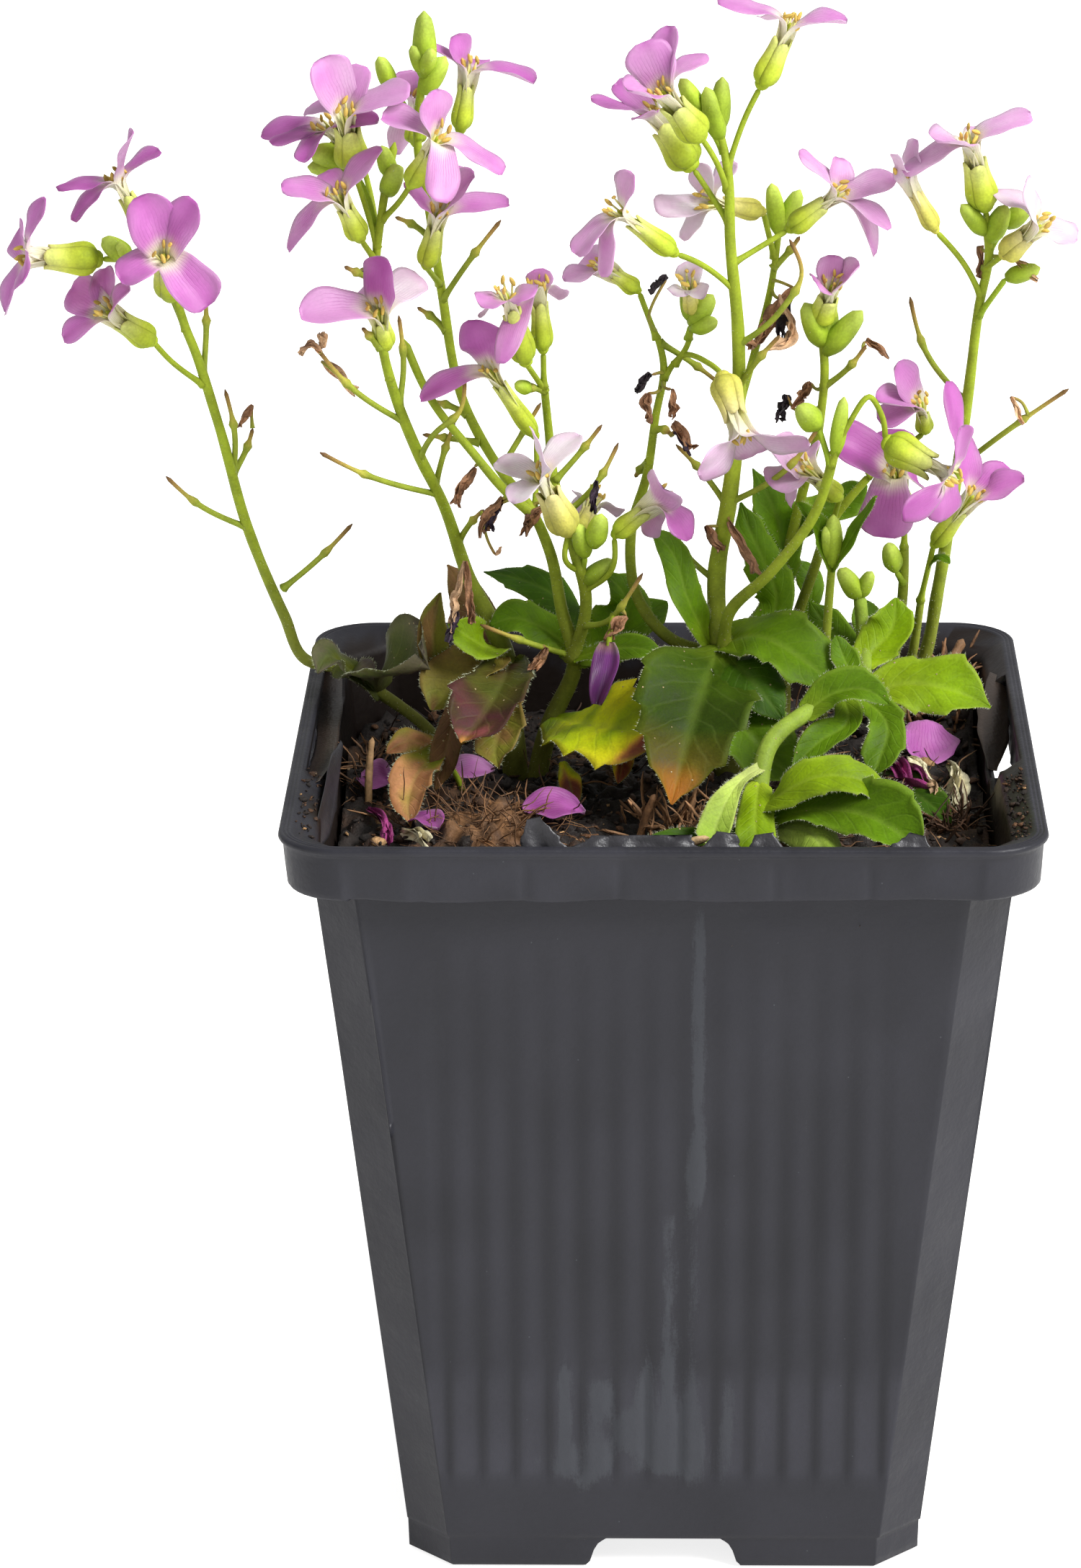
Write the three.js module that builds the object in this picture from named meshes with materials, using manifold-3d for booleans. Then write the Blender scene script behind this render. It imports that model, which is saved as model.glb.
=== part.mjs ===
// A rock cress in flower, in the square nursery pot that it grew in.
// Millimetres, +Z up. The origin is the centre of the pot's underside, +X is the pot's right
// side and +Y its back. Places are given as [x, y, z].
import * as THREE from "three";
import Module from "manifold-3d";

const wasm = await Module();
wasm.setup();

// Pot
const POT_WIDTH = 90;
const POT_HEIGHT = 98;
const FOOT_WIDTH = 63.8;
const FOOT_HEIGHT = 4.2;
const FOOT_WALL = 1.6;
const FOOT_BEVEL = 0.3;
const WALL = 1;
const WALL_TAPER = 0.107;
const FLOOR_UNDERSIDE = 3.8;
const FLOOR_TOP = 5.2;
const CORNER_CUT = 5.4;
const RIM_CORNER_RADIUS = 7.5;
const SKIRT_DROP = 7;
const SKIRT_WALL = 0.9;
const SKIRT_INSET = 0.5;
const SKIRT_DRAFT = 0.3;
const LIP_BEAD = 1;
const LIP_WIDTH = 1.5;
const LIP_BEVEL = 0.3;
const SHOULDER_DROP = 2;
const SHOULDER_SHEET = 1.1;
const SHOULDER_LEAST = 0.3;
const CENTRE_PAD_RADIUS = 6;
const NOTCH_WIDTH = 19;
const NOTCH_TAPER = 1.2;
const PAST = 1;
const TEAR_SHY = 0.15;
const DRAIN_RADIUS = 3.5;
const DRAIN_OFFSET = 15;

// Grooves on the pot's four sides
const GROOVES = 14;
const GROOVE_PITCH = 4.05;
const GROOVE_DEPTH = 0.5;
const GROOVE_WIDTH = 1.8;
const GROOVE_FOOT = 12;
const GROOVE_BEVEL = 1.4;
const GROOVE_TOP = 86;
const GROOVE_PROUD = 0.05;

// Peat
const PEAT_FOOT = 5.6;
const PEAT_LEVEL = 88.6;
const PEAT_POINTS = 16;
const PEAT_RINGS = [1, 0.8, 0.6, 0.4, 0.2];

// Plant
const CLEAR = 0.3;
const BLADE = 0.6;
const STALK_RADIUS = 0.36;
const ROOT_DEPTH = 80;
const BROAD_LEAF = 5;
const CREASED_LEAF = 7;
const LEAF_STEPS = 3;
const BROAD_LEAF_STEPS = 5;
const TOOTH = 0.16;
const WAVE = 0.05;
const LEAST_WIDTH = 0.8;
const SCRAP_WIDTH = 2.4;
const BUD_TIP = 0.5;
const CALYX_SHARE = 0.7;
const CALYX_BELLY = 0.28;
const CALYX_NECK = 0.85;
const CALYX_DEPTH = 0.6;
const CORE_RADIUS = 0.6;
const MOUTH_RADIUS = 1;
const MOUTH_PROUD = 0.4;
const ROOT_ASIDE = 0.5;
const PETAL_RISE = 0.25;
const PETAL_CLAW = 0.8;
const PETAL_BROAD = 0.7;
const PETAL_END = 0.6;
const LIGHT = new THREE.Vector3(0, -0.6, 0.8);

// Colours, as [colour, roughness, metalness]
const FINISH = {
  pot: [0x46464a, 0.5, 0],
  peat: [0x2c1b10, 0.95, 0],
  green: [0x7d9a2c, 0.7, 0],
  petal: [0xb668b4, 0.6, 0],
  yellow: [0xb9c02a, 0.7, 0],
  maroon: [0x5b4a2c, 0.7, 0],
  grey: [0x6a6a52, 0.8, 0],
  orange: [0xa8803c, 0.8, 0],
  withered: [0x5a3424, 0.85, 0],
};

const point = ([x, y, z]) => new THREE.Vector3(x, y, z);

const between = (a, b, share) => new THREE.Vector3().lerpVectors(a, b, share);

const along = (from, direction, length) => from.clone().addScaledVector(direction, length);

// Turns a list of positions and triangles into a closed solid whose faces point out.
function solid(position, index) {
  const corners = index.map((i) => point(position.slice(3 * i, 3 * i + 3)));
  let volume = 0;
  for (let i = 0; i < corners.length; i += 3) {
    volume += corners[i].dot(new THREE.Vector3().crossVectors(corners[i + 1], corners[i + 2]));
  }
  const triangles = volume < 0 ? [...index].reverse() : index;
  const geometry = new THREE.BufferGeometry();
  geometry.setAttribute("position", new THREE.Float32BufferAttribute(position, 3));
  geometry.setIndex(triangles);
  const mesh = new wasm.Mesh({
    numProp: 3,
    vertProperties: geometry.attributes.position.array,
    triVerts: Uint32Array.from(geometry.index.array),
  });
  return new wasm.Manifold(mesh);
}

// Joins a row of rings, each a list of points, into one closed skin. A ring of one point is a
// tip. Where flat is given, each quad's diagonal is mirrored on the ring's second half.
function skin(rings, flat = false) {
  const position = rings.flat().flatMap((p) => [p.x, p.y, p.z]);
  const index = [];
  let start = 0;
  for (let k = 0; k + 1 < rings.length; k++) {
    const here = rings[k].length;
    const next = rings[k + 1].length;
    const count = Math.max(here, next);
    for (let i = 0; i < count; i++) {
      const p = start + (i % here);
      const q = start + ((i + 1) % here);
      const r = start + here + (i % next);
      const s = start + here + ((i + 1) % next);
      if (here === 1) {
        index.push(p, s, r);
      } else if (next === 1) {
        index.push(p, q, r);
      } else if (flat && i >= count / 2) {
        index.push(p, q, r, q, s, r);
      } else {
        index.push(p, q, s, p, s, r);
      }
    }
    start += here;
  }
  const close = (from, ring, reverse) => {
    if (ring.length < 3) return;
    const creased = flat && ring.length === 6;
    const fan = creased
      ? [0, 1, 4, 0, 4, 5, 1, 2, 3, 1, 3, 4]
      : ring.slice(2).flatMap((_, i) => [0, i + 1, i + 2]);
    index.push(...(reverse ? fan.reverse() : fan).map((i) => from + i));
  };
  close(0, rings[0], true);
  close(start, rings[rings.length - 1], false);
  return solid(position, index);
}

// The direction of a path at one of its points.
function heading(path, i) {
  const before = path[Math.max(i - 1, 0)];
  const after = path[Math.min(i + 1, path.length - 1)];
  return after.clone().sub(before).normalize();
}

// Rings of corners round a path, one at each of its points. The first corner is carried along
// the path, so that the rings don't twist. They swell all round, and at both ends.
function ringsAlong(path, radii, sides, swell) {
  const side = new THREE.Vector3(0.31, 0.87, 0.38);
  return path.map((centre, i) => {
    const ahead = heading(path, i);
    side.addScaledVector(ahead, -side.dot(ahead)).normalize();
    const across = new THREE.Vector3().crossVectors(ahead, side);
    const end = i === 0 ? -swell : i === path.length - 1 ? swell : 0;
    const middle = along(centre, ahead, end);
    return Array.from({ length: sides }, (_, k) => {
      const angle = (2 * Math.PI * k) / sides;
      const radius = radii[i] + swell;
      return along(along(middle, side, radius * Math.cos(angle)), across, radius * Math.sin(angle));
    });
  });
}

const bar = (path, radii, sides, swell) => skin(ringsAlong(path, radii, sides, swell));

// A thin blade on a midrib: its widths at the midrib's points and its upper side turned to
// face. Where cup or wave is given it is creased along the midrib, and its edges are lifted by
// cup and waved from point to point.
function blade(path, widths, face, cup, wave, swell) {
  const creased = cup !== 0 || wave !== 0;
  const rings = path.map((centre, i) => {
    const ahead = heading(path, i);
    const side = new THREE.Vector3().crossVectors(face, ahead).normalize();
    const up = new THREE.Vector3().crossVectors(ahead, side);
    const end = i === 0 ? -swell : i === path.length - 1 ? swell : 0;
    const middle = along(centre, ahead, end);
    const reach = widths[i] / 2 + swell;
    const ripple = (i % 2 ? 1 : -1) * wave * widths[i];
    const left = along(along(middle, side, -reach), up, cup * widths[i] + ripple);
    const right = along(along(middle, side, reach), up, cup * widths[i] - ripple);
    const half = BLADE / 2 + swell;
    const across = creased ? [left, middle, right] : [left, right];
    const upper = across.map((p) => along(p, up, half));
    const lower = across.map((p) => along(p, up, -half)).reverse();
    return [...upper, ...lower];
  });
  return skin(rings, true);
}

// The value at a share of the way through a list.
function reading(list, share) {
  const place = share * (list.length - 1);
  const i = Math.min(Math.floor(place), list.length - 2);
  return THREE.MathUtils.lerp(list[i], list[i + 1], place - i);
}

// What follows makes the plant's organs. Each gives a function of the swell, so that the same
// organ can be made at its real size, or fatter by the clearance that a neighbour keeps.

// A stem whose radius follows a list of values, spread evenly over its points.
function stem(values, ...points) {
  const path = points.map(point);
  const radii = path.map((_, i) => reading(values, i / (path.length - 1)));
  return (swell) => bar(path, radii, 4, swell);
}

// The thin stalk of a flower or a seed pod.
function stalk(...points) {
  const path = points.map(point);
  const radii = path.map(() => STALK_RADIUS);
  return (swell) => bar(path, radii, 3, swell);
}

// A closed bud on its stalk. The last two points are the bud's foot and its tip.
function bud(radius, ...points) {
  const path = points.map(point);
  const tip = path.pop();
  const foot = path[path.length - 1];
  const radii = path.map(() => STALK_RADIUS);
  path.push(between(foot, tip, 0.5), tip);
  radii.push(radius, BUD_TIP * radius);
  return (swell) => bar(path, radii, 4, swell);
}

// A leaf: a blade on a smooth midrib. A broad one is toothed past its first third, and the
// broadest are creased and waved too.
function leaf(widths, ...points) {
  const midrib = new THREE.CatmullRomCurve3(points.map(point), false, "centripetal");
  const broadest = Math.max(...widths);
  const broad = broadest > BROAD_LEAF;
  const steps = broad ? BROAD_LEAF_STEPS : LEAF_STEPS;
  const shares = Array.from({ length: steps + 1 }, (_, i) => i / steps);
  const path = shares.map((share) => midrib.getPoint(share));
  const breadth = shares.map((share, i) => {
    const toothed = broad && share > 1 / 3 && share < 1;
    const bite = toothed ? TOOTH * (i % 2 ? 1 : -1) : 0;
    return Math.max(reading(widths, share) * (1 + bite), LEAST_WIDTH);
  });
  const wave = broadest > CREASED_LEAF ? WAVE : 0;
  return (swell) => blade(path, breadth, LIGHT, 2 * wave, wave, swell);
}

// A petal that has dropped, with its widths at its points.
function fallen(widths, ...points) {
  return (swell) => blade(points.map(point), widths, LIGHT, 0, 0, swell);
}

// A withered flower that clings to a stalk: a scrap, broadest in its middle.
function scrap(...points) {
  const path = points.map(point);
  const widths = path.map((_, i) => (i === 1 ? SCRAP_WIDTH : SCRAP_WIDTH / 2));
  return (swell) => blade(path, widths, LIGHT, 0, 0, swell);
}

// A flower's stalk, which widens into the calyx, a cup of four sepals round the flower's mouth.
function calyx(radius, stalkPoints, throat) {
  const path = stalkPoints.map(point);
  const foot = path[path.length - 1];
  const mouth = point(throat);
  const radii = path.map(() => STALK_RADIUS);
  path.push(between(foot, mouth, CALYX_BELLY), between(foot, mouth, CALYX_SHARE));
  radii.push(radius, CALYX_NECK * radius);
  return (swell) => {
    const rings = ringsAlong(path, radii, 4, swell);
    const axis = mouth.clone().sub(foot).normalize();
    return skin([...rings, [along(path[path.length - 1], axis, swell - CALYX_DEPTH)]]);
  };
}

// A flower's corolla: petals that spread from the mouth of a short tube.
function corolla(stalkPoints, throat, petals) {
  const low = point(stalkPoints[stalkPoints.length - 1]);
  const mouth = point(throat);
  const axis = mouth.clone().sub(low);
  const length = axis.length();
  axis.normalize();
  const core = [along(low, axis, CALYX_SHARE * length), along(mouth, axis, MOUTH_PROUD)];
  const face = along(axis, LIGHT, 0.5);
  return (swell) => {
    const pieces = [bar(core, [CORE_RADIUS, MOUTH_RADIUS], 3, swell)];
    for (const [x, y, z, width] of petals) {
      const tip = new THREE.Vector3(x, y, z);
      const bend = along(mouth, axis, PETAL_RISE * tip.distanceTo(mouth));
      const aside = tip.clone().sub(mouth);
      aside.addScaledVector(axis, -aside.dot(axis)).normalize();
      const root = along(mouth, aside, ROOT_ASIDE);
      const curve = new THREE.QuadraticBezierCurve3(root, along(bend, aside, ROOT_ASIDE), tip);
      const path = [0, PETAL_BROAD, 1].map((share) => curve.getPoint(share));
      pieces.push(blade(path, [PETAL_CLAW, width, PETAL_END * width], face, 0, 0, swell));
    }
    return join(pieces);
  };
}

const join = (solids) => solids.reduce((whole, next) => whole.add(next));

const cut = (solid, tools) => tools.reduce((left, tool) => left.subtract(tool), solid);

// The largest of the bodies that a cut leaves.
function largest(solid) {
  return solid.decompose().reduce((best, next) => (next.volume() > best.volume() ? next : best));
}

// Half of the pot wall's width outside, at a height.
const wallHalf = (z) => FOOT_WIDTH / 2 + (z - FOOT_HEIGHT) * WALL_TAPER;

// A ring of points round a square, with its corners cut flat or rounded.
function squareRing(half, z, corner, rounded = false) {
  const ring = [];
  for (let side = 0; side < 4; side++) {
    const turn = (side * Math.PI) / 2;
    for (let step = 0; step < 5; step++) {
      const share = step / 4;
      const x = rounded ? Math.cos((share * Math.PI) / 2) : 1 - share;
      const y = rounded ? Math.sin((share * Math.PI) / 2) : share;
      const place = new THREE.Vector3(half + corner * (x - 1), half + corner * (y - 1), z);
      ring.push(place.applyAxisAngle(new THREE.Vector3(0, 0, 1), turn));
    }
  }
  return ring;
}

// The pot's walls as one skin: from under the floor down to the foot, up the outside, out
// along the shoulder, round the skirt that hangs from the narrow lip, back down the shoulder's
// slope, down the inside and across the floor.
function potShell() {
  const rim = POT_HEIGHT - LIP_BEAD;
  const lip = POT_WIDTH / 2;
  const skirtFoot = POT_HEIGHT - SKIRT_DROP;
  const shoulder = POT_HEIGHT - SHOULDER_DROP;
  const under = rim - SHOULDER_LEAST;
  const skirtTop = lip - SKIRT_INSET;
  const skirtLow = skirtTop - SKIRT_DRAFT;
  const skirtCorner = RIM_CORNER_RADIUS - SKIRT_WALL;
  const cutIn = CORNER_CUT - (2 - Math.SQRT2) * WALL;
  const footIn = wallHalf(0) - FOOT_WALL;
  return skin([
    squareRing(footIn - FOOT_BEVEL, FLOOR_UNDERSIDE, cutIn),
    squareRing(footIn, 0, cutIn),
    squareRing(wallHalf(0), 0, CORNER_CUT),
    squareRing(wallHalf(FOOT_HEIGHT) - FOOT_BEVEL, FOOT_HEIGHT - FOOT_BEVEL, CORNER_CUT),
    squareRing(wallHalf(FOOT_HEIGHT), FOOT_HEIGHT, CORNER_CUT),
    squareRing(wallHalf(shoulder), shoulder - SHOULDER_SHEET, CORNER_CUT),
    squareRing(skirtTop - SKIRT_WALL, under, skirtCorner, true),
    squareRing(skirtLow - SKIRT_WALL, skirtFoot, skirtCorner, true),
    squareRing(skirtLow, skirtFoot, RIM_CORNER_RADIUS, true),
    squareRing(skirtTop, rim, RIM_CORNER_RADIUS, true),
    squareRing(lip, rim + LIP_BEVEL, RIM_CORNER_RADIUS, true),
    squareRing(lip - LIP_BEVEL, POT_HEIGHT, RIM_CORNER_RADIUS, true),
    squareRing(lip - LIP_WIDTH, POT_HEIGHT, RIM_CORNER_RADIUS - LIP_WIDTH, true),
    squareRing(wallHalf(shoulder) - WALL, shoulder, cutIn),
    squareRing(wallHalf(FLOOR_TOP) - WALL, FLOOR_TOP, cutIn),
  ]);
}

// The tool that cuts one groove: deepest near its foot, and fading to nothing at its top.
function groove(offset, turn) {
  const axis = new THREE.Vector3(0, 0, 1);
  const deep = GROOVE_FOOT + GROOVE_BEVEL;
  const section = [
    [wallHalf(deep) + GROOVE_PROUD, offset - GROOVE_WIDTH / 2, deep],
    [wallHalf(deep) + GROOVE_PROUD, offset + GROOVE_WIDTH / 2, deep],
    [wallHalf(deep) - GROOVE_DEPTH, offset, deep],
  ];
  const stations = [
    [[wallHalf(GROOVE_FOOT) + GROOVE_PROUD, offset, GROOVE_FOOT]],
    section,
    [[wallHalf(GROOVE_TOP) + GROOVE_PROUD, offset, GROOVE_TOP]],
  ];
  return skin(
    stations.map((ring) => ring.map((corner) => point(corner).applyAxisAngle(axis, turn))),
  );
}

function allGrooves() {
  const grooves = [];
  for (let side = 0; side < 4; side++) {
    for (let i = 0; i < GROOVES; i++) {
      grooves.push(groove((i - (GROOVES - 1) / 2) * GROOVE_PITCH, (side * Math.PI) / 2));
    }
  }
  return grooves;
}

// A notch in the foot at the middle of one side, narrower at its top.
function notch(turn) {
  const axis = new THREE.Vector3(0, 0, 1);
  const inside = wallHalf(0) - FOOT_WALL - PAST;
  const outside = wallHalf(0) + PAST;
  const ring = (x) => {
    const half = NOTCH_WIDTH / 2;
    const outline = [
      [x, -half, -PAST],
      [x, half, -PAST],
      [x, half - NOTCH_TAPER, FLOOR_UNDERSIDE - 1],
      [x, half - 2 * NOTCH_TAPER, FLOOR_UNDERSIDE],
      [x, -half + 2 * NOTCH_TAPER, FLOOR_UNDERSIDE],
      [x, -half + NOTCH_TAPER, FLOOR_UNDERSIDE - 1],
    ];
    return outline.map((corner) => point(corner).applyAxisAngle(axis, turn));
  };
  return skin([ring(inside), ring(outside)]);
}

function drain(x, y) {
  const path = [point([x, y, FLOOR_UNDERSIDE - PAST]), point([x, y, FLOOR_TOP + PAST])];
  return bar(path, [DRAIN_RADIUS, DRAIN_RADIUS], 8, 0);
}

// The tool that tears open the shoulder and the top of the wall on one side, as far out as the
// skirt: its lower edge is ragged, and is given as places along the side and heights.
function tear(edge, side) {
  const [first, last] = [edge[0][0], edge[edge.length - 1][0]];
  const outline = [[first, POT_HEIGHT + PAST], ...edge, [last, POT_HEIGHT + PAST]];
  const inside = wallHalf(PEAT_LEVEL) - WALL - PAST;
  const outside = POT_WIDTH / 2 - SKIRT_INSET - SKIRT_DRAFT - SKIRT_WALL - TEAR_SHY;
  const ring = (x) => outline.map(([y, z]) => new THREE.Vector3(side * x, y, z));
  return skin([ring(inside), ring(outside)]);
}

const tears = () => [
  tear([[-11, 96.6], [-8, 94], [-3, 90.4], [1, 91.4], [4, 89.8], [9, 89.6], [12, 91],
    [13, 93.2], [17, 92.6], [20, 95.4], [23, 96.8]], 1),
  tear([[-15, 96.8], [-12, 95.2], [-8, 95.6], [-3, 94], [4, 94.6], [11, 93.8], [18, 94.6],
    [25, 94.2], [29, 96.6]], -1),
];

// Scraps of torn film that stand up from the inner edge of the lip, and the torn strip of the
// left wall that leans in over the peat.
function film() {
  const edge = POT_WIDTH / 2 - LIP_WIDTH;
  const front = new THREE.Vector3(0, 1, 0.2);
  const scraps = [
    [[[-14, 0.2 - edge, 97], [-14.4, 0.9 - edge, 99.2], [-15, 1.5 - edge, 101]], [6, 4.4, 1.6], front],
    [[[-3, 0.2 - edge, 97], [-3, 0.8 - edge, 98.9]], [15, 13], front],
    [[[7, 0.2 - edge, 97], [7, 0.9 - edge, 99.2]], [5, 2.2], front],
    [[[12, 0.2 - edge, 97], [12, 0.9 - edge, 99.1]], [4.4, 2], front],
    [[[29, 0.2 - edge, 97], [29.4, 0.8 - edge, 99]], [6, 1.6], front],
  ];
  const strip = [[[-41, -33, 94.6], [-40.1, -24, 95], [-39.8, -12, 95.6], [-39.6, -1, 96.4]],
    [1.6, 4, 4.4, 1]];
  scraps.push([...strip, new THREE.Vector3(1, 0, 0.2)]);
  return scraps.map(([path, widths, face]) => blade(path.map(point), widths, face, 0, 0, 0));
}

function pot() {
  const padPath = [point([0, 0, 0]), point([0, 0, (FLOOR_UNDERSIDE + FLOOR_TOP) / 2])];
  const pad = bar(padPath, [CENTRE_PAD_RADIUS, CENTRE_PAD_RADIUS], 8, 0);
  const whole = join([cut(potShell(), tears()), pad, ...film()]);
  const tools = allGrooves();
  for (const side of [0, 1, 2, 3]) {
    tools.push(notch((side * Math.PI) / 2));
  }
  for (const x of [-DRAIN_OFFSET, DRAIN_OFFSET]) {
    tools.push(drain(x, -DRAIN_OFFSET), drain(x, DRAIN_OFFSET));
  }
  return largest(cut(whole, [join(tools)]));
}

// The height of the peat: a mound at the plant's crown, a lump at the front, a bank at the
// back right corner, a dip at the back left one, and crumbs all over.
function peatHeight(x, y) {
  const hump = (cx, cy, reach) => Math.exp(-((x - cx) ** 2 + (y - cy) ** 2) / reach ** 2);
  const crumbs = Math.sin(0.83 * x + 1.7 * y) + Math.sin(1.9 * x - 0.7 * y + 2);
  const lumps = 2 * hump(7, 6, 14) + 3.4 * hump(-22, -14, 7) + 5 * hump(38, 36, 10);
  return PEAT_LEVEL + lumps - 2.4 * hump(-30, 30, 16) + 0.5 * crumbs;
}

// A ring of evenly turned points on the edge of a square whose corners are cut.
function peatRing(half, scale, height) {
  return Array.from({ length: PEAT_POINTS }, (_, i) => {
    const angle = (2 * Math.PI * (i + 0.5)) / PEAT_POINTS;
    const across = Math.abs(Math.cos(angle));
    const up = Math.abs(Math.sin(angle));
    const reach = Math.min(half / Math.max(across, up), (2 * half - CORNER_CUT) / (across + up));
    const x = scale * reach * Math.cos(angle);
    const y = scale * reach * Math.sin(angle);
    return new THREE.Vector3(x, y, height(x, y));
  });
}

function peat() {
  const inside = (z) => wallHalf(z) - WALL - CLEAR - 0.1;
  const edge = PEAT_LEVEL - 1.5;
  const rings = [peatRing(inside(PEAT_FOOT), 1, () => PEAT_FOOT)];
  rings.push(peatRing(inside(edge), 1, () => edge));
  for (const scale of PEAT_RINGS) {
    rings.push(peatRing(inside(edge) - 0.2, scale, peatHeight));
  }
  rings.push([new THREE.Vector3(0, 0, peatHeight(0, 0))]);
  return join([skin(rings), ...straws().map((straw) => straw(0))]);
}

// Bits of straw and bark that stick out of the peat.
function straws() {
  return [
    stem([0.8, 0.6], [-36, -4, 87], [-36, -1, 93], [-36, 1, 98.5]),
    stem([0.8, 0.5], [-2, -33, 88], [9, -35, 91.6]),
    stem([0.6, 0.5], [-3, -14, 87], [-1, -16, 95]),
    stem([0.9, 0.6], [33, 30, 90], [38.4, 36, 98.6]),
  ];
}

// The plant's shoots, each with its stems and stalks, and with what they bear.

const farLeft = {
  stems: [
    stem([0.8, 0.75, 0.7, 0.6, 0.5], [-24, 14, ROOT_DEPTH], [-29, 16, 92], [-36, 19.5, 96.6],
      [-40.5, 20, 99.4],
      [-45, 19.5, 100.8], [-47.5, 18, 107], [-51.5, 13, 120], [-54.5, 8, 135], [-57.5, 5, 146.5],
      [-62, 2, 156.5], [-65, 1, 157]),
    stalk([-47.5, 17, 111], [-42, 14, 116.5], [-38.5, 13, 120.5]),
    stalk([-51.5, 13, 120], [-57.5, 10, 124], [-61, 8, 128]),
    stalk([-53, 11, 127.5], [-52.5, 9, 133], [-53.5, 8, 139]),
    stalk([-56, 6.5, 141], [-55.5, 7, 147], [-55.5, 7, 152]),
  ],
  bears: [
    bud(1.2, [-64, 1, 157], [-67, -1, 160]),
    leaf([2, 4, 4, 2], [-38, 19.5, 97.5], [-39.5, 17, 99.6], [-38, 14, 101], [-36, 11, 101]),
    leaf([2, 4, 6, 5.6], [-36, 19.5, 96.6], [-35, 12, 101.5], [-32, 9, 103], [-29, 5, 104.5]),
  ],
};

const left = {
  stems: [
    stem([1.7, 1.5, 0.8, 0.7, 0.6, 0.55, 0.5], [-18, 13, ROOT_DEPTH], [-19, 12, 94],
      [-20, 11.5, 104.5], [-24, 12, 113.5],
      [-27, 9, 124], [-30, 5, 132], [-32.5, 2, 140], [-34, -1, 148.5], [-34.5, 0, 154],
      [-33.5, 0, 163.5], [-32, 2, 171]),
    stalk([-27.5, 8.5, 125.5], [-36.5, 2, 130], [-41.5, -1, 133.5]),
    stalk([-31.3, 3.5, 136], [-38, -1, 142], [-41.5, -3, 147]),
    stalk([-29.6, 5.5, 131], [-27.5, 1, 135.5], [-24.5, 0, 138.5], [-24, 1, 143]),
    stalk([-32, 2.6, 138.5], [-31.5, 4, 142], [-32, 5, 149]),
    stalk([-34.5, 0, 154.5], [-38, -3, 157]),
    stalk([-25.4, 11.5, 118.5], [-23.5, 9, 122], [-22, 7, 124]),
  ],
  bears: [
    bud(1.3, [-33, 1, 165], [-31.5, -2, 169]),
    bud(1.5, [-34.2, 0, 160.5], [-36, 2.6, 165.5], [-38, 3, 168.5], [-42, 1.6, 170]),
    leaf([2.4, 3.6, 3.8, 2], [-20, 10, 97], [-27.5, 8, 102], [-28.5, 9, 108], [-27.5, 10, 112.5]),
    leaf([3, 7, 8, 3], [-20, 10.5, 104], [-23, 7, 104], [-26.5, 5, 101.5], [-28.5, 4, 99]),
    leaf([3, 5, 4, 1.4], [-20.4, 11, 105], [-22.5, 6, 107], [-25, 5, 109], [-26.5, 5, 110]),
    leaf([3, 5, 4, 1.2], [-20.4, 12.5, 105], [-23.5, 16, 108], [-25.5, 17, 111.5], [-27, 17, 114]),
  ],
};

const middle = {
  stems: [
    stem([1.3, 1.2, 0.8, 0.65, 0.6, 0.55, 0.5], [-16, 10, ROOT_DEPTH], [-15.5, 10, 90],
      [-14, 9, 96], [-11, 8, 104],
      [-12.5, 7, 111], [-14, 5, 119.5], [-16, 4.4, 124.5], [-20, 9, 128.5], [-24, 9, 136],
      [-27, 9, 151.5], [-28.5, 8, 163], [-29.5, 8, 168.5], [-28.5, 6, 179]),
    stem([0.6, 0.5], [-15.6, 4.4, 124], [-18, 4, 126], [-23.5, 4, 132.5], [-28, 4, 138.5],
      [-31.5, 7, 145.5]),
    stem([0.8, 0.5], [-11.4, 7.8, 104.5], [-9.5, 5, 113], [-11, 3, 120.5], [-13.5, 8, 128],
      [-14, 8, 133.5], [-14.5, 5, 140.5]),
    stalk([-11.5, 8, 105], [-17, 4, 108], [-22.5, 3, 110.5]),
    stalk([-26.8, 9, 150], [-22.5, 5, 157], [-19.5, 4, 161]),
    stalk([-22.5, 9, 132], [-29.5, 9, 133]),
    stalk([-20, 9, 128.5], [-17.5, 10, 132.5], [-15, 11, 136.5]),
    stalk([-13.3, 7.6, 127.5], [-11, 8, 130], [-7.5, 8, 134.5]),
    stalk([-12, 5, 124], [-8.5, 5, 127.5], [-5.5, 7, 132.5]),
    stalk([-9.8, 6, 109.5], [-6.5, 2, 111.5], [-4, 0, 115.5], [-2.5, 0, 118]),
  ],
  bears: [
    bud(1.3, [-28.5, 6, 178], [-28.5, 6, 186]),
    bud(1.2, [-28.8, 6.6, 176], [-26, 6, 180.5]),
    bud(1, [-29.3, 7.8, 170], [-31, 8, 174], [-32.5, 7, 176.5], [-34, 6, 180.5]),
    bud(1.1, [-10, 4.2, 116.5], [-9.5, 2, 119.5], [-10.5, 1, 124]),
    bud(1.1, [-9.8, 4.4, 115.5], [-6, 2, 119]),
    leaf([3, 5, 5, 2], [-11.5, 8, 105.5], [-14.5, 9, 108], [-18.5, 9, 109.5], [-21.5, 9, 108.5]),
    leaf([3, 5, 4.5, 1.5], [-11.4, 8, 104.5], [-13.5, 15, 110.5], [-18.5, 18, 112], [-22.5, 19, 112.5]),
    leaf([3, 8, 6, 2], [-11, 8, 104.5], [-6, 10, 107], [-4.5, 11, 111], [-7.5, 12, 114.5]),
    leaf([3, 4, 4, 2.5], [-11, 8, 104], [-4.5, 12, 106.5], [-1.5, 13, 109], [0.5, 14, 110]),
    leaf([2.6, 3.6, 3.2, 1], [-10.6, 7, 105], [-6, 3, 107.5], [-2.5, 1, 108], [0.5, 0, 107]),
  ],
};

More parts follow.
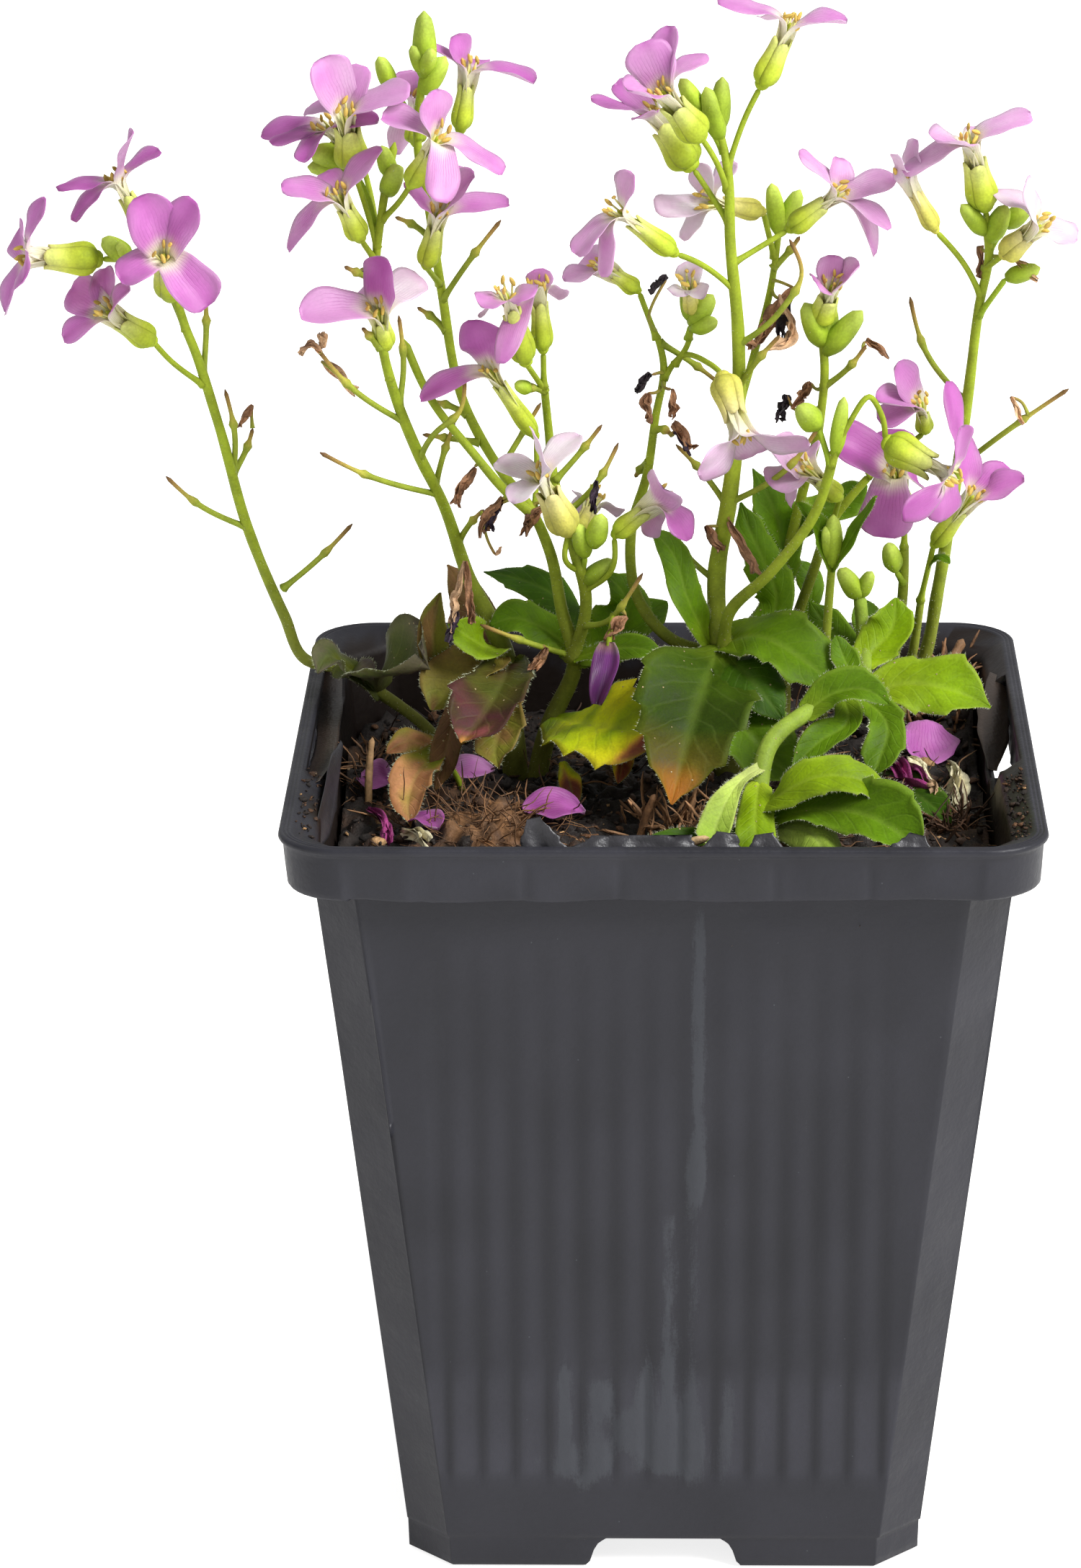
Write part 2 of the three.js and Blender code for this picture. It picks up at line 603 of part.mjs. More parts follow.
const centre = {
  stems: [
    stem([2.2, 3.2], [8, 7, ROOT_DEPTH], [8, 6.6, 96], [7.5, 5.5, 108]),
    stem([0.8, 0.4], [6, 6, 106], [1, 5, 108], [-3, 8, 112], [-4, 9, 120.5], [-2, 9, 128],
      [-1, 9, 135], [0, 9, 142], [-1, 9, 146]),
    stem([1.2, 0.5], [7, 5, 106], [6.5, 5, 116], [8, 3, 126.5], [9, 3, 136.5], [9, 2, 147.5],
      [8, 0, 159], [7.5, 0, 169], [6.5, 1, 173]),
    stem([0.5, 0.4], [9, 3.5, 137.5], [11, 9, 143], [13, 10, 151], [14, 9.5, 159]),
    stem([0.8, 0.6], [7.5, 4, 107], [8, 1, 112.5], [13, -3, 119], [18, -5, 126.5], [20.5, -8, 136]),
    stalk([-0.4, 9, 144.5], [3.5, 11, 141.5], [7, 12, 138.5]),
    stalk([9, 2.2, 146], [14, -1, 151], [16.5, -2, 156], [15, -2, 160]),
    stalk([9, 2.6, 140.5], [12, 0, 145.5], [14, -1, 148]),
    stalk([8, 3, 126], [15.5, -1, 132], [19, -2, 137.5]),
    stalk([7.8, 3.2, 125.5], [5, 5, 129], [1.5, 8, 132]),
  ],
  bears: [
    bud(1.2, [3, 7, 145.5], [3.3, 6.3, 147.5], [6, 5, 151.5]),
    bud(1.1, [6.6, 1, 172.5], [7, 1, 179]),
    bud(1.2, [6.8, 0.8, 171.5], [5, 0, 178]),
    bud(1, [7.2, 0.4, 170], [4.4, 1, 175], [2, 0, 179]),
    bud(1.2, [14, 9.5, 158], [13, 8, 164.5]),
    bud(1.1, [14, 9.5, 158], [16.5, 9, 163.5]),
    bud(1.4, [20, -7.5, 133.5], [18.5, -8, 138.5], [16, -9.5, 141.5]),
    bud(1, [20.5, -7.8, 135], [21.5, -9, 142.5]),
    leaf([3, 14.6, 10.5, 2], [7, 3.5, 107.5], [4.5, -6, 104.5], [2.5, -13, 99.5], [1, -17, 94]),
    leaf([5, 8, 8.5, 1.5], [7.5, 5, 107.5], [12, 0, 110], [17, -3, 108], [21.5, -6, 104.5]),
    leaf([4, 8, 6, 2], [7.5, 3, 106], [10.5, -4, 106], [12.5, -6, 104], [14.5, -7, 101.5]),
    leaf([3, 8, 9, 3], [7.5, 3, 103.5], [9.5, -6, 101], [12.5, -9, 98], [16.5, -11, 95]),
    leaf([3, 4.2, 3.6, 3], [6, 5, 107], [3, 2, 114], [1, 4, 119.5], [-1.5, 5, 122]),
    leaf([3, 4.5, 5, 4, 1.2], [8, 7, 106], [14, 11, 111], [12.5, 11, 116], [10.5, 11, 120.5],
      [9.5, 12, 123.5]),
    leaf([3, 3, 6, 5, 1.4], [8, 7.5, 105], [14, 14, 111.5], [14.5, 14, 119], [13, 14, 123.5],
      [11, 15, 127]),
    scrap([12.6, -0.2, 146], [15.5, 5, 147], [14, 6, 150.5]),
  ],
};

const front = {
  stems: [
    stem([0.6, 0.5], [19.5, -1, ROOT_DEPTH], [19.5, -1, 99.5], [20, 0, 112], [20.5, -2, 120.5]),
  ],
  bears: [
    bud(1.1, [20.5, -2, 119.5], [20.5, -4, 126.5]),
    leaf([1.6, 3, 1.2], [20.5, -2, 119], [19, -3, 124], [16, -4, 128]),
    leaf([1.6, 2, 0.9], [20.5, -2, 119], [23, -5, 124.5], [25.5, -8, 130]),
  ],
};

const back = {
  stems: [
    stem([1.1, 0.8, 0.65, 0.55, 0.5], [15, 16, ROOT_DEPTH], [15, 16, 98], [15, 15.5, 113],
      [17, 11.5, 124.5],
      [19, 7, 135], [19.5, 6, 143], [19, 6, 147]),
    stem([0.7, 0.5], [15, 16, 103], [18.5, 13.5, 114], [20.5, 10.5, 121], [25.5, 9, 128]),
    stalk([19.3, 6.4, 139.5], [22.5, 5, 142.5], [24.5, 4, 145.5]),
  ],
  bears: [
    bud(1.3, [19.5, 6, 144], [24, 5, 149.5]),
    bud(1.3, [19.3, 6, 145], [17, 5, 150.5]),
    leaf([1.6, 5, 5, 1.4], [17, 12, 123.5], [20.5, 13, 122.5], [23, 13, 124], [25, 13, 125.5]),
    leaf([1.6, 3.6, 1.4], [16, 13.5, 118.5], [17.5, 14, 120], [18, 15, 123]),
    leaf([1.6, 2.6, 3.6, 1.2], [15.2, 15.6, 106], [18.5, 17, 110], [18, 18, 112.5], [16, 19, 114]),
  ],
};

const farRight = {
  stems: [
    stem([1.1, 0.85, 0.75, 0.6, 0.5], [27, 16, ROOT_DEPTH], [28, 15, 92], [32.5, 16, 102], [34, 13, 112],
      [35.5, 10.5, 124], [37, 7, 138.5], [38, 4.5, 150], [39, 3, 158], [38.5, 3, 161]),
    stem([0.85, 0.6], [28.6, 15, 94], [28.5, 12, 102.5], [29.5, 10, 112], [29.5, 7, 120]),
    stem([0.7, 0.5], [29.4, 15.2, 95], [30.8, 12.5, 103], [31.8, 9.5, 112]),
    stalk([36.8, 7.4, 137.5], [32, 10, 143], [30, 12, 149.5]),
    stalk([36, 9.4, 128.5], [41.5, 6, 134], [49, 4, 140]),
  ],
  bears: [
    bud(1.1, [29.6, 9, 114], [28.5, 7.8, 116], [27.5, 6, 120]),
    bud(1, [38.6, 3, 159.5], [35.5, 1, 163.5]),
    bud(1.2, [39, 3, 158.5], [41, 3, 163]),
    leaf([0.9, 1.6, 0.9], [28.6, 11.8, 103], [28.5, 9, 107.5], [27.5, 7, 111]),
  ],
};

const right = {
  stems: [
    stem([1.3, 0.8], [11.5, -24, ROOT_DEPTH], [11.5, -23, 92], [11.5, -20.5, 98], [12.5, -18, 101.5],
      [18, -12, 104.5], [23, -8, 106], [24.5, -2, 106], [24.5, 4, 109], [24, 5, 114]),
  ],
  bears: [
    bud(1.2, [24, 5, 113.5], [21.5, 3.5, 117.5]),
    leaf([2.6, 4, 7.6, 7.6, 1.2], [22, -8.8, 105.6], [25.5, -8, 105.5], [29, -8, 106.5],
      [35, -9, 106], [39.5, -10, 104]),
    leaf([3, 5, 5, 2], [24.2, -2, 106], [25.5, 1, 107.5], [28, 3, 110], [28.5, 4.5, 113.5]),
    leaf([3, 4.6, 4.4, 1.6], [17, -13, 104], [21, -13, 107], [24, -13.5, 107.5], [27, -15, 106]),
    leaf([3, 3.6, 4.4, 1.2], [21.5, -9.2, 105.4], [22, -13.5, 103], [19, -15, 101.5], [15.5, -17, 98.5]),
    leaf([3, 4.4, 4.6, 1.6], [22.5, -8.6, 105.6], [27, -14, 102.6], [26, -17, 100], [25, -19, 98]),
    leaf([2.4, 3.4, 1.6], [23.4, -6, 106], [22, -3, 108], [21, -1.6, 110.5]),
    leaf([2.4, 4, 4, 1], [24.4, 1, 107.5], [22, 6, 107.5], [19.5, 8.5, 109.5], [18, 9.5, 111.5]),
    leaf([2.4, 3.6, 4, 1], [24.5, 2, 108], [26, 7.5, 107], [25, 10, 109.5], [24, 11, 112]),
    leaf([3, 4.4, 5, 5, 1.6], [11.5, -22, 95], [14, -26, 98.5], [18.5, -27, 101],
      [23.5, -27, 100.5], [27, -26, 96.5]),
    leaf([3, 6, 8, 6], [11.5, -22.6, 93.5], [19, -27, 97], [25, -30.5, 97], [30, -34, 94.5]),
    leaf([2, 4.4, 5], [11.5, -20.8, 97.6], [11, -25.5, 95.5], [11, -30.5, 92]),
    leaf([2.6, 5, 5], [11.8, -22.8, 92.5], [17.5, -28, 93.6], [19, -33.5, 92.5]),
    leaf([1.4, 1.8, 3.8, 4], [11.8, -20, 99.6], [9, -24, 99], [6.5, -29, 96], [5.5, -33, 93.5]),
    leaf([2, 2.6, 2.4, 0.9], [11.2, -22.8, 92.5], [5.5, -27, 93], [1.5, -29, 94], [-2, -31, 94.6]),
  ],
};

const SHOOTS = {
  shoot_centre: centre,
  shoot_middle: middle,
  shoot_left: left,
  shoot_far_left: farLeft,
  shoot_right: right,
  shoot_back: back,
  shoot_far_right: farRight,
  shoot_front: front,
};

// The flowers: the shoot that each grows on, its calyx's radius, the places that its stalk
// runs through up to the calyx's foot, the mouth of the flower, and for each petal the place
// of its tip and its width.
const FLOWERS = {
  flower_far_left_1: [farLeft, 1.7, [[-57.8, 4.8, 147.2], [-59.5, 5, 151.5]], [-59.5, -3, 158], [
    [-62, -5, 166.5, 5.6], [-55.5, -5, 166, 4.6], [-54, -6, 152.5, 5.6], [-65, -6, 156, 4.2]]],
  flower_far_left_2: [farLeft, 1.3, [[-61.8, 2.1, 156.2], [-62, 4, 159.5]], [-65, 4, 165], [
    [-63, 2, 172.5, 4], [-60, 6, 169, 3.4], [-73, 2, 165.5, 3.8], [-71, 1, 161.5, 3.6]]],
  flower_far_left_3: [farLeft, 1.9, [[-64.5, 1, 157], [-67.5, 1, 157]], [-75, 0, 157.5], [
    [-73.5, 0, 165, 3.6], [-77.5, 7, 159.5, 3.6], [-76, -7, 156, 4.2], [-79.5, 1, 150, 3.6]]],
  flower_far_left_4: [farLeft, 1.5, [[-56, 6.5, 140], [-59.5, 4, 143.5], [-61.5, 2, 146.5]],
      [-66, -1, 150.5], [
    [-72.5, -1, 147.5, 3.4], [-71.5, 4, 152.5, 4.8], [-67, 3, 155.5, 3.4], [-63.5, -5, 155, 3.4]]],
  flower_left_1: [left, 1.9, [[-34.2, 0, 158.5], [-35.5, 0, 163.5], [-37, 1, 168]], [-37.5, -2, 174.5], [
    [-40.5, -3, 182.5, 5.6], [-35.5, 0, 181, 3.4], [-29.5, -5, 179, 4.4], [-42.5, 3, 175, 3.8]]],
  flower_left_2: [left, 1.4, [[-34.2, 0, 159.5], [-35, 4, 163.5], [-36, 5, 167.5]], [-39.5, 3, 172], [
    [-48.5, 5, 171.5, 3.2], [-47, 0, 171, 3], [-42.5, -4, 169.5, 3], [-33.5, -3, 174.5, 3]]],
  flower_left_3: [left, 1.3, [[-33.6, 0, 162], [-31.5, -2, 164.5], [-30, -4, 167]], [-27, -6, 172.5], [
    [-27, -7, 179.5, 4.6], [-33.5, -6, 175.5, 4], [-18.5, -6, 169, 3.6], [-26, -12, 166.5, 3.8]]],
  flower_left_4: [left, 1.3, [[-34.4, 0, 157], [-36, -2, 160]], [-38, -4, 165], [
    [-45.5, -6, 167, 5], [-40.5, -1, 168, 3.4], [-33, -5, 172, 4], [-45, -4, 159, 3.2]]],
  flower_left_5: [left, 1.3, [[-33, 0.8, 142], [-33.5, 1, 146]], [-34, -3, 151], [
    [-33, -7, 159.5, 4.6], [-43.5, -7, 152, 4.8], [-29, 2, 154.5, 4.8], [-38.5, 4, 150.5, 4.4]]],
  flower_middle_1: [middle, 1.3, [[-27.2, 8.8, 152], [-28.5, 3, 155.5]], [-27, 0, 162], [
    [-22.5, -4, 168.5, 5], [-18, 0, 164, 3.2], [-31, -3, 167, 3.2], [-24.5, 4, 168, 3.4]]],
  flower_middle_2: [middle, 1.2, [[-28.6, 8, 163], [-27.5, 9, 166.5], [-24.5, 10, 170.5]],
      [-23.5, 10, 177], [
    [-25.5, 10, 182.5, 4.2], [-30, 8, 182, 3.2], [-15, 8, 177, 3.4], [-23, 17, 178, 3.8]]],
  flower_middle_3: [middle, 1.2, [[-28.8, 8, 164.5], [-30, 12, 168.5]], [-30, 13, 172], [
    [-31.5, 14, 177.5, 4.4], [-27.5, 13, 178, 3.2], [-32.5, 17, 166, 3.4]]],
  flower_middle_4: [middle, 1, [[-15.8, 4.6, 124.2], [-15.5, 6, 129], [-15.5, 6, 133.5]],
      [-20.5, 1, 142.5], [
    [-22.5, -1, 150.5, 5.4], [-29.5, 0, 139.5, 3.4]]],
  flower_middle_5: [middle, 1.5, [[-14.4, 5.4, 139.5], [-16.5, 1, 144]], [-18.5, -2, 152.5], [
    [-22, -5, 152.5, 3.8], [-15, -5, 154.5, 3.6], [-21.5, 2, 149.5, 3]]],
  flower_middle_6: [middle, 1.2, [[-14.5, 5, 140], [-14.5, 3, 145]], [-15, 3, 152], [
    [-15, 4, 155.5, 3], [-19.5, -6, 145.5, 3], [-12.5, 8, 150, 3]]],
  flower_middle_7: [middle, 1.9, [[-10, 4.2, 117], [-12, 1.4, 119.5], [-11.5, 2, 122.5]],
      [-14.5, -2, 130], [
    [-15, -6, 137.5, 5.6], [-10, 1, 135.5, 3.4], [-20.5, 0, 132, 3.4], [-18.5, -6, 128.5, 3]]],
  flower_middle_8: [middle, 1.2, [[-9.6, 4.6, 114.5], [-6, 1, 119], [-6, 1, 122.5]], [-1.5, 0, 126.5], [
    [0, -5, 130, 5.2], [3.5, -2, 122.5, 5.2], [-2.5, 4, 121.5, 3]]],
  flower_middle_9: [middle, 1, [[-10.6, 3.5, 118.5], [-10.5, 9, 120.5]], [-9, 12, 123], [
    [-10.5, 16, 123, 3.6], [-5.5, 15, 121, 3.8], [-11, 17, 119.5, 3.4]]],
  flower_centre_1: [centre, 1.9, [[7.6, 0, 165.5], [5.5, -3, 171], [4.5, -3, 172.5]], [0.5, -6, 178], [
    [-4.5, -10, 179.5, 5], [-2.5, -6, 185, 5.4], [1, -4, 186.5, 3.4], [5, 0, 182, 3.4]]],
  flower_centre_2: [centre, 2.1, [[7.8, 0, 161.5], [4.5, 1, 166.5], [3.5, 1, 168]], [-0.5, 2, 173.5], [
    [-9, 1, 176, 3.6], [-3, -2, 175, 3], [-6, 6, 177.5, 3.4]]],
  flower_centre_3: [centre, 1.5, [[7.6, 0, 168], [10, 0, 175], [11.5, 0, 178]], [14.5, 0, 184.5], [
    [6, -1, 188.5, 3.2], [22, -1, 186, 3.8], [12, 7, 184.5, 3.6]]],
  flower_centre_4: [centre, 1.2, [[13.4, 10, 155], [12, 6, 161.5]], [6.5, 4, 163], [
    [-1.5, 2, 163, 4], [2, 3, 158.5, 3.2], [4, 5, 168, 3.4], [9, 5, 168, 3]]],
  flower_centre_5: [centre, 1.2, [[8.6, 1, 153], [3.5, -2, 157.5], [1.5, -3, 158.5]], [-4.5, -5, 163.5], [
    [-3, -6, 169, 4.4], [-10.5, -7, 159, 4.2], [-7, -8, 156.5, 3]]],
  flower_centre_6: [centre, 1, [[-0.8, 9, 145], [-3, 9, 151]], [-6.5, 9, 153.5], [
    [-12.5, 8, 152.5, 4.4], [-9.5, 13, 154.5, 3.8]]],
  flower_centre_7: [centre, 1.3, [[8.3, 0.4, 156.5], [15, 3, 160]], [20, 2, 164], [
    [16, -1, 170.5, 3.4], [21, 4, 169, 3.6], [28, 3, 166.5, 3.2], [27, -1, 160.5, 3.4],
      [25.5, 3, 156.5, 3]]],
  flower_centre_8: [centre, 1.7, [[0, 9, 140], [2, 8, 143], [5.5, 3, 143.5], [7, 0, 143]],
      [9, -3, 137.5], [
    [4, -7, 132, 4.6], [17.5, -8, 137.5, 4.8], [11.5, 1, 132.5, 4.6]]],
  flower_centre_9: [centre, 1.9, [[20, -7.5, 133.5], [22, -9, 139], [24.5, -9, 142.5],
      [26, -8, 140], [26.5, -7, 136.5]], [33, -9.5, 133.5], [
    [35, -14, 140.5, 3.4], [28, -16, 129.5, 3.4], [34, -6, 144, 3.4], [33, -9, 127, 6]]],
  flower_centre_10: [centre, 0.9, [[1.4, 8.4, 142], [3, 7, 145], [3.5, 6, 149]], [3, 4, 152.5], [
    [3, 3, 156.5, 3], [5, 1, 152, 2.6], [1, 1, 152.5, 2.6]]],
  flower_back_1: [back, 1.6, [[19.2, 6, 146], [19, 6, 148]], [20, 4, 152], [
    [20.5, 4, 157, 3.6], [24, 1, 156, 3.6], [18, 1, 154.5, 3.4]]],
  flower_back_2: [back, 1.2, [[20.8, 10.2, 121.5], [21.5, 5, 126]], [18, 2, 130], [
    [12.5, -1, 134.5, 4.8], [12.5, -1, 129, 5], [17.5, 6, 132.5, 3.6], [15, 4, 125.5, 3.6]]],
  flower_back_3: [back, 1, [[25, 9, 127.6], [32, 10, 133]], [31.5, 8, 136.5], [
    [27.5, 6, 142.5, 4.6], [25.5, 3, 138.5, 3.6], [26, 6, 135, 3.4]]],
  flower_far_right_1: [farRight, 1.3, [[29.5, 7.4, 119], [29.5, 5, 124]], [28, -1, 130.5], [
    [20, -4, 136, 6.2], [26.5, -5, 123.5, 6.4], [28, 0, 136.5, 5], [31, 2, 128.5, 4]]],
  flower_far_right_2: [farRight, 1.2, [[31.7, 9.7, 111.5], [33, 5, 120]], [37, 3, 126], [
    [44, 1, 129.5, 5], [42, 5, 130.5, 3.6], [35.5, 4, 134.5, 4.2]]],
  flower_far_right_3: [farRight, 1.8, [[38.8, 3, 160], [38.5, 3, 162.5]], [36.5, 0, 170.5], [
    [32, -5, 172.5, 5.4], [44, 0, 174.5, 3.4], [39.5, 6, 171.5, 3.6], [28, -2, 168, 3.4]]],
  flower_far_right_4: [farRight, 1, [[38.2, 4, 151.5], [36, 2, 156], [32.5, 0, 160.5]], [29.5, 0, 166], [
    [30, 0, 172, 4.2], [27, -2, 170.5, 3]]],
  flower_far_right_5: [farRight, 1.5, [[38.6, 3.6, 155], [40.5, 0, 157.5]], [44, -2, 161], [
    [43, -5, 168, 5.2], [49.5, -2, 160, 4.4], [39.5, 3, 165, 3.6], [46, 4, 161.5, 3.6]]],
};

// Leaves of other colours, petals that have dropped, and withered flowers that still hang on.
const LOOSE = {
  leaf_yellow: ["yellow", [
    leaf([4, 10, 9, 1.2], [-13.5, 8, 97], [-9, -2, 99.5], [-3.5, -6, 101], [0.5, -8, 101]),
    leaf([3, 3, 1.2], [-8, -1, 99.2], [-5, -6, 96.5], [-5.5, -9, 94])]],
  leaf_maroon: ["maroon", [
    leaf([4, 8.5, 8.5, 4], [-19.2, 11, 103], [-20.5, -1, 103], [-22.5, -6, 101], [-24.5, -9, 99]),
    leaf([3, 6, 4.5, 1.2], [-19.5, 4, 103], [-20, -3, 99], [-20.5, -6, 97], [-20, -8, 95.5])]],
  leaf_grey: ["grey", [
    leaf([2, 3.6, 4, 1.6], [-35.8, 19, 96], [-40, 15, 101.5], [-42, 12, 103.5], [-43, 10, 102])]],
  leaf_orange: ["orange", [
    stalk([-24, 4, ROOT_DEPTH], [-26, 2, 92], [-28, 0.4, 95]),
    leaf([2.6, 6, 5.6, 1.6], [-27.5, 1, 94.6], [-30, -5, 93.5], [-31, -10, 92], [-30.5, -15, 90.5]),
    leaf([2.6, 4, 1.4], [-27.5, 1, 94.6], [-31, 0, 96.5], [-34, -2, 95.5])]],
  leaf_small: ["yellow", [leaf([1, 2.8, 1.6], [-12.5, 4, 92.4], [-11.5, 0, 91], [-11, -5, 90])]],
  fallen_petal_1: ["petal", [fallen([2, 6, 4], [-37.4, 2, 91], [-35.6, 1, 91.4], [-33.4, 1, 91])]],
  fallen_petal_2: ["petal", [fallen([2, 4.5, 3], [-31, -12, 90.6], [-28.6, -14.5, 91.4],
    [-27, -17, 91])]],
  fallen_petal_3: ["petal", [fallen([2, 5, 3], [-27.5, 6, 90.4], [-24, 5, 91.2], [-21, 5.4, 90.8])]],
  fallen_petal_4: ["petal", [fallen([3, 6.5, 3], [-17, -12, 91.6], [-13, -12, 92.2],
    [-9.5, -12.5, 91.4])]],
  fallen_petal_5: ["petal", [fallen([4, 8, 4], [33, 20, 92.6], [33.4, 16, 90.8], [33.8, 12, 89.4])]],
  withered_flower_1: ["withered", [
    scrap([-24.2, 3.4, 118.5], [-25.5, 2, 113], [-26.5, 1, 109]),
    scrap([-24.2, 3.4, 118.5], [-23.6, 3, 114], [-23.2, 2.8, 110.4])]],
  withered_flower_2: ["petal", [
    stalk([-6, 1.6, 112], [-6.4, -0.4, 111], [-6.8, -1.4, 108.5]),
    leaf([1.4, 3.6, 3.4, 1.2], [-6.8, -1, 109.5], [-7, -2, 107], [-7.6, -3.4, 104.5], [-8, -4, 102.5])]],
};

const unite = (organs, swell) => join(organs.map((organ) => organ(swell)));

// The calyces belong to the shoots that bear them.
for (const [shoot, radius, stalkPoints, throat] of Object.values(FLOWERS)) {
  shoot.bears.push(calyx(radius, stalkPoints, throat));
}

// Grows every solid in turn. Each keeps clear of those that were there before it, and the
// stems of all the shoots go before what the shoots bear.
function grow() {
  const grown = { pot: [pot(), "pot"] };
  const shoots = Object.entries(SHOOTS);
  const fatStems = shoots.map(([, shoot]) => unite(shoot.stems, CLEAR));
  const taken = [];
  shoots.forEach(([name, shoot], i) => {
    const stems = cut(unite(shoot.stems, 0), fatStems.slice(0, i));
    const others = fatStems.filter((_, k) => k !== i);
    const bears = cut(unite(shoot.bears, 0), [...others, ...taken]);
    grown[name] = [largest(stems.add(bears)), "green"];
    taken.push(unite(shoot.bears, CLEAR));
  });
  taken.push(...fatStems);
  for (const [name, [, , stalkPoints, throat, petals]] of Object.entries(FLOWERS)) {
    const organ = corolla(stalkPoints, throat, petals);
    grown[name] = [largest(cut(organ(0), taken)), "petal"];
    taken.push(organ(CLEAR));
  }
  for (const [name, [finish, organs]] of Object.entries(LOOSE)) {
    grown[name] = [largest(cut(unite(organs, 0), taken)), finish];
    taken.push(unite(organs, CLEAR));
  }
  grown.peat = [largest(cut(peat(), taken)), "peat"];
  return grown;
}

function toMesh(name, body, finish) {
  const { vertProperties, triVerts } = body.getMesh();
  const geometry = new THREE.BufferGeometry();
  geometry.setAttribute("position", new THREE.Float32BufferAttribute(vertProperties, 3));
  geometry.setIndex([...triVerts]);
  const [color, roughness, metalness] = FINISH[finish];
  const material = new THREE.MeshStandardMaterial({ color, roughness, metalness });
  const mesh = new THREE.Mesh(geometry, material);
  mesh.name = name;
  return mesh;
}

const group = new THREE.Group();
for (const [name, [body, finish]] of Object.entries(grow())) {
  group.add(toMesh(name, body, finish));
}

export default group;
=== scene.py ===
"""A rock cress in flower in a small square nursery pot.

The organ lists are in millimetres in the row's frame: +Z up, +X to the pot's right side and +Y
to its back, from the centre of the pot's underside. The meshes are in metres.
"""

from math import atan, pi

import bpy
import numpy as np
from bpy.props import FloatProperty, FloatVectorProperty, IntProperty, PointerProperty
from mathutils import Matrix


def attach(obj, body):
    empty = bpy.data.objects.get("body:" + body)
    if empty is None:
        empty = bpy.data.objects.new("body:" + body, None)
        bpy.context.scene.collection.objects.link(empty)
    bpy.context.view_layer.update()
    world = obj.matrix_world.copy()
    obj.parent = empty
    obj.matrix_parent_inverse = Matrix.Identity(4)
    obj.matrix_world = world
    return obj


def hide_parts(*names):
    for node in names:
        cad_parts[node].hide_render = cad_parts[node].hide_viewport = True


bl_info = {
    "name": "Potted Rock Cress",
    "version": (1, 0, 0),
    "blender": (4, 5, 0),
    "location": "3D View > Sidebar > Rock Cress",
    "description": "Builds a flowering rock cress in its nursery pot",
    "category": "Add Mesh",
}

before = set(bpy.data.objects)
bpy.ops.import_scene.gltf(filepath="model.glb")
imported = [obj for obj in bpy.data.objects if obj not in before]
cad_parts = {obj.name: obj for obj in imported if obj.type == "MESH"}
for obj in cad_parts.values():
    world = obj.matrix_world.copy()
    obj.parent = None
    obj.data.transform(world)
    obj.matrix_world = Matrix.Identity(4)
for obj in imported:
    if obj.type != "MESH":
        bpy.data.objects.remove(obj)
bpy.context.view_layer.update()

MM = 0.001
LIGHT = np.array([0, -0.6, 0.8])

STEM_STEP = 0.9
STEM_SIDES = 10
STALK_STEP = 0.7
STALK_SIDES = 7
STALK_RADIUS = 0.36
LEAF_ACROSS = 13
PETAL_ACROSS = 11
FAR_OFF = 1e3
CALYX_SHARE = 0.84

CAMERA_PLACE = (1.223, -686.659, 322.738)
CAMERA_AHEAD = (-0.02257332, 0.94721149, -0.31981376)
CAMERA_ROLL = 0.0072
CAMERA_LENS = 135.09

# The pot and its filling, in millimetres and in numbers of rows, lines and sides.
RIM_HALF = 45
POT_HEIGHT = 98
FOOT_HALF = 31.9
FOOT_HEIGHT = 4.2
FOOT_WALL = 1.6
WALL = 1
WALL_TAPER = 0.107
CORNER_CUT = 5.4
RIM_CORNER = 7.5
SKIRT_DROP = 7
SKIRT_WALL = 0.9
FLOOR_HALF = 30.4
FLOOR_CUT = 56
FLOOR_LINES = 66
FLOOR_TOP = 5.2
FLOOR_UNDERSIDE = 3.8
DRAIN_RADIUS = 3.5
DRAIN_OFFSET = 15
GROOVE_PITCH = 4.05
FLAT_HALF = 25.5
FOOT_ROWS = 11
FOOT_NOTCH = [7.1, 8.3, 9.2], [3.75, 2.8, 0]
LIP_WIDTH = 1.5
SHOULDER_SLOPE = 0.72
PEAT_FOOT = 5.6
PEAT_LEVEL = 88.6
PEAT_SIDES = 250
SPILL = [40.9, -38, 0], [43.1, -14, 1]
SPILT_CRUMBS = 170

# Screen colours of the pot and its filling. The crumbs go from dark to light, with a few of bark.
PLASTIC_TINT = (41, 41, 47)
FLOOR_TINT = (42, 41, 46)
PEAT_TINT = (27, 19, 14)
DRY_PEAT_TINT = (74, 50, 31)
CLUMP_TINT = (112, 78, 46)
CRUMB_TINTS = (24, 16, 11), (104, 70, 42), (164, 128, 86)
FIBRE_TINTS = (58, 38, 24), (140, 102, 66)

# The places, as (level, half width, height), that a line up the torn part of the wall passes on
# its outer and its inner skin: up the wall, and out along the shoulder as far as the skirt.
OUTER_SKIN = np.array([(88, 40.87, 88), (94.9, 41.72, 94.9), (98.6, 43.15, 96.27)])
INNER_SKIN = np.array([(88, 39.87, 88), (96, 40.72, 96), (98.6, 43.15, 97.75)])

# The narrow lip: heights, and how far out from the rim's outermost line.
LIP = np.array([(96.95, -0.42), (97.15, -0.12), (97.45, 0), (97.75, -0.06), (97.94, -0.2),
    (98, -0.4), (97.97, -0.54), (97.84, -0.64), (97.97, -0.74), (98, -0.95), (97.82, -1.08),
    (97.97, -1.2), (97.96, -1.4), (97.88, -1.52)])

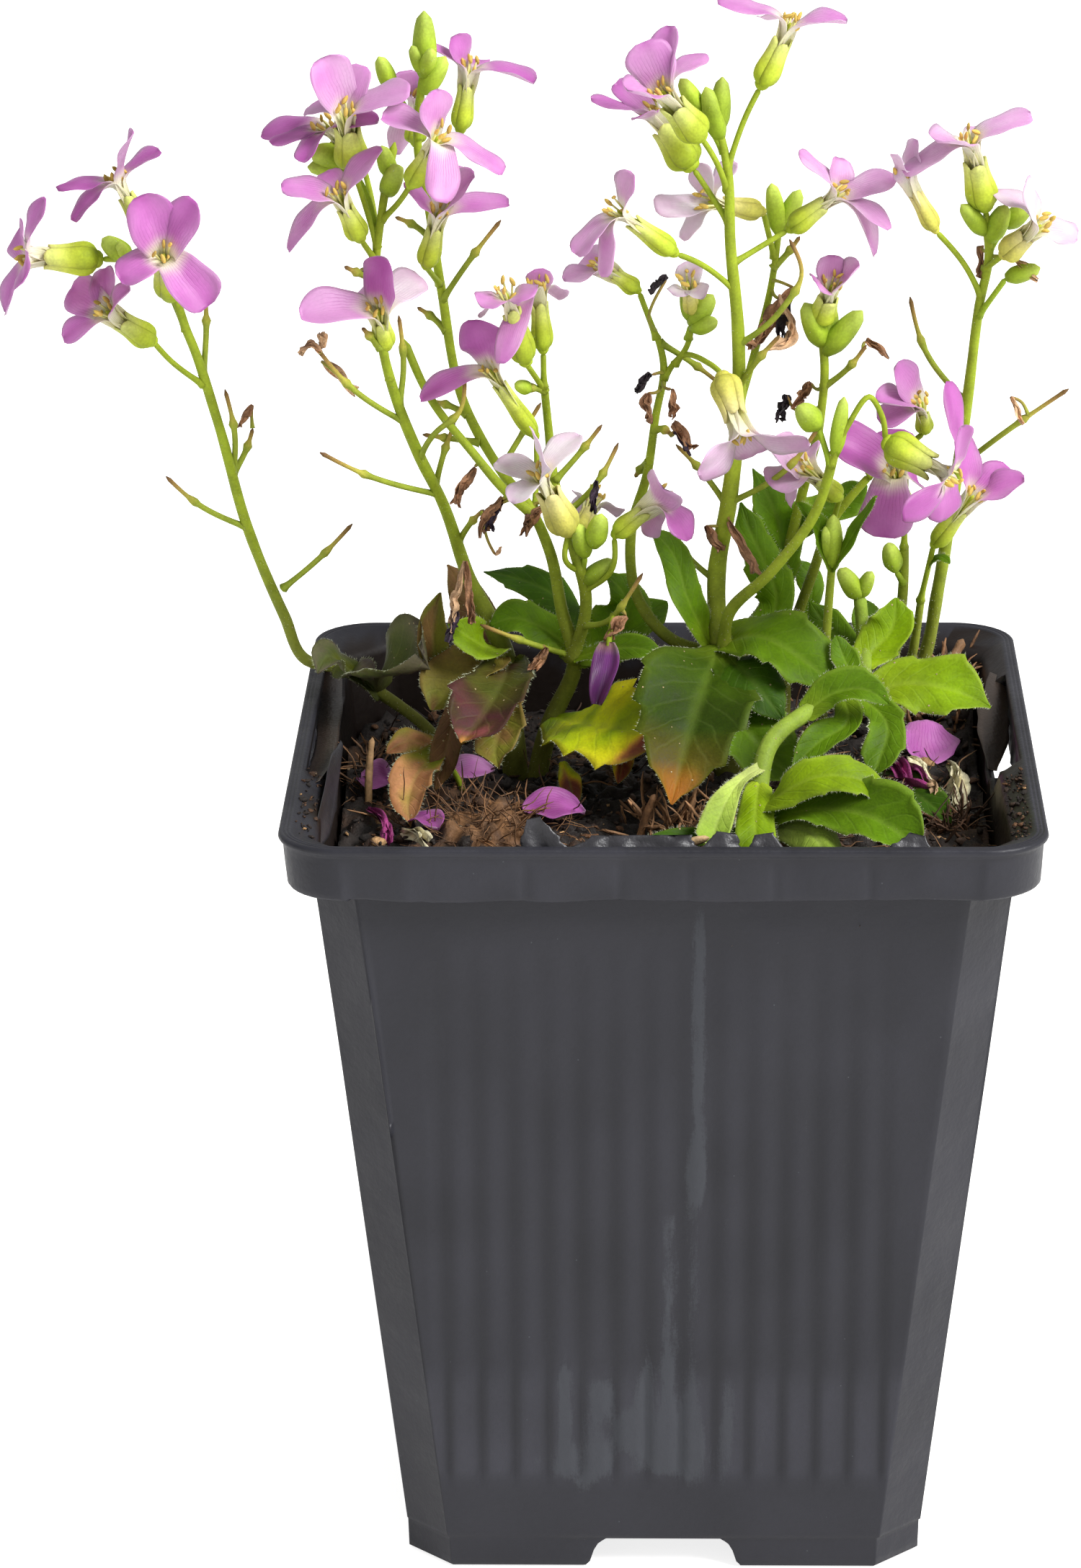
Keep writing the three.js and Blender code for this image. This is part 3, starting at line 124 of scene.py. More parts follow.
# The outlines of the two tears, as (y, level), by the side: 1 is the right one and 3 the left.
TEARS = {
    1: np.array([(-11, 98.6), (-11, 96.6), (-8, 94), (-3, 90.4), (1, 91.4), (4, 89.8), (9, 89.6),
        (12, 91), (13, 93.2), (17, 92.6), (20, 95.4), (23, 96.8), (23, 98.6)]),
    3: np.array([(-15, 98.6), (-15, 96.8), (-12, 95.2), (-8, 95.6), (-3, 94), (4, 94.6), (11, 93.8),
        (18, 94.6), (25, 94.2), (29, 96.6), (29, 98.6)]),
}

# The places of the creases in the skirt.
SKIRT_CREASES = (-28, -16, -5, 3, 13, 24)

# Pale scuffs down the pot: their place along the side, half width, lowest and highest point
# and strength.
POT_STREAKS = ((4.2, 1.1, 48, 94, 1), (3.6, 1.5, 12, 62, 0.6), (0.6, 1.3, 12, 54, 0.75),
    (7.6, 0.9, 14, 60, 0.5), (-2, 0.8, 12, 44, 0.5), (-12, 0.8, 12, 34, 0.6),
    (17, 0.6, 30, 88, 0.45), (22, 0.6, 34, 88, 0.4), (-21, 0.6, 50, 90, 0.4))

# Torn film on the lip's front edge: x, lowest and highest point, width, width at the tip, lean.
FILM_TINT = (46, 45, 49)
SOILED_TINT = (52, 42, 35)
FILM_SCRAPS = ((-14, 97, 101, 6, 1.8, -1), (-3, 97, 98.9, 15, 12, 0), (7, 97, 99.2, 5, 2.4, 0.4),
    (12, 97, 99.1, 4.4, 2.2, -0.3), (29, 97, 99, 6, 1.8, 0.5))

# What is left of the torn shoulders: soiled flaps, as points and widths.
TORN_FLAPS = (
    ([[-42.3, -17, 96.6], [-42, -8, 95.6], [-41.8, 4, 95], [-42, 17, 95.4], [-42.3, 30.5, 96.8]],
        [2.4, 3.4, 3, 3.6, 2.4]),
    ([[42.3, 25, 97], [41.8, 18, 95.6], [41, 11, 93.4], [40.8, 5, 91.2]], [2.4, 4.2, 4, 1.2]),
)

# Straws, bark and a round lump: radii, colour and points.
STRAWS = [
    ([0.5, 0.45, 0.35], (158, 124, 84), [[-36, -4, 87], [-36.2, -1, 92], [-35.8, 1, 96.6]]),
    ([0.8, 0.65, 0.5], (140, 104, 70), [[-2, -33, 88], [3, -34.4, 90.6], [9, -35, 91.6]]),
    ([0.5, 0.4], (128, 92, 60), [[-3, -14, 87], [-2.4, -15, 91], [-1, -16, 95]]),
    ([0.9, 0.8, 0.6], (128, 94, 62), [[33, 30, 90], [36, 33.4, 94.6], [38.4, 36, 98.4]]),
    ([1.7, 2.1, 1.2], (122, 92, 62), [[15.3, -19, 89], [15.2, -19, 91.4], [15.2, -18.6, 93.4]]),
    ([0.3, 0.5, 0.35], (196, 164, 120), [[1.4, -40.2, 96.2], [3.4, -40.8, 97.6], [5.4, -41.4, 98.3]]),
]

# Tufts of fibre: (x, y, spread, number), lengths, how upright they are, colour and thickness.
FIBRE_TUFTS = [
    ((2, -12, 4, 70), (3, 9), 1.5, (164, 122, 84), 0.28),
    ((-20.5, -14, 5, 230), (3, 9), 0.1, (122, 86, 54), 0.13),
    ((32, 31, 5, 240), (3, 8), 0.7, (120, 84, 54), 0.4),
    ((-36, 6, 4, 90), (2, 7), 0.6, (110, 78, 50), 0.18),
    ((36, -10, 2.4, 90), (2, 6), 0.7, (84, 56, 34), 0.24),
    ((22, -30, 6, 40), (2, 5), 0.3, (104, 72, 46), 0.16),
]

# The places of the petals' and the dry bits' finishes among the plant's. The growth is at 0.
PETAL, DRY = 1, 2

# Growth tints, as a ramp along the blade, the rib, the margin and the underside.
LEAF_TINTS = {
    # The deep ramp is the dark green of leaves that lie low, behind or under others: partly their own darker
    # colour and partly painted shade.
    "deep": ([(0, (84, 112, 14)), (0.3, (54, 84, 2)), (1, (44, 74, 1))],
        (98, 130, 24), (92, 120, 34), (82, 104, 28)),
    "mid": ([(0, (124, 150, 26)), (0.3, (86, 118, 5)), (1, (76, 108, 4))],
        (134, 162, 40), (120, 146, 50), (106, 130, 40)),
    "bright": ([(0, (146, 166, 40)), (0.3, (120, 146, 6)), (1, (104, 134, 3))],
        (158, 178, 48), (148, 170, 62), (132, 154, 46)),
    "pale": ([(0, (178, 190, 110)), (0.5, (152, 172, 74)), (1, (124, 156, 40))],
        (184, 194, 120), (168, 184, 100), (156, 172, 88)),
    "orange_foot": ([(0, (104, 126, 26)), (0.18, (54, 76, 2)), (0.55, (44, 64, 1)), (0.76, (86, 76, 9)),
        (0.9, (168, 104, 30)), (1, (130, 76, 24))], (106, 134, 26), (88, 106, 30), (74, 94, 24)),
    "yellow": ([(0, (132, 160, 8)), (0.3, (180, 194, 12)), (0.72, (222, 214, 26)), (0.88, (200, 134, 56)),
        (1, (124, 62, 44))], (200, 208, 60), (206, 190, 50), (160, 160, 44)),
    "maroon": ([(0, (74, 84, 16)), (0.35, (76, 70, 24)), (0.56, (66, 46, 28)), (0.66, (80, 40, 44)),
        (0.74, (72, 50, 30)), (0.84, (120, 62, 64)), (0.92, (110, 70, 40)), (1, (170, 118, 56))],
        (84, 84, 34), (60, 36, 40), (110, 78, 40)),
    "brown": ([(0, (132, 102, 60)), (0.4, (120, 102, 44)), (0.8, (104, 104, 30)), (1, (112, 84, 46))],
        (142, 118, 66), (132, 102, 68), (124, 102, 60)),
    "dead": ([(0, (112, 80, 52)), (0.5, (94, 66, 42)), (1, (120, 88, 56))],
        (126, 94, 62), (102, 72, 48), (100, 72, 48)),
    "grey": ([(0, (108, 114, 34)), (0.4, (84, 92, 44)), (0.8, (96, 88, 70)), (1, (74, 62, 58))],
        (104, 112, 64), (64, 56, 54), (112, 106, 80)),
    "orange": ([(0, (96, 116, 20)), (0.35, (132, 132, 40)), (0.7, (168, 120, 80)), (1, (120, 78, 48))],
        (166, 154, 70), (150, 104, 60), (140, 110, 50)),
}
AGED = ("yellow", "maroon", "brown", "grey", "orange")
STEM_LOW = (112, 116, 46)
STEM_HIGH = (146, 162, 44)
FRESH_STEM = (130, 152, 54)
POD_TINTS = [(0, (140, 156, 50)), (0.6, (150, 160, 56)), (0.66, (176, 172, 70)), (0.86, (160, 130, 70)),
    (1, (96, 66, 46))]
CALYX_TINTS = [(0, (154, 176, 40)), (0.5, (184, 198, 62)), (1, (210, 216, 126))]
OLD_CALYX_TINTS = [(0, (184, 182, 72)), (0.5, (206, 200, 100)), (1, (222, 212, 146))]
BUD_TINTS = [(0, (138, 162, 40)), (0.5, (158, 182, 52)), (1, (180, 198, 88))]
BLOOM_TINTS = [(0, (140, 48, 130)), (0.3, (182, 98, 172)), (0.6, (200, 144, 190)), (0.85, (212, 184, 206)),
    (1, (218, 207, 214))]
THROAT_TINT = (212, 214, 112)
CLAW_TINT = (244, 240, 216)
REVERSE_TINT = (236, 214, 230)
BRUISE_TINT = (150, 92, 120)
FILAMENT_TINT = (228, 226, 150)
ANTHER_TINT = (212, 180, 92)
PISTIL_TINT = (170, 180, 60)
WILTED_TINTS = [(0, (150, 110, 96)), (0.2, (92, 26, 100)), (0.7, (66, 6, 76)), (1, (44, 6, 48))]
HUSK_TINTS = {"tan": (200, 162, 124), "brown": (152, 110, 78), "purple": (46, 30, 48),
    "dark": (36, 26, 34), "magenta": (134, 44, 102), "cream": (206, 198, 164)}
HUSK_STALK_TINTS = [(0, (150, 160, 60)), (1, (142, 108, 66))]
HAIR_TINT = (206, 212, 176)


def linear(colour):
    """Screen colours, 0 to 255, as linear ones."""
    c = np.asarray(colour, float) / 255
    return np.where(c <= 0.04045, c / 12.92, ((c + 0.055) / 1.055) ** 2.4)


def ramp(stops, x):
    """Linear colours at places x on a ramp of (place, screen colour)."""
    places = [stop[0] for stop in stops]
    colours = linear([stop[1] for stop in stops])
    return np.stack([np.interp(x, places, colours[:, i]) for i in range(3)], -1)


def mix(a, b, share):
    """a where share is 0 and b where it is 1."""
    share = np.asarray(share)[..., None]
    return a * (1 - share) + b * share


def unit(vectors):
    """Vectors scaled to length 1."""
    return vectors / np.maximum(np.linalg.norm(vectors, axis=-1, keepdims=True), 1e-9)


def ease(x, low, high):
    """0 below low, 1 above high, and a smooth step between."""
    t = np.clip((x - low) / (high - low), 0, 1)
    return t * t * (3 - 2 * t)


def reading(values, share):
    """A list of values read at shares of its length, on a cubic curve through all of them."""
    values = np.asarray(values, float)
    padded = np.concatenate([values[:1], values, values[-1:]])
    place = np.clip(share, 0, 1) * (len(values) - 1)
    i = np.minimum(place.astype(int), len(values) - 2)
    t = place - i
    a, b, c, d = padded[i], padded[i + 1], padded[i + 2], padded[i + 3]
    return b + t / 2 * (c - a + t * (2 * a - 5 * b + 4 * c - d + t * (3 * (b - c) + d - a)))


def rough(x, y, size, seed):
    """Random heights from -1 to 1 on a lattice of the given size, smoothly joined."""
    lattice = np.random.default_rng(seed).uniform(-1, 1, (64, 64))
    u, v = x / size, y / size
    i, j = np.floor(u).astype(int), np.floor(v).astype(int)
    s, t = ease(u - i, 0, 1), ease(v - j, 0, 1)
    i, j, k, l = i % 64, j % 64, (i + 1) % 64, (j + 1) % 64
    low = lattice[i, j] * (1 - s) + lattice[k, j] * s
    high = lattice[i, l] * (1 - s) + lattice[k, l] * s
    return low * (1 - t) + high * t


def smooth(points, step):
    """A curve through points: cubic Hermite arcs whose slope at each point is the mean of its
    two chords, each weighted by the other's length. Gives places about a step apart, their
    share of the length, and their share of the way through the list."""
    p = np.asarray(points, float)
    chords = np.diff(p, axis=0)
    lengths = np.linalg.norm(chords, axis=1)
    slopes = chords / lengths[:, None]
    tangents = slopes[[0, -1]]
    if len(p) > 2:
        before, after = lengths[:-1, None], lengths[1:, None]
        inner = (slopes[:-1] * after + slopes[1:] * before) / (before + after)
        ends = (3 * slopes[[0, -1]] - inner[[0, -1]]) / 2
        tangents = np.concatenate([ends[:1], inner, ends[1:]])
    marks = np.concatenate([[0], np.cumsum(lengths)])
    s = np.linspace(0, marks[-1], max(4, int(np.ceil(marks[-1] / step)) + 1))
    i = np.clip(np.searchsorted(marks, s, side="right") - 1, 0, len(lengths) - 1)
    t = ((s - marks[i]) / lengths[i])[:, None]
    a, b = p[i], p[i + 1]
    m, n = tangents[i] * lengths[i, None], tangents[i + 1] * lengths[i, None]
    path = a + t * m + t**2 * (3 * (b - a) - 2 * m - n) + t**3 * (2 * (a - b) + m + n)
    return path, s / marks[-1], (i + t[:, 0]) / len(lengths)


def directions(path):
    """For each point of a path its heading, and two directions across it that don't twist: the
    first lies in the plane in which the path bends most."""
    ahead = unit(np.gradient(path, axis=0))
    upright = np.linalg.svd(ahead)[2][-1]
    across = unit(np.cross(upright, ahead))
    return ahead, across, np.cross(ahead, across)


def around(angle, a, b):
    """The directions at angles from a towards b."""
    return np.cos(angle)[..., None] * a + np.sin(angle)[..., None] * b


def turns(count):
    """A number of angles spread evenly over one turn."""
    return np.arange(count) * 2 * pi / count


def path_length(path):
    """The length of a line of points."""
    return np.linalg.norm(np.diff(path, axis=0), axis=1).sum()


def grid(*values):
    """Arrays of matching shapes, stacked as the coordinates of points."""
    return np.stack(np.broadcast_arrays(*values), -1)


def both_sides(across):
    """The places across a blade, back along its underside, and 1 above and -1 below."""
    v = np.linspace(1, -1, across)
    return np.concatenate([v, v[::-1]])[None], np.repeat([1, -1], across)[None]


def at(rows, place):
    """Rows of an array read between one another at fractional places."""
    i = np.minimum(place.astype(int), len(rows) - 2)
    t = (place - i).reshape(-1, *[1] * (rows.ndim - 1))
    return rows[i] * (1 - t) + rows[i + 1] * t


def ring_faces(rows, count):
    """The quads between rows of points that close in rings, and the triangles that join the first
    and the last ring to two more points."""
    i = np.arange(rows * count).reshape(rows, count)
    j = np.roll(i, -1, 1)
    quads = np.stack([i[:-1], j[:-1], j[1:], i[1:]], -1).reshape(-1, 4)
    start = np.stack([np.full(count, rows * count), j[0], i[0]], -1)
    end = np.stack([np.full(count, rows * count + 1), i[-1], j[-1]], -1)
    return [quads, np.concatenate([start, end])]


def repeated(faces, count, points):
    """The faces of one small solid for a number of copies of it, each with as many points."""
    start = points * np.arange(count)[:, None, None]
    return [(start + np.asarray(f)).reshape(-1, np.shape(f)[1]) for f in faces]


class Surface:
    """Closed surfaces that become one mesh. Each point has a place in millimetres, a tint in
    linear colour and a span: its share of the way along its organ, -1 to 1 across it, and 1 on a
    blade or 0 elsewhere. Each face has the number of its finish. The axes are the stems' paths."""

    def __init__(self, seed, axes=None):
        self.random = np.random.default_rng(seed)
        self.axes = [] if axes is None else axes
        self.parts = []
        self.count = 0

    def add(self, places, tints, spans, faces, finish=0):
        """Takes loose arrays: places (n, 3), tints, spans and a list of face arrays."""
        places = np.asarray(places, float)
        shape = (len(places), 3)
        tints, spans = np.broadcast_to(tints, shape), np.broadcast_to(spans, shape)
        self.parts.append((places, tints, spans, [f + self.count for f in faces], finish))
        self.count += len(places)

    def loft(self, rings, tints, spans=(0, 0, 0), finish=0):
        """Skins rings of points (rows, around, 3), and closes both ends with a point."""
        shape = rings.shape
        tints, spans = np.broadcast_to(tints, shape), np.broadcast_to(spans, shape)
        flat = [np.concatenate([x.reshape(-1, 3), x[[0, -1]].mean(1)]) for x in (rings, tints, spans)]
        self.add(*flat, ring_faces(*shape[:2]), finish)

    def mesh(self, name):
        """The whole as a Blender mesh in metres, with the tint and span as its attributes."""
        places, tints, spans = (np.concatenate([part[k] for part in self.parts]) for k in range(3))
        faces = [(f, part[4]) for part in self.parts for f in part[3] if len(f)]
        corners = np.concatenate([f.ravel() for f, _ in faces])
        sides = np.concatenate([np.full(len(f), f.shape[1]) for f, _ in faces])
        finishes = np.concatenate([np.full(len(f), finish) for f, finish in faces])
        self.finishes, finishes = np.unique(finishes, return_inverse=True)
        mesh = bpy.data.meshes.new(name)
        mesh.vertices.add(len(places))
        mesh.loops.add(len(corners))
        mesh.polygons.add(len(sides))
        mesh.vertices.foreach_set("co", (places * MM).astype(np.float32).ravel())
        mesh.loops.foreach_set("vertex_index", corners.astype(np.int32))
        mesh.polygons.foreach_set("loop_start", (np.cumsum(sides) - sides).astype(np.int32))
        mesh.polygons.foreach_set("material_index", finishes.astype(np.int32))
        mesh.update(calc_edges=True)
        mesh.shade_smooth()
        tint = mesh.attributes.new("tint", "FLOAT_COLOR", "POINT")
        rgba = np.concatenate([tints, np.ones((len(tints), 1))], 1)
        tint.data.foreach_set("color", rgba.astype(np.float32).ravel())
        span = mesh.attributes.new("span", "FLOAT_VECTOR", "POINT")
        span.data.foreach_set("vector", spans.astype(np.float32).ravel())
        return mesh


def make_piece(name, surface, materials, slot, *nodes):
    """Adds the surface to the scene as an object that rides on the plant's one body."""
    piece = bpy.data.objects.new(name, surface.mesh(name))
    for finish in surface.finishes:
        piece.data.materials.append(materials[finish])
    bpy.context.scene.collection.objects.link(piece)
    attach(piece, "root")
    if nodes:
        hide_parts(*nodes)
    return piece


def tube(surface, path, radii, tints, sides=STEM_SIDES, lobes=0, depth=0):
    """A round profile carried along a path: circles of the given radii, swollen by depth in a
    number of lobes, that close in a dome over the path's last radius."""
    _, across, over = directions(path)
    left = np.linalg.norm(path[-1] - path, axis=1) / np.maximum(radii[-1], 1e-6)
    radii = radii * np.sqrt(np.clip(1 - (1 - np.minimum(left, 1)) ** 2, 0.04, 1))
    angle = turns(sides)
    r = (radii[:, None] * (1 + depth * np.cos(lobes * angle)))[..., None]
    rings = path[:, None] + r * around(angle, across[:, None], over[:, None])
    surface.loft(rings, np.broadcast_to(tints, path.shape)[:, None])


def sheet(surface, path, half_width, lift, tints, face, thickness, across, finish=0):
    """A thin blade on a midrib. Across it, v runs from 1 to -1 above and back below: a point
    stands v times the half width to the side, and lift plus half the thickness, thinned
    towards the margins, above or below. Gives the margins' places and the blade's directions."""
    ahead = unit(np.gradient(path, axis=0))
    side = unit(np.cross(face, ahead))
    up = np.cross(ahead, side)
    u = np.linspace(0, 1, len(path))[:, None]
    v, upper = both_sides(across)
    x = v * half_width(u, v)
    h = lift(u, v) + upper * thickness * (0.5 - 0.4 * v**2)
    rings = path[:, None] + x[..., None] * side[:, None] + h[..., None] * up[:, None]
    surface.loft(rings, tints(u, v, upper), grid(u, v, 1.0), finish)
    return rings[:, 0], rings[:, across - 1], ahead, side, up


def spikes(surface, roots, headings, lengths, radius, tint):
    """Hairs: on each root a slender three-sided pyramid that points along its heading."""
    d = unit(headings)
    a = unit(np.cross(d, [0.37, 0.61, 0.7]))
    b = np.cross(d, a)
    foot = roots[:, None] + radius * around(turns(3), a[:, None], b[:, None])
    tip = roots + d * lengths[:, None]
    places = np.concatenate([foot, tip[:, None]], 1).reshape(-1, 3)
    corners = [[0, 1, 3], [1, 2, 3], [2, 0, 3], [2, 1, 0]]
    surface.add(places, tint, (0, 0, 0), repeated([corners], len(roots), 4))


def stem_hairs(surface, path, radii, density):
    """Fine hairs that stand all round a stem, more of them where it is low on the plant."""
    random = surface.random
    ahead, across, over = directions(path)
    place = random.uniform(0, len(path) - 1.001, int(path_length(path) * density))
    low = at(path, place)[:, 2]
    place = place[random.uniform(size=len(place)) > ease(low, 104, 150) * 0.75]
    out = around(random.uniform(0, 2 * pi, len(place)), at(across, place), at(over, place))
    roots = at(path, place) + out * at(radii, place)[:, None] * 0.94
    headings = out + at(ahead, place) * random.uniform(-0.1, 0.5, (len(place), 1))
    lengths = random.uniform(0.22, 0.5, len(place))
    spikes(surface, roots, headings, lengths, 0.022, linear(HAIR_TINT))


# The plant's organs, which are each drawn into a surface, along a line of points.


def stem(surface, values, *points, fresh=0):
    """A stem whose radius follows a list of values spread evenly over its points. It flares
    where it leaves its parent, and it is darker and browner low down."""
    path, along, share = smooth(points, STEM_STEP)
    radii = reading(values, share)
    from_root = along * path_length(path)
    radii = radii * (1 + 0.55 * np.exp(-from_root / 1.1))
    radii = radii * (1 + 0.05 * rough(from_root, from_root * 0, 3.5, len(points)))
    height = ease(path[:, 2], 92, 128)
    high = linear(FRESH_STEM if fresh else STEM_HIGH)
    tints = mix(linear(STEM_LOW), high, np.clip(height + 0.85 * fresh, 0, 1))
    tube(surface, path, radii, tints * (1 + 0.1 * rough(from_root, 0 * along, 2, 3))[:, None])
    stem_hairs(surface, path, radii, 7)
    surface.axes.append(path)


def thread(surface, path, along, radius, tints, sides=STALK_SIDES):
    """A thin tube of one radius that flares at its root."""
    radii = radius * (1 + 0.8 * np.exp(-along * path_length(path) / 0.7))
    tube(surface, path, radii, tints, sides)


def stalk(surface, *points):
    """The stalk of a flower that has dropped: a thin stalk up to a joint with a small swelling,
    and past it a slender pod that dries to a brown tip with a knob."""
    path, along, _ = smooth(points, STALK_STEP)
    length = path_length(path)
    path, along, _ = smooth(path, min(STALK_STEP, length / 16))
    joint = np.exp(-(((along - 0.62) * length / 0.45) ** 2))
    knob = ease(along, 0.93, 1)
    radii = 0.37 - 0.1 * ease(along, 0.6, 0.75) + 0.26 * joint + 0.08 * knob
    radii += 0.3 * np.exp(-along * length / 0.7)
    tube(surface, path, radii, ramp(POD_TINTS, along), STALK_SIDES)
    stem_hairs(surface, path, radii, 2)
    surface.axes.append(path)


def petiole(surface, *points):
    """A plain thin stalk."""
    path, along, _ = smooth(points, STALK_STEP)
    thread(surface, path, along, STALK_RADIUS, linear(STEM_HIGH))


def bud(surface, radius, *points):
    """A closed bud on its stalk. The last two points are its foot and its tip, and its four
    sepals are low lobes round it."""
    foot, tip = np.asarray(points[-2:], float)
    if len(points) > 2:
        path, along, _ = smooth(points[:-1], STALK_STEP)
        thread(surface, path, along, STALK_RADIUS, ramp(BUD_TINTS, along * 0.4))
    path, along, _ = smooth([foot, tip], np.linalg.norm(tip - foot) / 9)
    radii = radius * reading([0.5, 0.92, 1.04, 1.02, 0.92, 0.74, 0.46], along)
    tints = ramp(BUD_TINTS, along) * surface.random.uniform(0.86, 1.1)
    tube(surface, path, radii, tints, 12, 4, 0.09)
    stem_hairs(surface, path, radii, 6)


def leaf(surface, widths, *points, hue="mid", bite=None, fold=None, thick=0.34):
    """A leaf on a curved midrib. Its margin has forward-pointing teeth, its blade is cupped and
    waved from side to side with a groove on the midrib, and its margin is fringed with hairs."""
    random = surface.random
    path, _, _ = smooth(points, 0.7)
    length = path_length(path)
    path, _, share = smooth(points, length / max(30, int(length * 2.2)))
    width = reading(widths, share)[:, None]
    broadest = max(widths)
    teeth = max(2, round(length / 5.5))
    jags = (0.22 if broadest > 4.5 else 0.07) if bite is None else bite
    phases, waves = random.uniform(0, 1, 2), random.uniform(1, 2)
    cup, twist = random.uniform(-0.05, 0.26), random.uniform(-0.1, 0.1)
    cup = cup if fold is None else fold
    sizes = random.uniform(0.35, 1.25, (2, 40))

    def half_width(u, v):
        phase = np.where(v > 0, phases[0], phases[1])
        place = (u - 0.2) * 1.25 * teeth + phase + 1
        size = sizes[np.where(v > 0, 0, 1), np.clip(place, 0, 39).astype(int)]
        jag = jags * size * ((place % 1) ** 2.2 - 0.35) * ease(u, 0.22, 0.4) * ease(np.abs(v), 0.3, 1)
        ends = np.sqrt(np.clip((1 - u) / 0.12, 0.02, 1)) * np.sqrt(np.clip(u / 0.04 + 0.4, 0, 1))
        return width / 2 * ends * (1 + jag)

    def lift(u, v):
        phase = np.where(v > 0, phases[0], phases[1])
        ripple = 0.11 * np.sin(2 * pi * (u * waves + phase)) * v**2
        quilt = 0.012 * np.sin(2 * pi * (u - 0.25 * np.abs(v)) * teeth * 2) * np.sin(pi * np.abs(v))
        groove = 0.05 * np.exp(-((v / 0.14) ** 2)) - quilt
        return width * (cup * v**2 + ripple - groove + twist * v * u)

    blade, rib, margin, under = LEAF_TINTS[hue]

    def tints(u, v, upper):
        blotch = rough(u * length, v * 3 + upper, 2.4, int(length * 7) % 97)
        wide = rough(u * length + 9, v * 4, 5.5, int(length * 11) % 89)
        shift = (0.5 * wide + 0.24 * blotch) if hue in AGED else 0.1 * wide
        top = ramp(blade, np.clip(u + shift, 0, 1)) * (1 + 0.14 * blotch + 0.16 * wide)[..., None]
        top = mix(top, linear(rib), 0.26 * np.exp(-((v / 0.08) ** 2)) * (1 - 0.8 * u))
        top = mix(top, linear(margin), 0.5 * np.abs(v) ** 10 * np.ones_like(u))
        low = mix(ramp(blade, u + 0 * v), linear(under), 0.6 * np.ones_like(u * v))
        return mix(low, top, (upper > 0) * np.ones_like(u))

    right, left, ahead, side, up = sheet(
        surface, path, half_width, lift, tints, LIGHT, thick, LEAF_ACROSS)
    for edge, sign in ((right, 1), (left, -1)):
        place = random.uniform(len(path) * 0.05, len(path) - 1.001, int(length * 7))
        out = sign * at(side, place) + at(ahead, place) * random.uniform(-0.3, 0.7, (len(place), 1))
        out = out + at(up, place) * random.uniform(-0.5, 0.9, (len(place), 1))
        spikes(surface, at(edge, place), out, random.uniform(0.2, 0.5, len(place)), 0.022, linear(HAIR_TINT))


def husk(surface, *points, hue="tan", width=1.6):
    """A dry sepal or shrivelled petal: a narrow scrap, crumpled and rolled in on itself, on a
    thread of a stalk that joins it to the nearest stem."""
    random = surface.random
    start = np.asarray(points[0], float)
    stems = np.concatenate(surface.axes)
    away = np.linalg.norm(stems - start, axis=1)
    root = stems[away.argmin()]
    if 0.4 < away.min() < 9:
        middle = (root + start) / 2 + random.uniform(-0.25, 0.25, 3) * away.min()
        path, along, _ = smooth([root, middle, start], 0.5)
        thread(surface, path, along, 0.2, ramp(HUSK_STALK_TINTS, along), 5)
    path, _, _ = smooth(points, 0.3)
    length = path_length(path)
    tint = linear(HUSK_TINTS[hue])
    for _ in range(3 if length > 2.6 else 2):
        phase, seed = random.uniform(0, 6), int(random.integers(1000))
        sway = np.stack([rough(path @ [1, 1, 1], path[:, 2], 1.3, seed + k) for k in (1, 2, 3)], -1)
        out = np.linspace(0, 1, len(path))[:, None]
        line = path + sway * 0.5 * out
        line = line + random.uniform(-0.5, 0.5, 3) * width * 0.5 * out
        breadth = width * random.uniform(0.4, 0.75)

        def half_width(u, v):
            return breadth / 2 * (0.3 + 0.8 * np.sin(pi * u**0.8) ** 0.8 + 0.2 * np.sin(9 * u + phase) * v)

        def lift(u, v):
            return breadth * (0.45 * v**2 + 0.25 * np.sin(7 * u + 3 * v + phase))

        def tints(u, v, upper):
            shade = 1 + 0.45 * rough(u * 8, v * 3 + upper, 1, seed)
            return tint * random.uniform(0.8, 1.2) * shade[..., None]

        turn = LIGHT + random.uniform(-1.2, 1.2, 3)
        sheet(surface, line, half_width, lift, tints, turn, 0.12, 7, DRY)


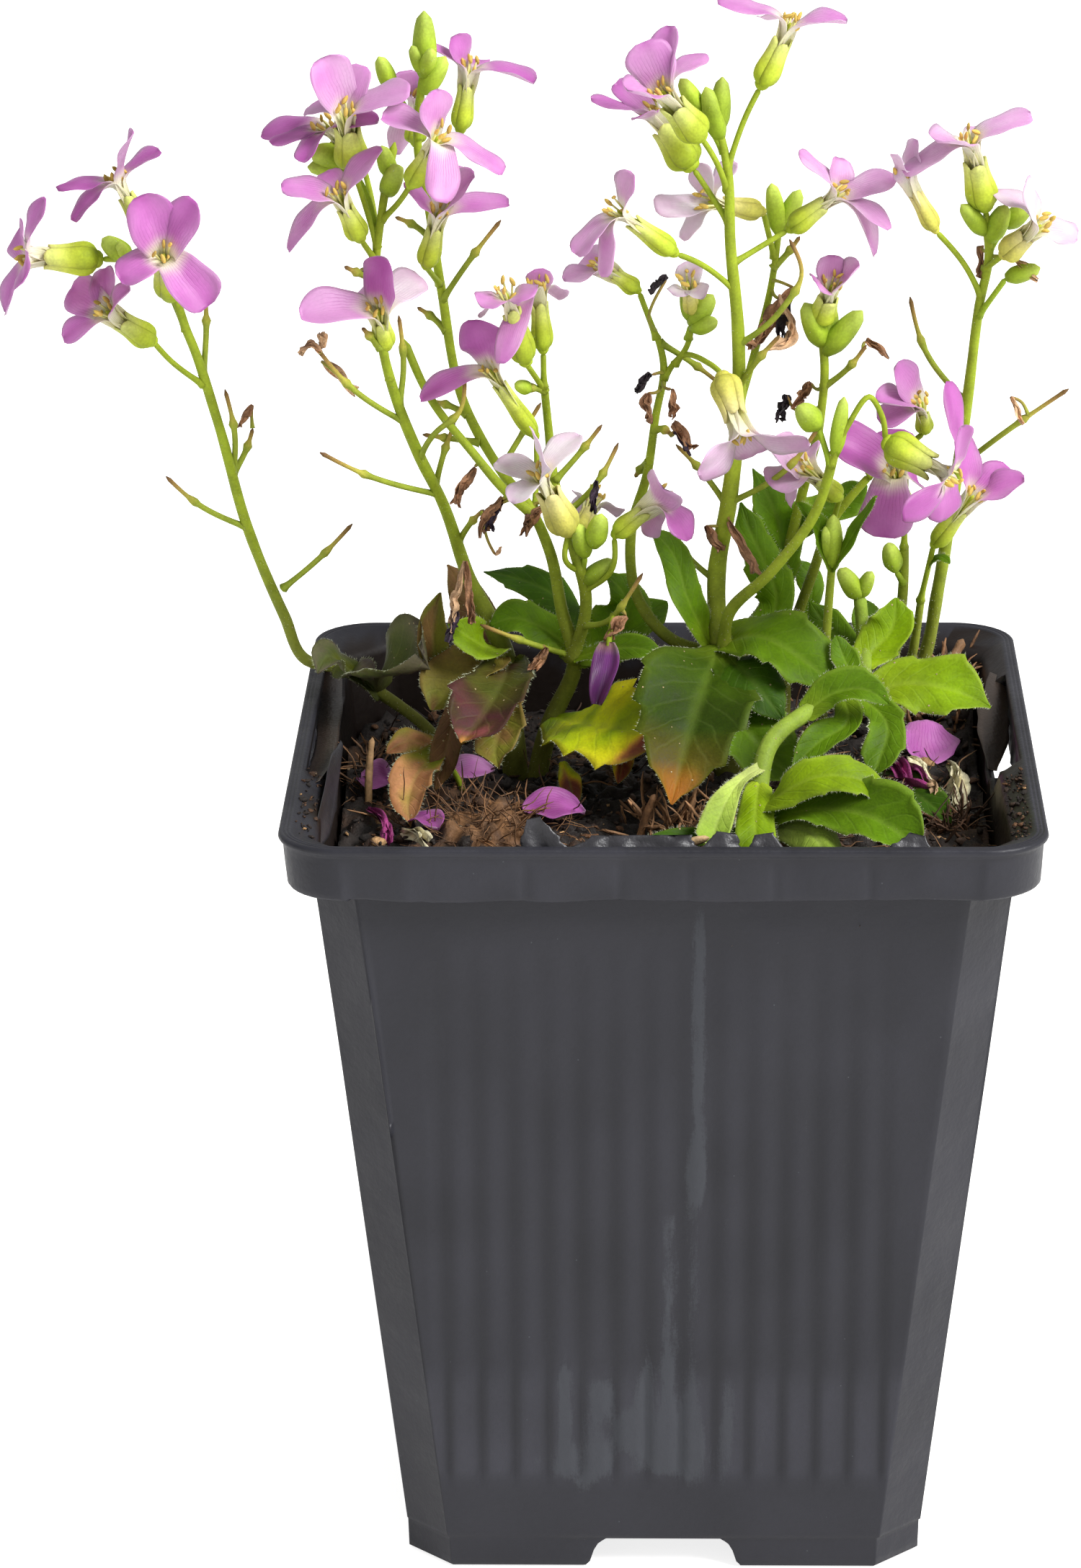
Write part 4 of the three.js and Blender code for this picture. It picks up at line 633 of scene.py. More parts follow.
def calyx(surface, radius, stalk_points, throat, pallor):
    """A flower's stalk and its four sepals. Each sepal is a strip of a round cup about the
    flower's axis: its radius follows a profile that bulges at the foot, and its angle narrows
    to a rounded tip."""
    path, along, _ = smooth(stalk_points, STALK_STEP)
    thread(surface, path, along, STALK_RADIUS, linear(STEM_HIGH))
    foot, mouth = np.asarray(stalk_points[-1], float), np.asarray(throat, float)
    axis, a, b, length = flower_axes(foot, mouth)
    stops = OLD_CALYX_TINTS if pallor > 0.7 else CALYX_TINTS
    shade = surface.random.uniform(0.9, 1.08)
    knob = foot + axis * np.linspace(-0.3, 0.9, 5)[:, None]
    green = ramp(stops, 0.1 + 0 * knob[:, 0])
    tube(surface, knob, radius * np.array([0.3, 0.5, 0.6, 0.55, 0.4]), green, STEM_SIDES)
    u = np.linspace(0, 1, 16)[:, None]
    v, upper = both_sides(9)
    bulge = reading([0.26, 0.84, 1.02, 0.98, 0.88, 0.8, 0.75, 0.74], u)
    rounded = np.sqrt(np.clip(1 - (np.clip(u - 0.82, 0, 1) / 0.185) ** 2, 0, 1))
    spread = 0.9 * (1 - 0.08 * u) * rounded
    for k in range(4):
        angle = (k + 0.5) * pi / 2 + v * spread
        flare = surface.random.uniform(-0.06, 0.07) * ease(u, 0.6, 1)
        r = radius * (bulge * (1.02 - 0.13 * v**2) + flare + 0.05 * (k % 2))
        r = r + upper * (0.14 - 0.1 * v**2)
        tip = CALYX_SHARE + surface.random.uniform(-0.04, 0.08)
        centre = foot + axis * (u * length * tip)[..., None]
        patch = rough(u * 4, v + 3 * k, 0.7, 71)
        tint = ramp(stops, u + 0 * v) * (shade * (1 - 0.14 * v**2 + 0.12 * patch))[..., None]
        surface.loft(centre + r[..., None] * around(angle, a, b), tint, grid(u, v, 0.0))
    cup = foot + axis * (length * np.linspace(0.05, CALYX_SHARE - 0.02, 9))[:, None]
    radii = radius * reading([0.6, 1.1, 1.06, 0.96, 0.92], np.linspace(0, 1, 9))
    stem_hairs(surface, cup, radii, 9)


def flower_axes(foot, mouth):
    """A flower's axis from its foot to its mouth, two directions across it, and its length."""
    axis = mouth - foot
    length = np.linalg.norm(axis)
    axis = axis / length
    a = unit(np.cross(axis, [0.5, 0.8, 0.33]))
    return axis, a, np.cross(axis, a), length


def corolla(surface, stalk_points, throat, pallor, petals):
    """A flower's petals and stamens. Each petal rises from inside the calyx as a narrow claw to
    the flower's mouth, bends over it and widens to a rounded blade."""
    foot, mouth = np.asarray(stalk_points[-1], float), np.asarray(throat, float)
    axis, a, b, length = flower_axes(foot, mouth)
    face = axis + 0.5 * LIGHT
    for x, y, z, width, *own in petals:
        petal(surface, foot + axis * length * 0.4, mouth, np.array([x, y, z], float), width,
            axis, face, own[0] if own else pallor)
    stamens(surface, mouth, axis, a, b)


def petal(surface, root, mouth, tip, width, axis, face, pallor):
    """One petal. Its half width follows a smooth step from the claw to its broadest place and a
    superellipse down to its tip. Its blade is cupped, waved, creased on its midline, and turned
    from facing the flower's axis in the claw to facing up in the blade."""
    random = surface.random
    width = 1.02 * width + 0.3
    tip = tip - 0.4 * unit(tip - mouth)
    aside = tip - mouth
    aside = unit(aside - axis * (aside @ axis))
    reach = np.linalg.norm(tip - mouth)
    bend = mouth + axis * 0.32 * reach + aside * 0.9
    start = mouth + aside * 0.6
    arc = [(1 - t) ** 2 * start + 2 * t * (1 - t) * bend + t * t * tip for t in (0, 0.2, 0.45, 0.72, 1)]
    path, along, share = smooth([root + aside * 0.25, *arc], 0.45)
    claw = along[np.searchsorted(share, 0.2)]
    phase, cup, broad = random.uniform(0, 6), random.uniform(-0.1, 0.2), random.uniform(0.58, 0.68)
    droop, swing, dent = random.uniform(-0.06, 0.1), random.uniform(-0.12, 0.12), random.uniform(0, 0.07)
    s = (np.clip((along - claw) / (1 - claw), 0, 1))[:, None]
    neck = min(2.7, 0.58 * width) * (0.5 + 0.5 * ease(along, 0, claw))[:, None]
    rise = neck + (width - neck) * ease(s, -0.16, broad)
    past = np.clip((s - broad) / (1.02 - broad), 0, 1)
    outline = rise * (1 - past**2.5) ** 0.5
    turn = ease(s, 0.05, 0.55)
    ahead = unit(np.gradient(path, axis=0))
    facing = np.cross(ahead, np.cross(axis, aside)) * (1 - turn) + unit(face) * turn

    def half_width(u, v):
        return outline / 2 * (1 + 0.04 * np.sin(9 * s + phase) * np.sign(v))

    def lift(u, v):
        wave = 0.09 * np.sin(6 * s + phase + 2 * v) * v**2 * ease(s, 0.2, 0.8)
        crease = 0.05 * np.abs(v) ** 0.8 * ease(s, 0, 0.3)
        curve = droop * width * s**2 + swing * v * s
        claw_cup = 0.2 * v**2 * (1 - ease(s, 0, 0.5))
        bowl = cup * v**2 * ease(s, 0.1, 0.6) + wave + crease + claw_cup
        return outline * bowl + curve - dent * s * (1 - v**2)

    def tints(u, v, upper):
        patch = 0.1 * rough(s * 4, v * 1.6, 1, int(reach * 31))
        blade = ramp(BLOOM_TINTS, pallor + patch + 0.5 * swing * v - 0.16 * (s - 0.5))
        deep = ramp(BLOOM_TINTS, np.clip(pallor - 0.25, 0, 1))
        blade = mix(blade, deep, 0.55 * np.abs(v) ** 4 * ease(s, 0.4, 0.9) + 0.3 * ease(s, 0.88, 1))
        pale = 1 - ease(s, 0.02, 0.46 - 0.16 * np.abs(v))
        colour = mix(blade, linear(CLAW_TINT), pale)
        throat = (1 - ease(u, claw * 0.6, claw + 0.2)) * 0.9
        colour = mix(colour, linear(THROAT_TINT), throat * np.ones_like(v))
        reverse = mix(colour, linear(REVERSE_TINT), 0.25 * np.ones_like(s * v))
        return mix(reverse, colour, (upper > 0) * np.ones_like(s))

    sheet(surface, path, half_width, lift, tints, facing, 0.2, PETAL_ACROSS, PETAL)


def stamens(surface, mouth, axis, a, b):
    """Six thin filaments round the flower's mouth, each with a small anther, and a pistil."""
    random = surface.random
    for k in range(6):
        angle = k * pi / 3 + random.uniform(-0.2, 0.2)
        out = around(angle, a, b)
        reach = (1.2 if k % 3 == 0 else 2.1) + random.uniform(-0.4, 0.5)
        top = mouth + axis * reach + out * (0.75 + random.uniform(0, 0.5))
        path, _, _ = smooth([mouth - axis * 2 + out * 0.3, mouth + out * 0.5, top], 0.5)
        tube(surface, path, np.full(len(path), 0.14), linear(FILAMENT_TINT), 5)
        lean = unit(axis + random.uniform(-0.7, 0.7, 3))
        grain = top + lean * np.linspace(-0.6, 0.65, 6)[:, None]
        radii = 0.24 * np.array([0.4, 0.9, 1, 0.95, 0.75, 0.4])
        tint = linear(ANTHER_TINT) * random.uniform(0.75, 1.15)
        tube(surface, grain, radii, tint, 6, 2, 0.2)
    path, _, _ = smooth([mouth - axis, mouth + axis * 1.3], 0.4)
    tube(surface, path, np.full(len(path), 0.26), linear(PISTIL_TINT), 6)


def fallen(surface, widths, *points, pallor=0.55):
    """A petal that has dropped: a blade whose margins curl up and whose end is ragged."""
    random = surface.random
    path, _, _ = smooth(points, 0.35)
    path, _, share = smooth(path, 0.35)
    width = reading(widths, share)[:, None]
    phase, curl = random.uniform(0, 6), random.uniform(0.1, 0.3)

    def half_width(u, v):
        ends = np.sqrt(np.clip((1 - u) / 0.2, 0.03, 1)) * np.sqrt(np.clip(u / 0.1 + 0.2, 0, 1))
        return width / 2 * ends * (1 + 0.06 * np.sin(11 * u + 2 * v + phase))

    def lift(u, v):
        return width * (curl * v**2 - 0.05 + 0.07 * np.sin(6 * u + 2.5 * v + phase))

    def tints(u, v, upper):
        blade = ramp(BLOOM_TINTS, pallor + 0.12 * rough(u * 5, v * 2 + upper, 1, 7))
        return mix(blade, linear(BRUISE_TINT), 0.35 * np.clip(rough(u * 4, v * 2, 1, 23), 0, 1))

    sheet(surface, path, half_width, lift, tints, np.array([0.2, -0.5, 1]), 0.22, PETAL_ACROSS, PETAL)


def wilted(surface, *points, width=3.4):
    """A withered petal that hangs in folds, dark and rolled lengthwise."""
    path, _, _ = smooth(points, 0.35)
    phase = surface.random.uniform(0, 6)

    def half_width(u, v):
        return width / 2 * (0.3 + 0.7 * np.sin(pi * np.clip(u, 0.02, 0.98) ** 0.7) ** 0.7)

    def lift(u, v):
        return width * (0.3 * v**2 + 0.1 * np.sin(5 * u + 4 * v + phase))

    def tints(u, v, upper):
        blade = ramp(WILTED_TINTS, u + 0 * v)
        return blade * (1 + 0.3 * rough(u * 7, v * 3 + upper, 1, 31))[..., None]

    sheet(surface, path, half_width, lift, tints, LIGHT, 0.2, 9, PETAL)


def wall_half(z):
    """Half of the pot wall's width outside, at a height."""
    return FOOT_HALF + (z - FOOT_HEIGHT) * WALL_TAPER


def bridge(front, back, keep, outside):
    """Quads that join two layers of a grid of points along each edge between a cell that is
    kept and one that isn't. The cells past the grid's border count as outside says."""
    kept = np.pad(keep, 1, constant_values=outside)
    left, right = kept[1:-1, :-1], kept[1:-1, 1:]
    below, above = kept[:-1, 1:-1], kept[1:, 1:-1]
    rise = np.stack([front[:-1], front[1:], back[1:], back[:-1]], -1)
    run = np.stack([front[:, :-1], front[:, 1:], back[:, 1:], back[:, :-1]], -1)
    turned = [1, 0, 3, 2]
    return np.concatenate([rise[right & ~left], rise[left & ~right][:, turned],
        run[below & ~above], run[above & ~below][:, turned]])


def cells(index):
    """The quads of a grid of point numbers."""
    return np.stack([index[:-1, :-1], index[:-1, 1:], index[1:, 1:], index[1:, :-1]], -1)


def nearest(points, outline):
    """The places on a closed outline that are nearest to points, in two dimensions."""
    a, b = outline, np.roll(outline, -1, 0)
    along = b - a
    t = np.einsum("nij,ij->ni", points[:, None] - a, along) / (along**2).sum(1)
    spots = a + np.clip(t, 0, 1)[..., None] * along
    best = ((spots - points[:, None]) ** 2).sum(-1).argmin(1)
    return spots[np.arange(len(points)), best]


def within(points, outline):
    """Whether points lie inside a closed outline: whether a ray from each crosses it an odd
    number of times."""
    (ax, ay), (bx, by) = outline.T[:, None], np.roll(outline, -1, 0).T[:, None]
    x, y = points[:, :1], points[:, 1:]
    between = (ay > y) != (by > y)
    crossing = ax + (y - ay) * (bx - ax) / np.where(by == ay, 1e-9, by - ay)
    return (between & (x < crossing)).sum(1) % 2 == 1


def pot_profile():
    """The pot wall's profile as rows of height, half width, corner size, corner roundness and
    level. It starts inside the foot, goes round it and up the outside, out along the shoulder's
    underside, round the skirt, over the narrow lip, down the shoulder and down the inside. Also
    gives the rows where the outer and the inner skin of the torn part start."""
    foot_in = wall_half(0) - FOOT_WALL
    inner_cut = CORNER_CUT - 0.59 * WALL
    skirt_foot = POT_HEIGHT - SKIRT_DROP
    torn = np.concatenate([np.arange(88.6, 96.1, 0.5), np.linspace(96.4, 98.6, 6)])
    rows = []

    def part(z, half, corner, roundness, level=0):
        rows.extend(np.stack(np.broadcast_arrays(z, half, corner, roundness, level), -1))

    def torn_part(skin, level, cut, corner):
        half, z = (np.interp(level, skin[:, 0], skin[:, k]) for k in (1, 2))
        out = np.clip((level - skin[1, 0]) / (skin[2, 0] - skin[1, 0]), 0, 1)
        part(z, half, cut + (corner - cut) * out, out, level)

    z = np.array([3.85, 2.6, 1.2, 0.25])
    part(z, foot_in - 0.3 * z / 3.85, inner_cut, 0)
    part(np.zeros(2), [foot_in + 0.3, wall_half(0) - 0.2], CORNER_CUT, 0)
    z = np.array([0.2, 1.2, 2.4, 3.4, 3.85])
    part(z, wall_half(z) - 0.08 * z, CORNER_CUT, 0)
    z = np.concatenate([[4.15, 4.6], np.arange(6, 86.5, 1.5), [87.4]])
    part(z, wall_half(z), CORNER_CUT, 0)
    torn_outside = len(rows)
    torn_part(OUTER_SKIN, torn, CORNER_CUT, RIM_CORNER - SKIRT_WALL - 0.4)
    top, low = RIM_HALF - 0.5, RIM_HALF - 0.8
    corner = RIM_CORNER - SKIRT_WALL
    part([96.66], [top - SKIRT_WALL - 0.06], corner, 1)
    z = np.linspace(96.3, skirt_foot + 0.4, 5)
    part(z, low - SKIRT_WALL + 0.05 * (z - skirt_foot), corner, 1)
    part(skirt_foot + np.array([0.1, 0, 0.1]), low + np.array([-0.7, -0.45, -0.15]), RIM_CORNER, 1)
    z = np.concatenate([[skirt_foot + 0.4], np.linspace(skirt_foot + 1, 96.6, 7)])
    part(z, low + 0.05 * (z - skirt_foot), RIM_CORNER, 1)
    z, out = LIP.T
    part(z, RIM_HALF + out, RIM_CORNER + np.minimum(out + 0.4, 0), 1)
    torn_inside = len(rows)
    torn_part(INNER_SKIN, torn[::-1], inner_cut, RIM_CORNER - LIP_WIDTH - 0.3)
    z = np.array([87, 84, 80, 70, 55, 40, 25, 12, 5.2])
    part(z, wall_half(z) - WALL, inner_cut, 0)
    return np.array(rows), torn_outside, torn_inside, len(torn)


def pot_wall(surface, groove_depth):
    """The pot's walls, foot and rim as a profile carried round a square, where the outside is
    pressed in by grooves: a row of cosine waves across each side, raised to a high power low
    down, where the grooves are narrow, and to a low one above."""
    rows, torn_outside, torn_inside, torn_rows = pot_profile()
    z, half, corner, roundness, height = rows.T[:, :, None]
    middle = np.arange(-FLAT_HALF, FLAT_HALF + 0.1, 0.5)
    stretch = np.linspace(0, 1, 10)[1:]
    edge = half - corner
    low = -FLAT_HALF - stretch[::-1] * (edge - FLAT_HALF)
    x = np.concatenate([low, np.repeat(middle[None], len(rows), 0), -low[:, ::-1]], 1)
    bend = np.array([0.03, 0.08, 0.16, 0.27, 0.38, 0.5, 0.62, 0.73, 0.84, 0.92, 0.97])
    arc = bend * pi / 2
    flat_x = edge + corner * ((1 - roundness) * bend + roundness * np.sin(arc))
    flat_y = -half + corner * ((1 - roundness) * bend + roundness * (1 - np.cos(arc)))
    x = np.concatenate([x, flat_x], 1)
    y = np.concatenate([np.repeat(-half, x.shape[1] - len(bend), 1), flat_y], 1)
    z = np.repeat(z, x.shape[1], 1)
    level = np.arange(x.shape[1]) < x.shape[1] - len(bend)
    number = np.arange(len(rows))[:, None]
    outer = (number >= FOOT_ROWS) & (number < torn_outside + torn_rows)
    footed = number < FOOT_ROWS
    on_skirt = (number > torn_outside + torn_rows) & (number < torn_inside)

    gap = np.interp(np.abs(x), *FOOT_NOTCH)
    z = np.where(footed & level, np.maximum(z, gap), z)

    ripple = 0.5 + 0.5 * np.cos(2 * pi * (x / GROOVE_PITCH + 0.5))
    soft = ease(z, 24, 31)
    shape = ripple**5 * (1 - soft) + ripple**1.2 * soft * 0.75
    reach = ease(z, 11.8, 13.4) * (1 - 0.75 * ease(z, 45, 84)) * (1 - ease(z, 82, 87))
    reach = reach * (1 - ease(np.abs(x), 27.6, 28.6))
    groove = groove_depth * shape * reach * level * outer

    sides, tints, spans = [], [], []
    for k in range(4):
        dent = 0.3 * (0.5 + 0.5 * rough(x + 60 * k, z * 0.4, 9, 41)) * (outer | on_skirt)
        crease = sum(np.exp(-(((x - at_x - 3 * k) / 0.5) ** 2)) for at_x in SKIRT_CREASES)
        pressed = (0.22 * crease + 0.25 * (rough(x, 0 * x + 9 * k, 5, 17) * 0.5 + 0.5)) * on_skirt * level
        pressed = pressed * (1 - ease(z, 96, 97.2))
        inward = groove + dent * (1 - ease(z, 90, 97) * on_skirt) + pressed
        low_edge = 0.45 * (rough(x, 0 * x + 5 * k, 6, 19) * 0.5 + 0.5) * on_skirt * (1 - ease(z, 91.5, 94))
        across = np.stack([x, y + inward, z + low_edge], -1)
        turned = Matrix.Rotation(k * pi / 2, 3, "Z")
        sides.append(across @ np.array(turned).T)

        rib = ease(z, 11.5, 13) * (1 - ease(z, 24, 29)) * (1 - ripple**1.5) * outer * level
        smear = np.clip(rough(x + 31 * k, z * 0.5, 2.4, 43) + 0.3, 0, 1)
        streaks = sum(
            strength * np.exp(-(((x - at_x - 7 * k * (-1) ** k) / spread) ** 2))
            * ease(z, foot, foot + 6) * (1 - ease(z, head - 8, head))
            for at_x, spread, foot, head, strength in POT_STREAKS)
        smear = smear * np.exp(-(((x + 4) / 14) ** 2)) * ease(z, 7, 13) * (1 - ease(z, 23, 31))
        wear = 0.3 * rib + (0.95 * smear + streaks) * outer * level
        patch = ease(rough(x + 17 * k, z * 0.6, 6.5, 47), -0.1, 0.5) * on_skirt
        # Lighter on the scuffed ribs low down and at random, with painted shade in the narrow grooves between
        # those ribs.
        tone = 1 + 0.55 * rib + 0.25 * patch + 0.12 * rough(x + 50 * k, z, 7, 53) - 0.25 * ripple**3 * rib
        # Painted shade in the grooves and painted highlight on the ridges between them, in soft bands up the
        # wall.
        tone = tone - 0.3 * soft * (ripple - 0.4) * reach * outer * level
        edge = z - 3 * (k == 1) + 2.5 * rough(x + 13 * k, z, 3, 57) + 1.2 * rough(x + 13 * k, z, 0.9, 58)
        soil = 0.92 * ease(edge, 98.2, 94) * (number >= torn_inside)
        tints.append(mix(linear(PLASTIC_TINT) * tone[..., None], linear(PEAT_TINT), soil))
        spans.append(np.stack([np.clip(wear + 0.25 * patch, 0, 1), ease(z, 0, 12), 0 * z], -1))
    places, tints, spans = (np.concatenate(k, 1) for k in (sides, tints, spans))
    count = places.shape[1]
    index = np.arange(len(rows) * count).reshape(len(rows), count)

    flat = places.reshape(-1, 3)
    ring = np.concatenate([index, index[:, :1]], 1)
    quads = cells(np.concatenate([ring, ring[:1]]))
    keep = np.ones(quads.shape[:2], bool)
    middle = height[torn_outside : torn_outside + torn_rows]
    middle = (middle[:-1] + middle[1:]) / 2
    edges = []
    for side, outline in TEARS.items():
        columns = side * count // 4 + np.flatnonzero(level)[4:-4]
        front = index[torn_outside : torn_outside + torn_rows, columns]
        back = index[torn_inside : torn_inside + torn_rows, columns][::-1]
        along = (flat[front[:-1, :-1], 1] + flat[front[1:, 1:], 1]) / 2
        centres = np.stack(np.broadcast_arrays(along, middle), -1)
        torn = within(centres.reshape(-1, 2), outline).reshape(along.shape)
        edges.append(bridge(front, back, ~torn, True))
        levels = np.repeat(height, count, 1).ravel()
        for layer, skin in ((front, OUTER_SKIN), (back, INNER_SKIN)):
            border = np.intersect1d(edges[-1], layer)
            spots = nearest(np.stack([flat[border, 1], levels[border]], -1), outline)
            half, z = (np.interp(spots[:, 1], skin[:, 0], skin[:, k]) for k in (1, 2))
            flat[border] = np.stack([(2 - side) * half, spots[:, 0], z], -1)
        keep[torn_outside : torn_outside + torn_rows - 1, columns[0] : columns[-1]] = ~torn
        keep[torn_inside : torn_inside + torn_rows - 1, columns[0] : columns[-1]] = ~torn[::-1]
    surface.add(flat, tints.reshape(-1, 3), spans.reshape(-1, 3), [quads[keep], *edges])


def pot_floor(surface):
    """The pot's floor: a plate of square cells between two heights, less the cells in the four
    drain holes, whose edges are moved onto circles, and the round pad under its middle."""
    across = np.linspace(-FLOOR_HALF, FLOOR_HALF, FLOOR_LINES)
    x, y = np.meshgrid(across, across)
    cut = np.clip(np.abs(x) + np.abs(y) - FLOOR_CUT, 0, None) / 2
    x, y = x - np.sign(x) * cut, y - np.sign(y) * cut
    away_x, away_y = np.abs(x) - DRAIN_OFFSET, np.abs(y) - DRAIN_OFFSET
    away = np.hypot(away_x, away_y)
    middle = (away[:-1, :-1] + away[1:, :-1] + away[:-1, 1:] + away[1:, 1:]) / 4
    keep = middle > DRAIN_RADIUS
    index = np.arange(x.size).reshape(x.shape)
    edges = bridge(index, index + x.size, keep, True)
    rim = np.zeros(x.size, bool)
    rim[edges.ravel() % x.size] = True
    rim = rim.reshape(x.shape)
    scale = np.where(rim, DRAIN_RADIUS / np.maximum(away, 1e-6), 1)
    x = np.where(rim, np.sign(x) * (DRAIN_OFFSET + away_x * scale), x)
    y = np.where(rim, np.sign(y) * (DRAIN_OFFSET + away_y * scale), y)
    places = np.concatenate([grid(x, y, level).reshape(-1, 3) for level in (FLOOR_TOP, FLOOR_UNDERSIDE)])
    top, under = cells(index)[keep], cells(index + x.size)[keep][:, ::-1]
    sides = bridge(index, index + x.size, keep, False)
    surface.add(places, linear(FLOOR_TINT), (0, 1, 0), [top, under, sides])
    angle = turns(48)
    profile = np.array([(5.2, 0.5), (5.4, 0.1), (5.7, 0), (5.95, 0.1), (6, 0.6), (6, 2.5), (6, 4.2)])
    rings = grid(profile[:, :1] * np.cos(angle), profile[:, :1] * np.sin(angle), profile[:, 1:])
    surface.loft(rings, linear(FLOOR_TINT), (0, 1, 0))


def film_scraps(surface):
    """Scraps of torn film on the lip's inner edge, the torn strip of the left wall that leans in
    over the peat, and the soiled flaps left of the torn shoulders: thin crumpled sheets."""
    edge = RIM_HALF - LIP_WIDTH
    for x, low, high, width, tip, lean in FILM_SCRAPS:
        path = [[x, 0.2 - edge, low], [x + lean / 2, 0.7 - edge, (low + high) / 2],
            [x + lean, 1.3 - edge, high]]
        film_scrap(surface, path, [width, (width + tip) / 2, tip], np.array([0, 1, 0.2]), FILM_TINT)
    strip = [[-41, -33, 94.6], [-40.1, -24, 95], [-39.8, -12, 95.6], [-39.6, -1, 96.4]]
    film_scrap(surface, strip, [1.6, 4.2, 4.4, 1], np.array([1, 0, 0.2]), FILM_TINT)
    for flap, widths in TORN_FLAPS:
        film_scrap(surface, flap, widths, np.array([0.3 * np.sign(flap[0][0]), 0, 1]), SOILED_TINT)


def film_scrap(surface, points, widths, face, tint):
    """A torn piece of film: a sheet whose margins are ragged and whose face is crumpled."""
    path, _, share = smooth(points, 0.3)
    width = reading(widths, share)[:, None]
    seed = int(abs(points[0][0]) * 3) + 3

    def half_width(u, v):
        return width / 2 * (1 + 0.12 * rough(u * 9, 3 * v, 1, seed))

    def lift(u, v):
        return 0.35 * rough(u * 3, v * width / 2, 1.6, seed + 1)

    def tints(u, v, upper):
        return linear(tint) * (1 + 0.25 * rough(u * 4, v * width / 2, 0.9, seed + 2))[..., None]

    sheet(surface, path, half_width, lift, tints, face, 0.16, max(9, int(max(widths) * 2.5)), 1)


def clump(x, y):
    """How far a place lies in the matted lump at the front left, from 0 to 1."""
    return np.exp(-(((x + 20.5) / 7) ** 2) - ((y + 14) / 9) ** 2)


def peat_height(x, y):
    """The height of the peat: a mound at the plant's crown, a lump at the front, a bank at the
    back right corner, a dip at the back left one, low waves, and crumbs of three sizes."""
    def hump(at_x, at_y, reach):
        return np.exp(-((x - at_x) ** 2 + (y - at_y) ** 2) / reach**2)

    waves = np.sin(0.83 * x + 1.7 * y) + np.sin(1.9 * x - 0.7 * y + 2)
    lumps = 2 * hump(7, 6, 14) + 5 * hump(38, 36, 10) - 2.4 * hump(-30, 30, 16) + 4 * hump(-41, 9, 7)
    lumps = lumps + clump(x, y) * (3.2 + 1.3 * rough(x, 2 * y, 3.1, 69))
    crumbs = 0.9 * rough(x, y, 3.4, 61) + 0.6 * rough(x, y, 1.7, 62) + 0.35 * rough(x, y, 0.8, 63)
    return PEAT_LEVEL + lumps + 0.35 * waves + crumbs


def peat_reach(angle, half):
    """How far the edge of a square with its corners cut off is, in a direction."""
    across, along = np.abs(np.cos(angle)), np.abs(np.sin(angle))
    return np.minimum(half / np.maximum(across, along), (2 * half - CORNER_CUT) / (across + along))


def peat_bed(surface):
    """The filling: rings round the pot's axis up the wall and in over the top."""
    angle = turns(PEAT_SIDES)
    ring = grid(np.cos(angle), np.sin(angle))
    inside = wall_half(PEAT_LEVEL - 1.5) - WALL - 0.5
    walls = [(z, wall_half(z) - WALL - 0.5) for z in (PEAT_FOOT, 40)]
    walls.append((PEAT_LEVEL - 3, inside))
    rings = []
    for z, half in walls:
        flat = peat_reach(angle, half)[:, None] * ring
        rings.append(np.concatenate([flat, np.full((len(angle), 1), z)], 1))
    for scale in np.concatenate([np.linspace(1, 0.2, 72), np.linspace(0.19, 0.01, 12)]):
        flat = scale * peat_reach(angle, inside)[:, None] * ring
        rings.append(np.concatenate([flat, peat_height(*flat.T)[:, None]], 1))
    rings = np.array(rings)
    x, y, z = np.moveaxis(rings, -1, 0)
    tone = 1 + 0.5 * rough(x, y, 2.1, 64) + 0.3 * rough(x, y, 0.9, 65)
    dry = ease(rough(x, y, 7, 66) + 0.6 * rough(x, y, 2, 67), 0.2, 1.1)
    brown = mix(linear(PEAT_TINT), linear(DRY_PEAT_TINT), dry)
    matted = ease(clump(x, y) + 0.3 * rough(x, y, 1.5, 68), 0.35, 0.75)
    brown = mix(brown, linear(CLUMP_TINT), matted)
    surface.loft(rings, brown * tone[..., None])


def scatter(random, count, half):
    """Random places on the peat, with its height there."""
    x, y = random.uniform(-half, half, (2, count))
    inside = np.abs(x) + np.abs(y) < 2 * half - CORNER_CUT
    x, y = x[inside], y[inside]
    return np.stack([x, y, peat_height(x, y)], -1)


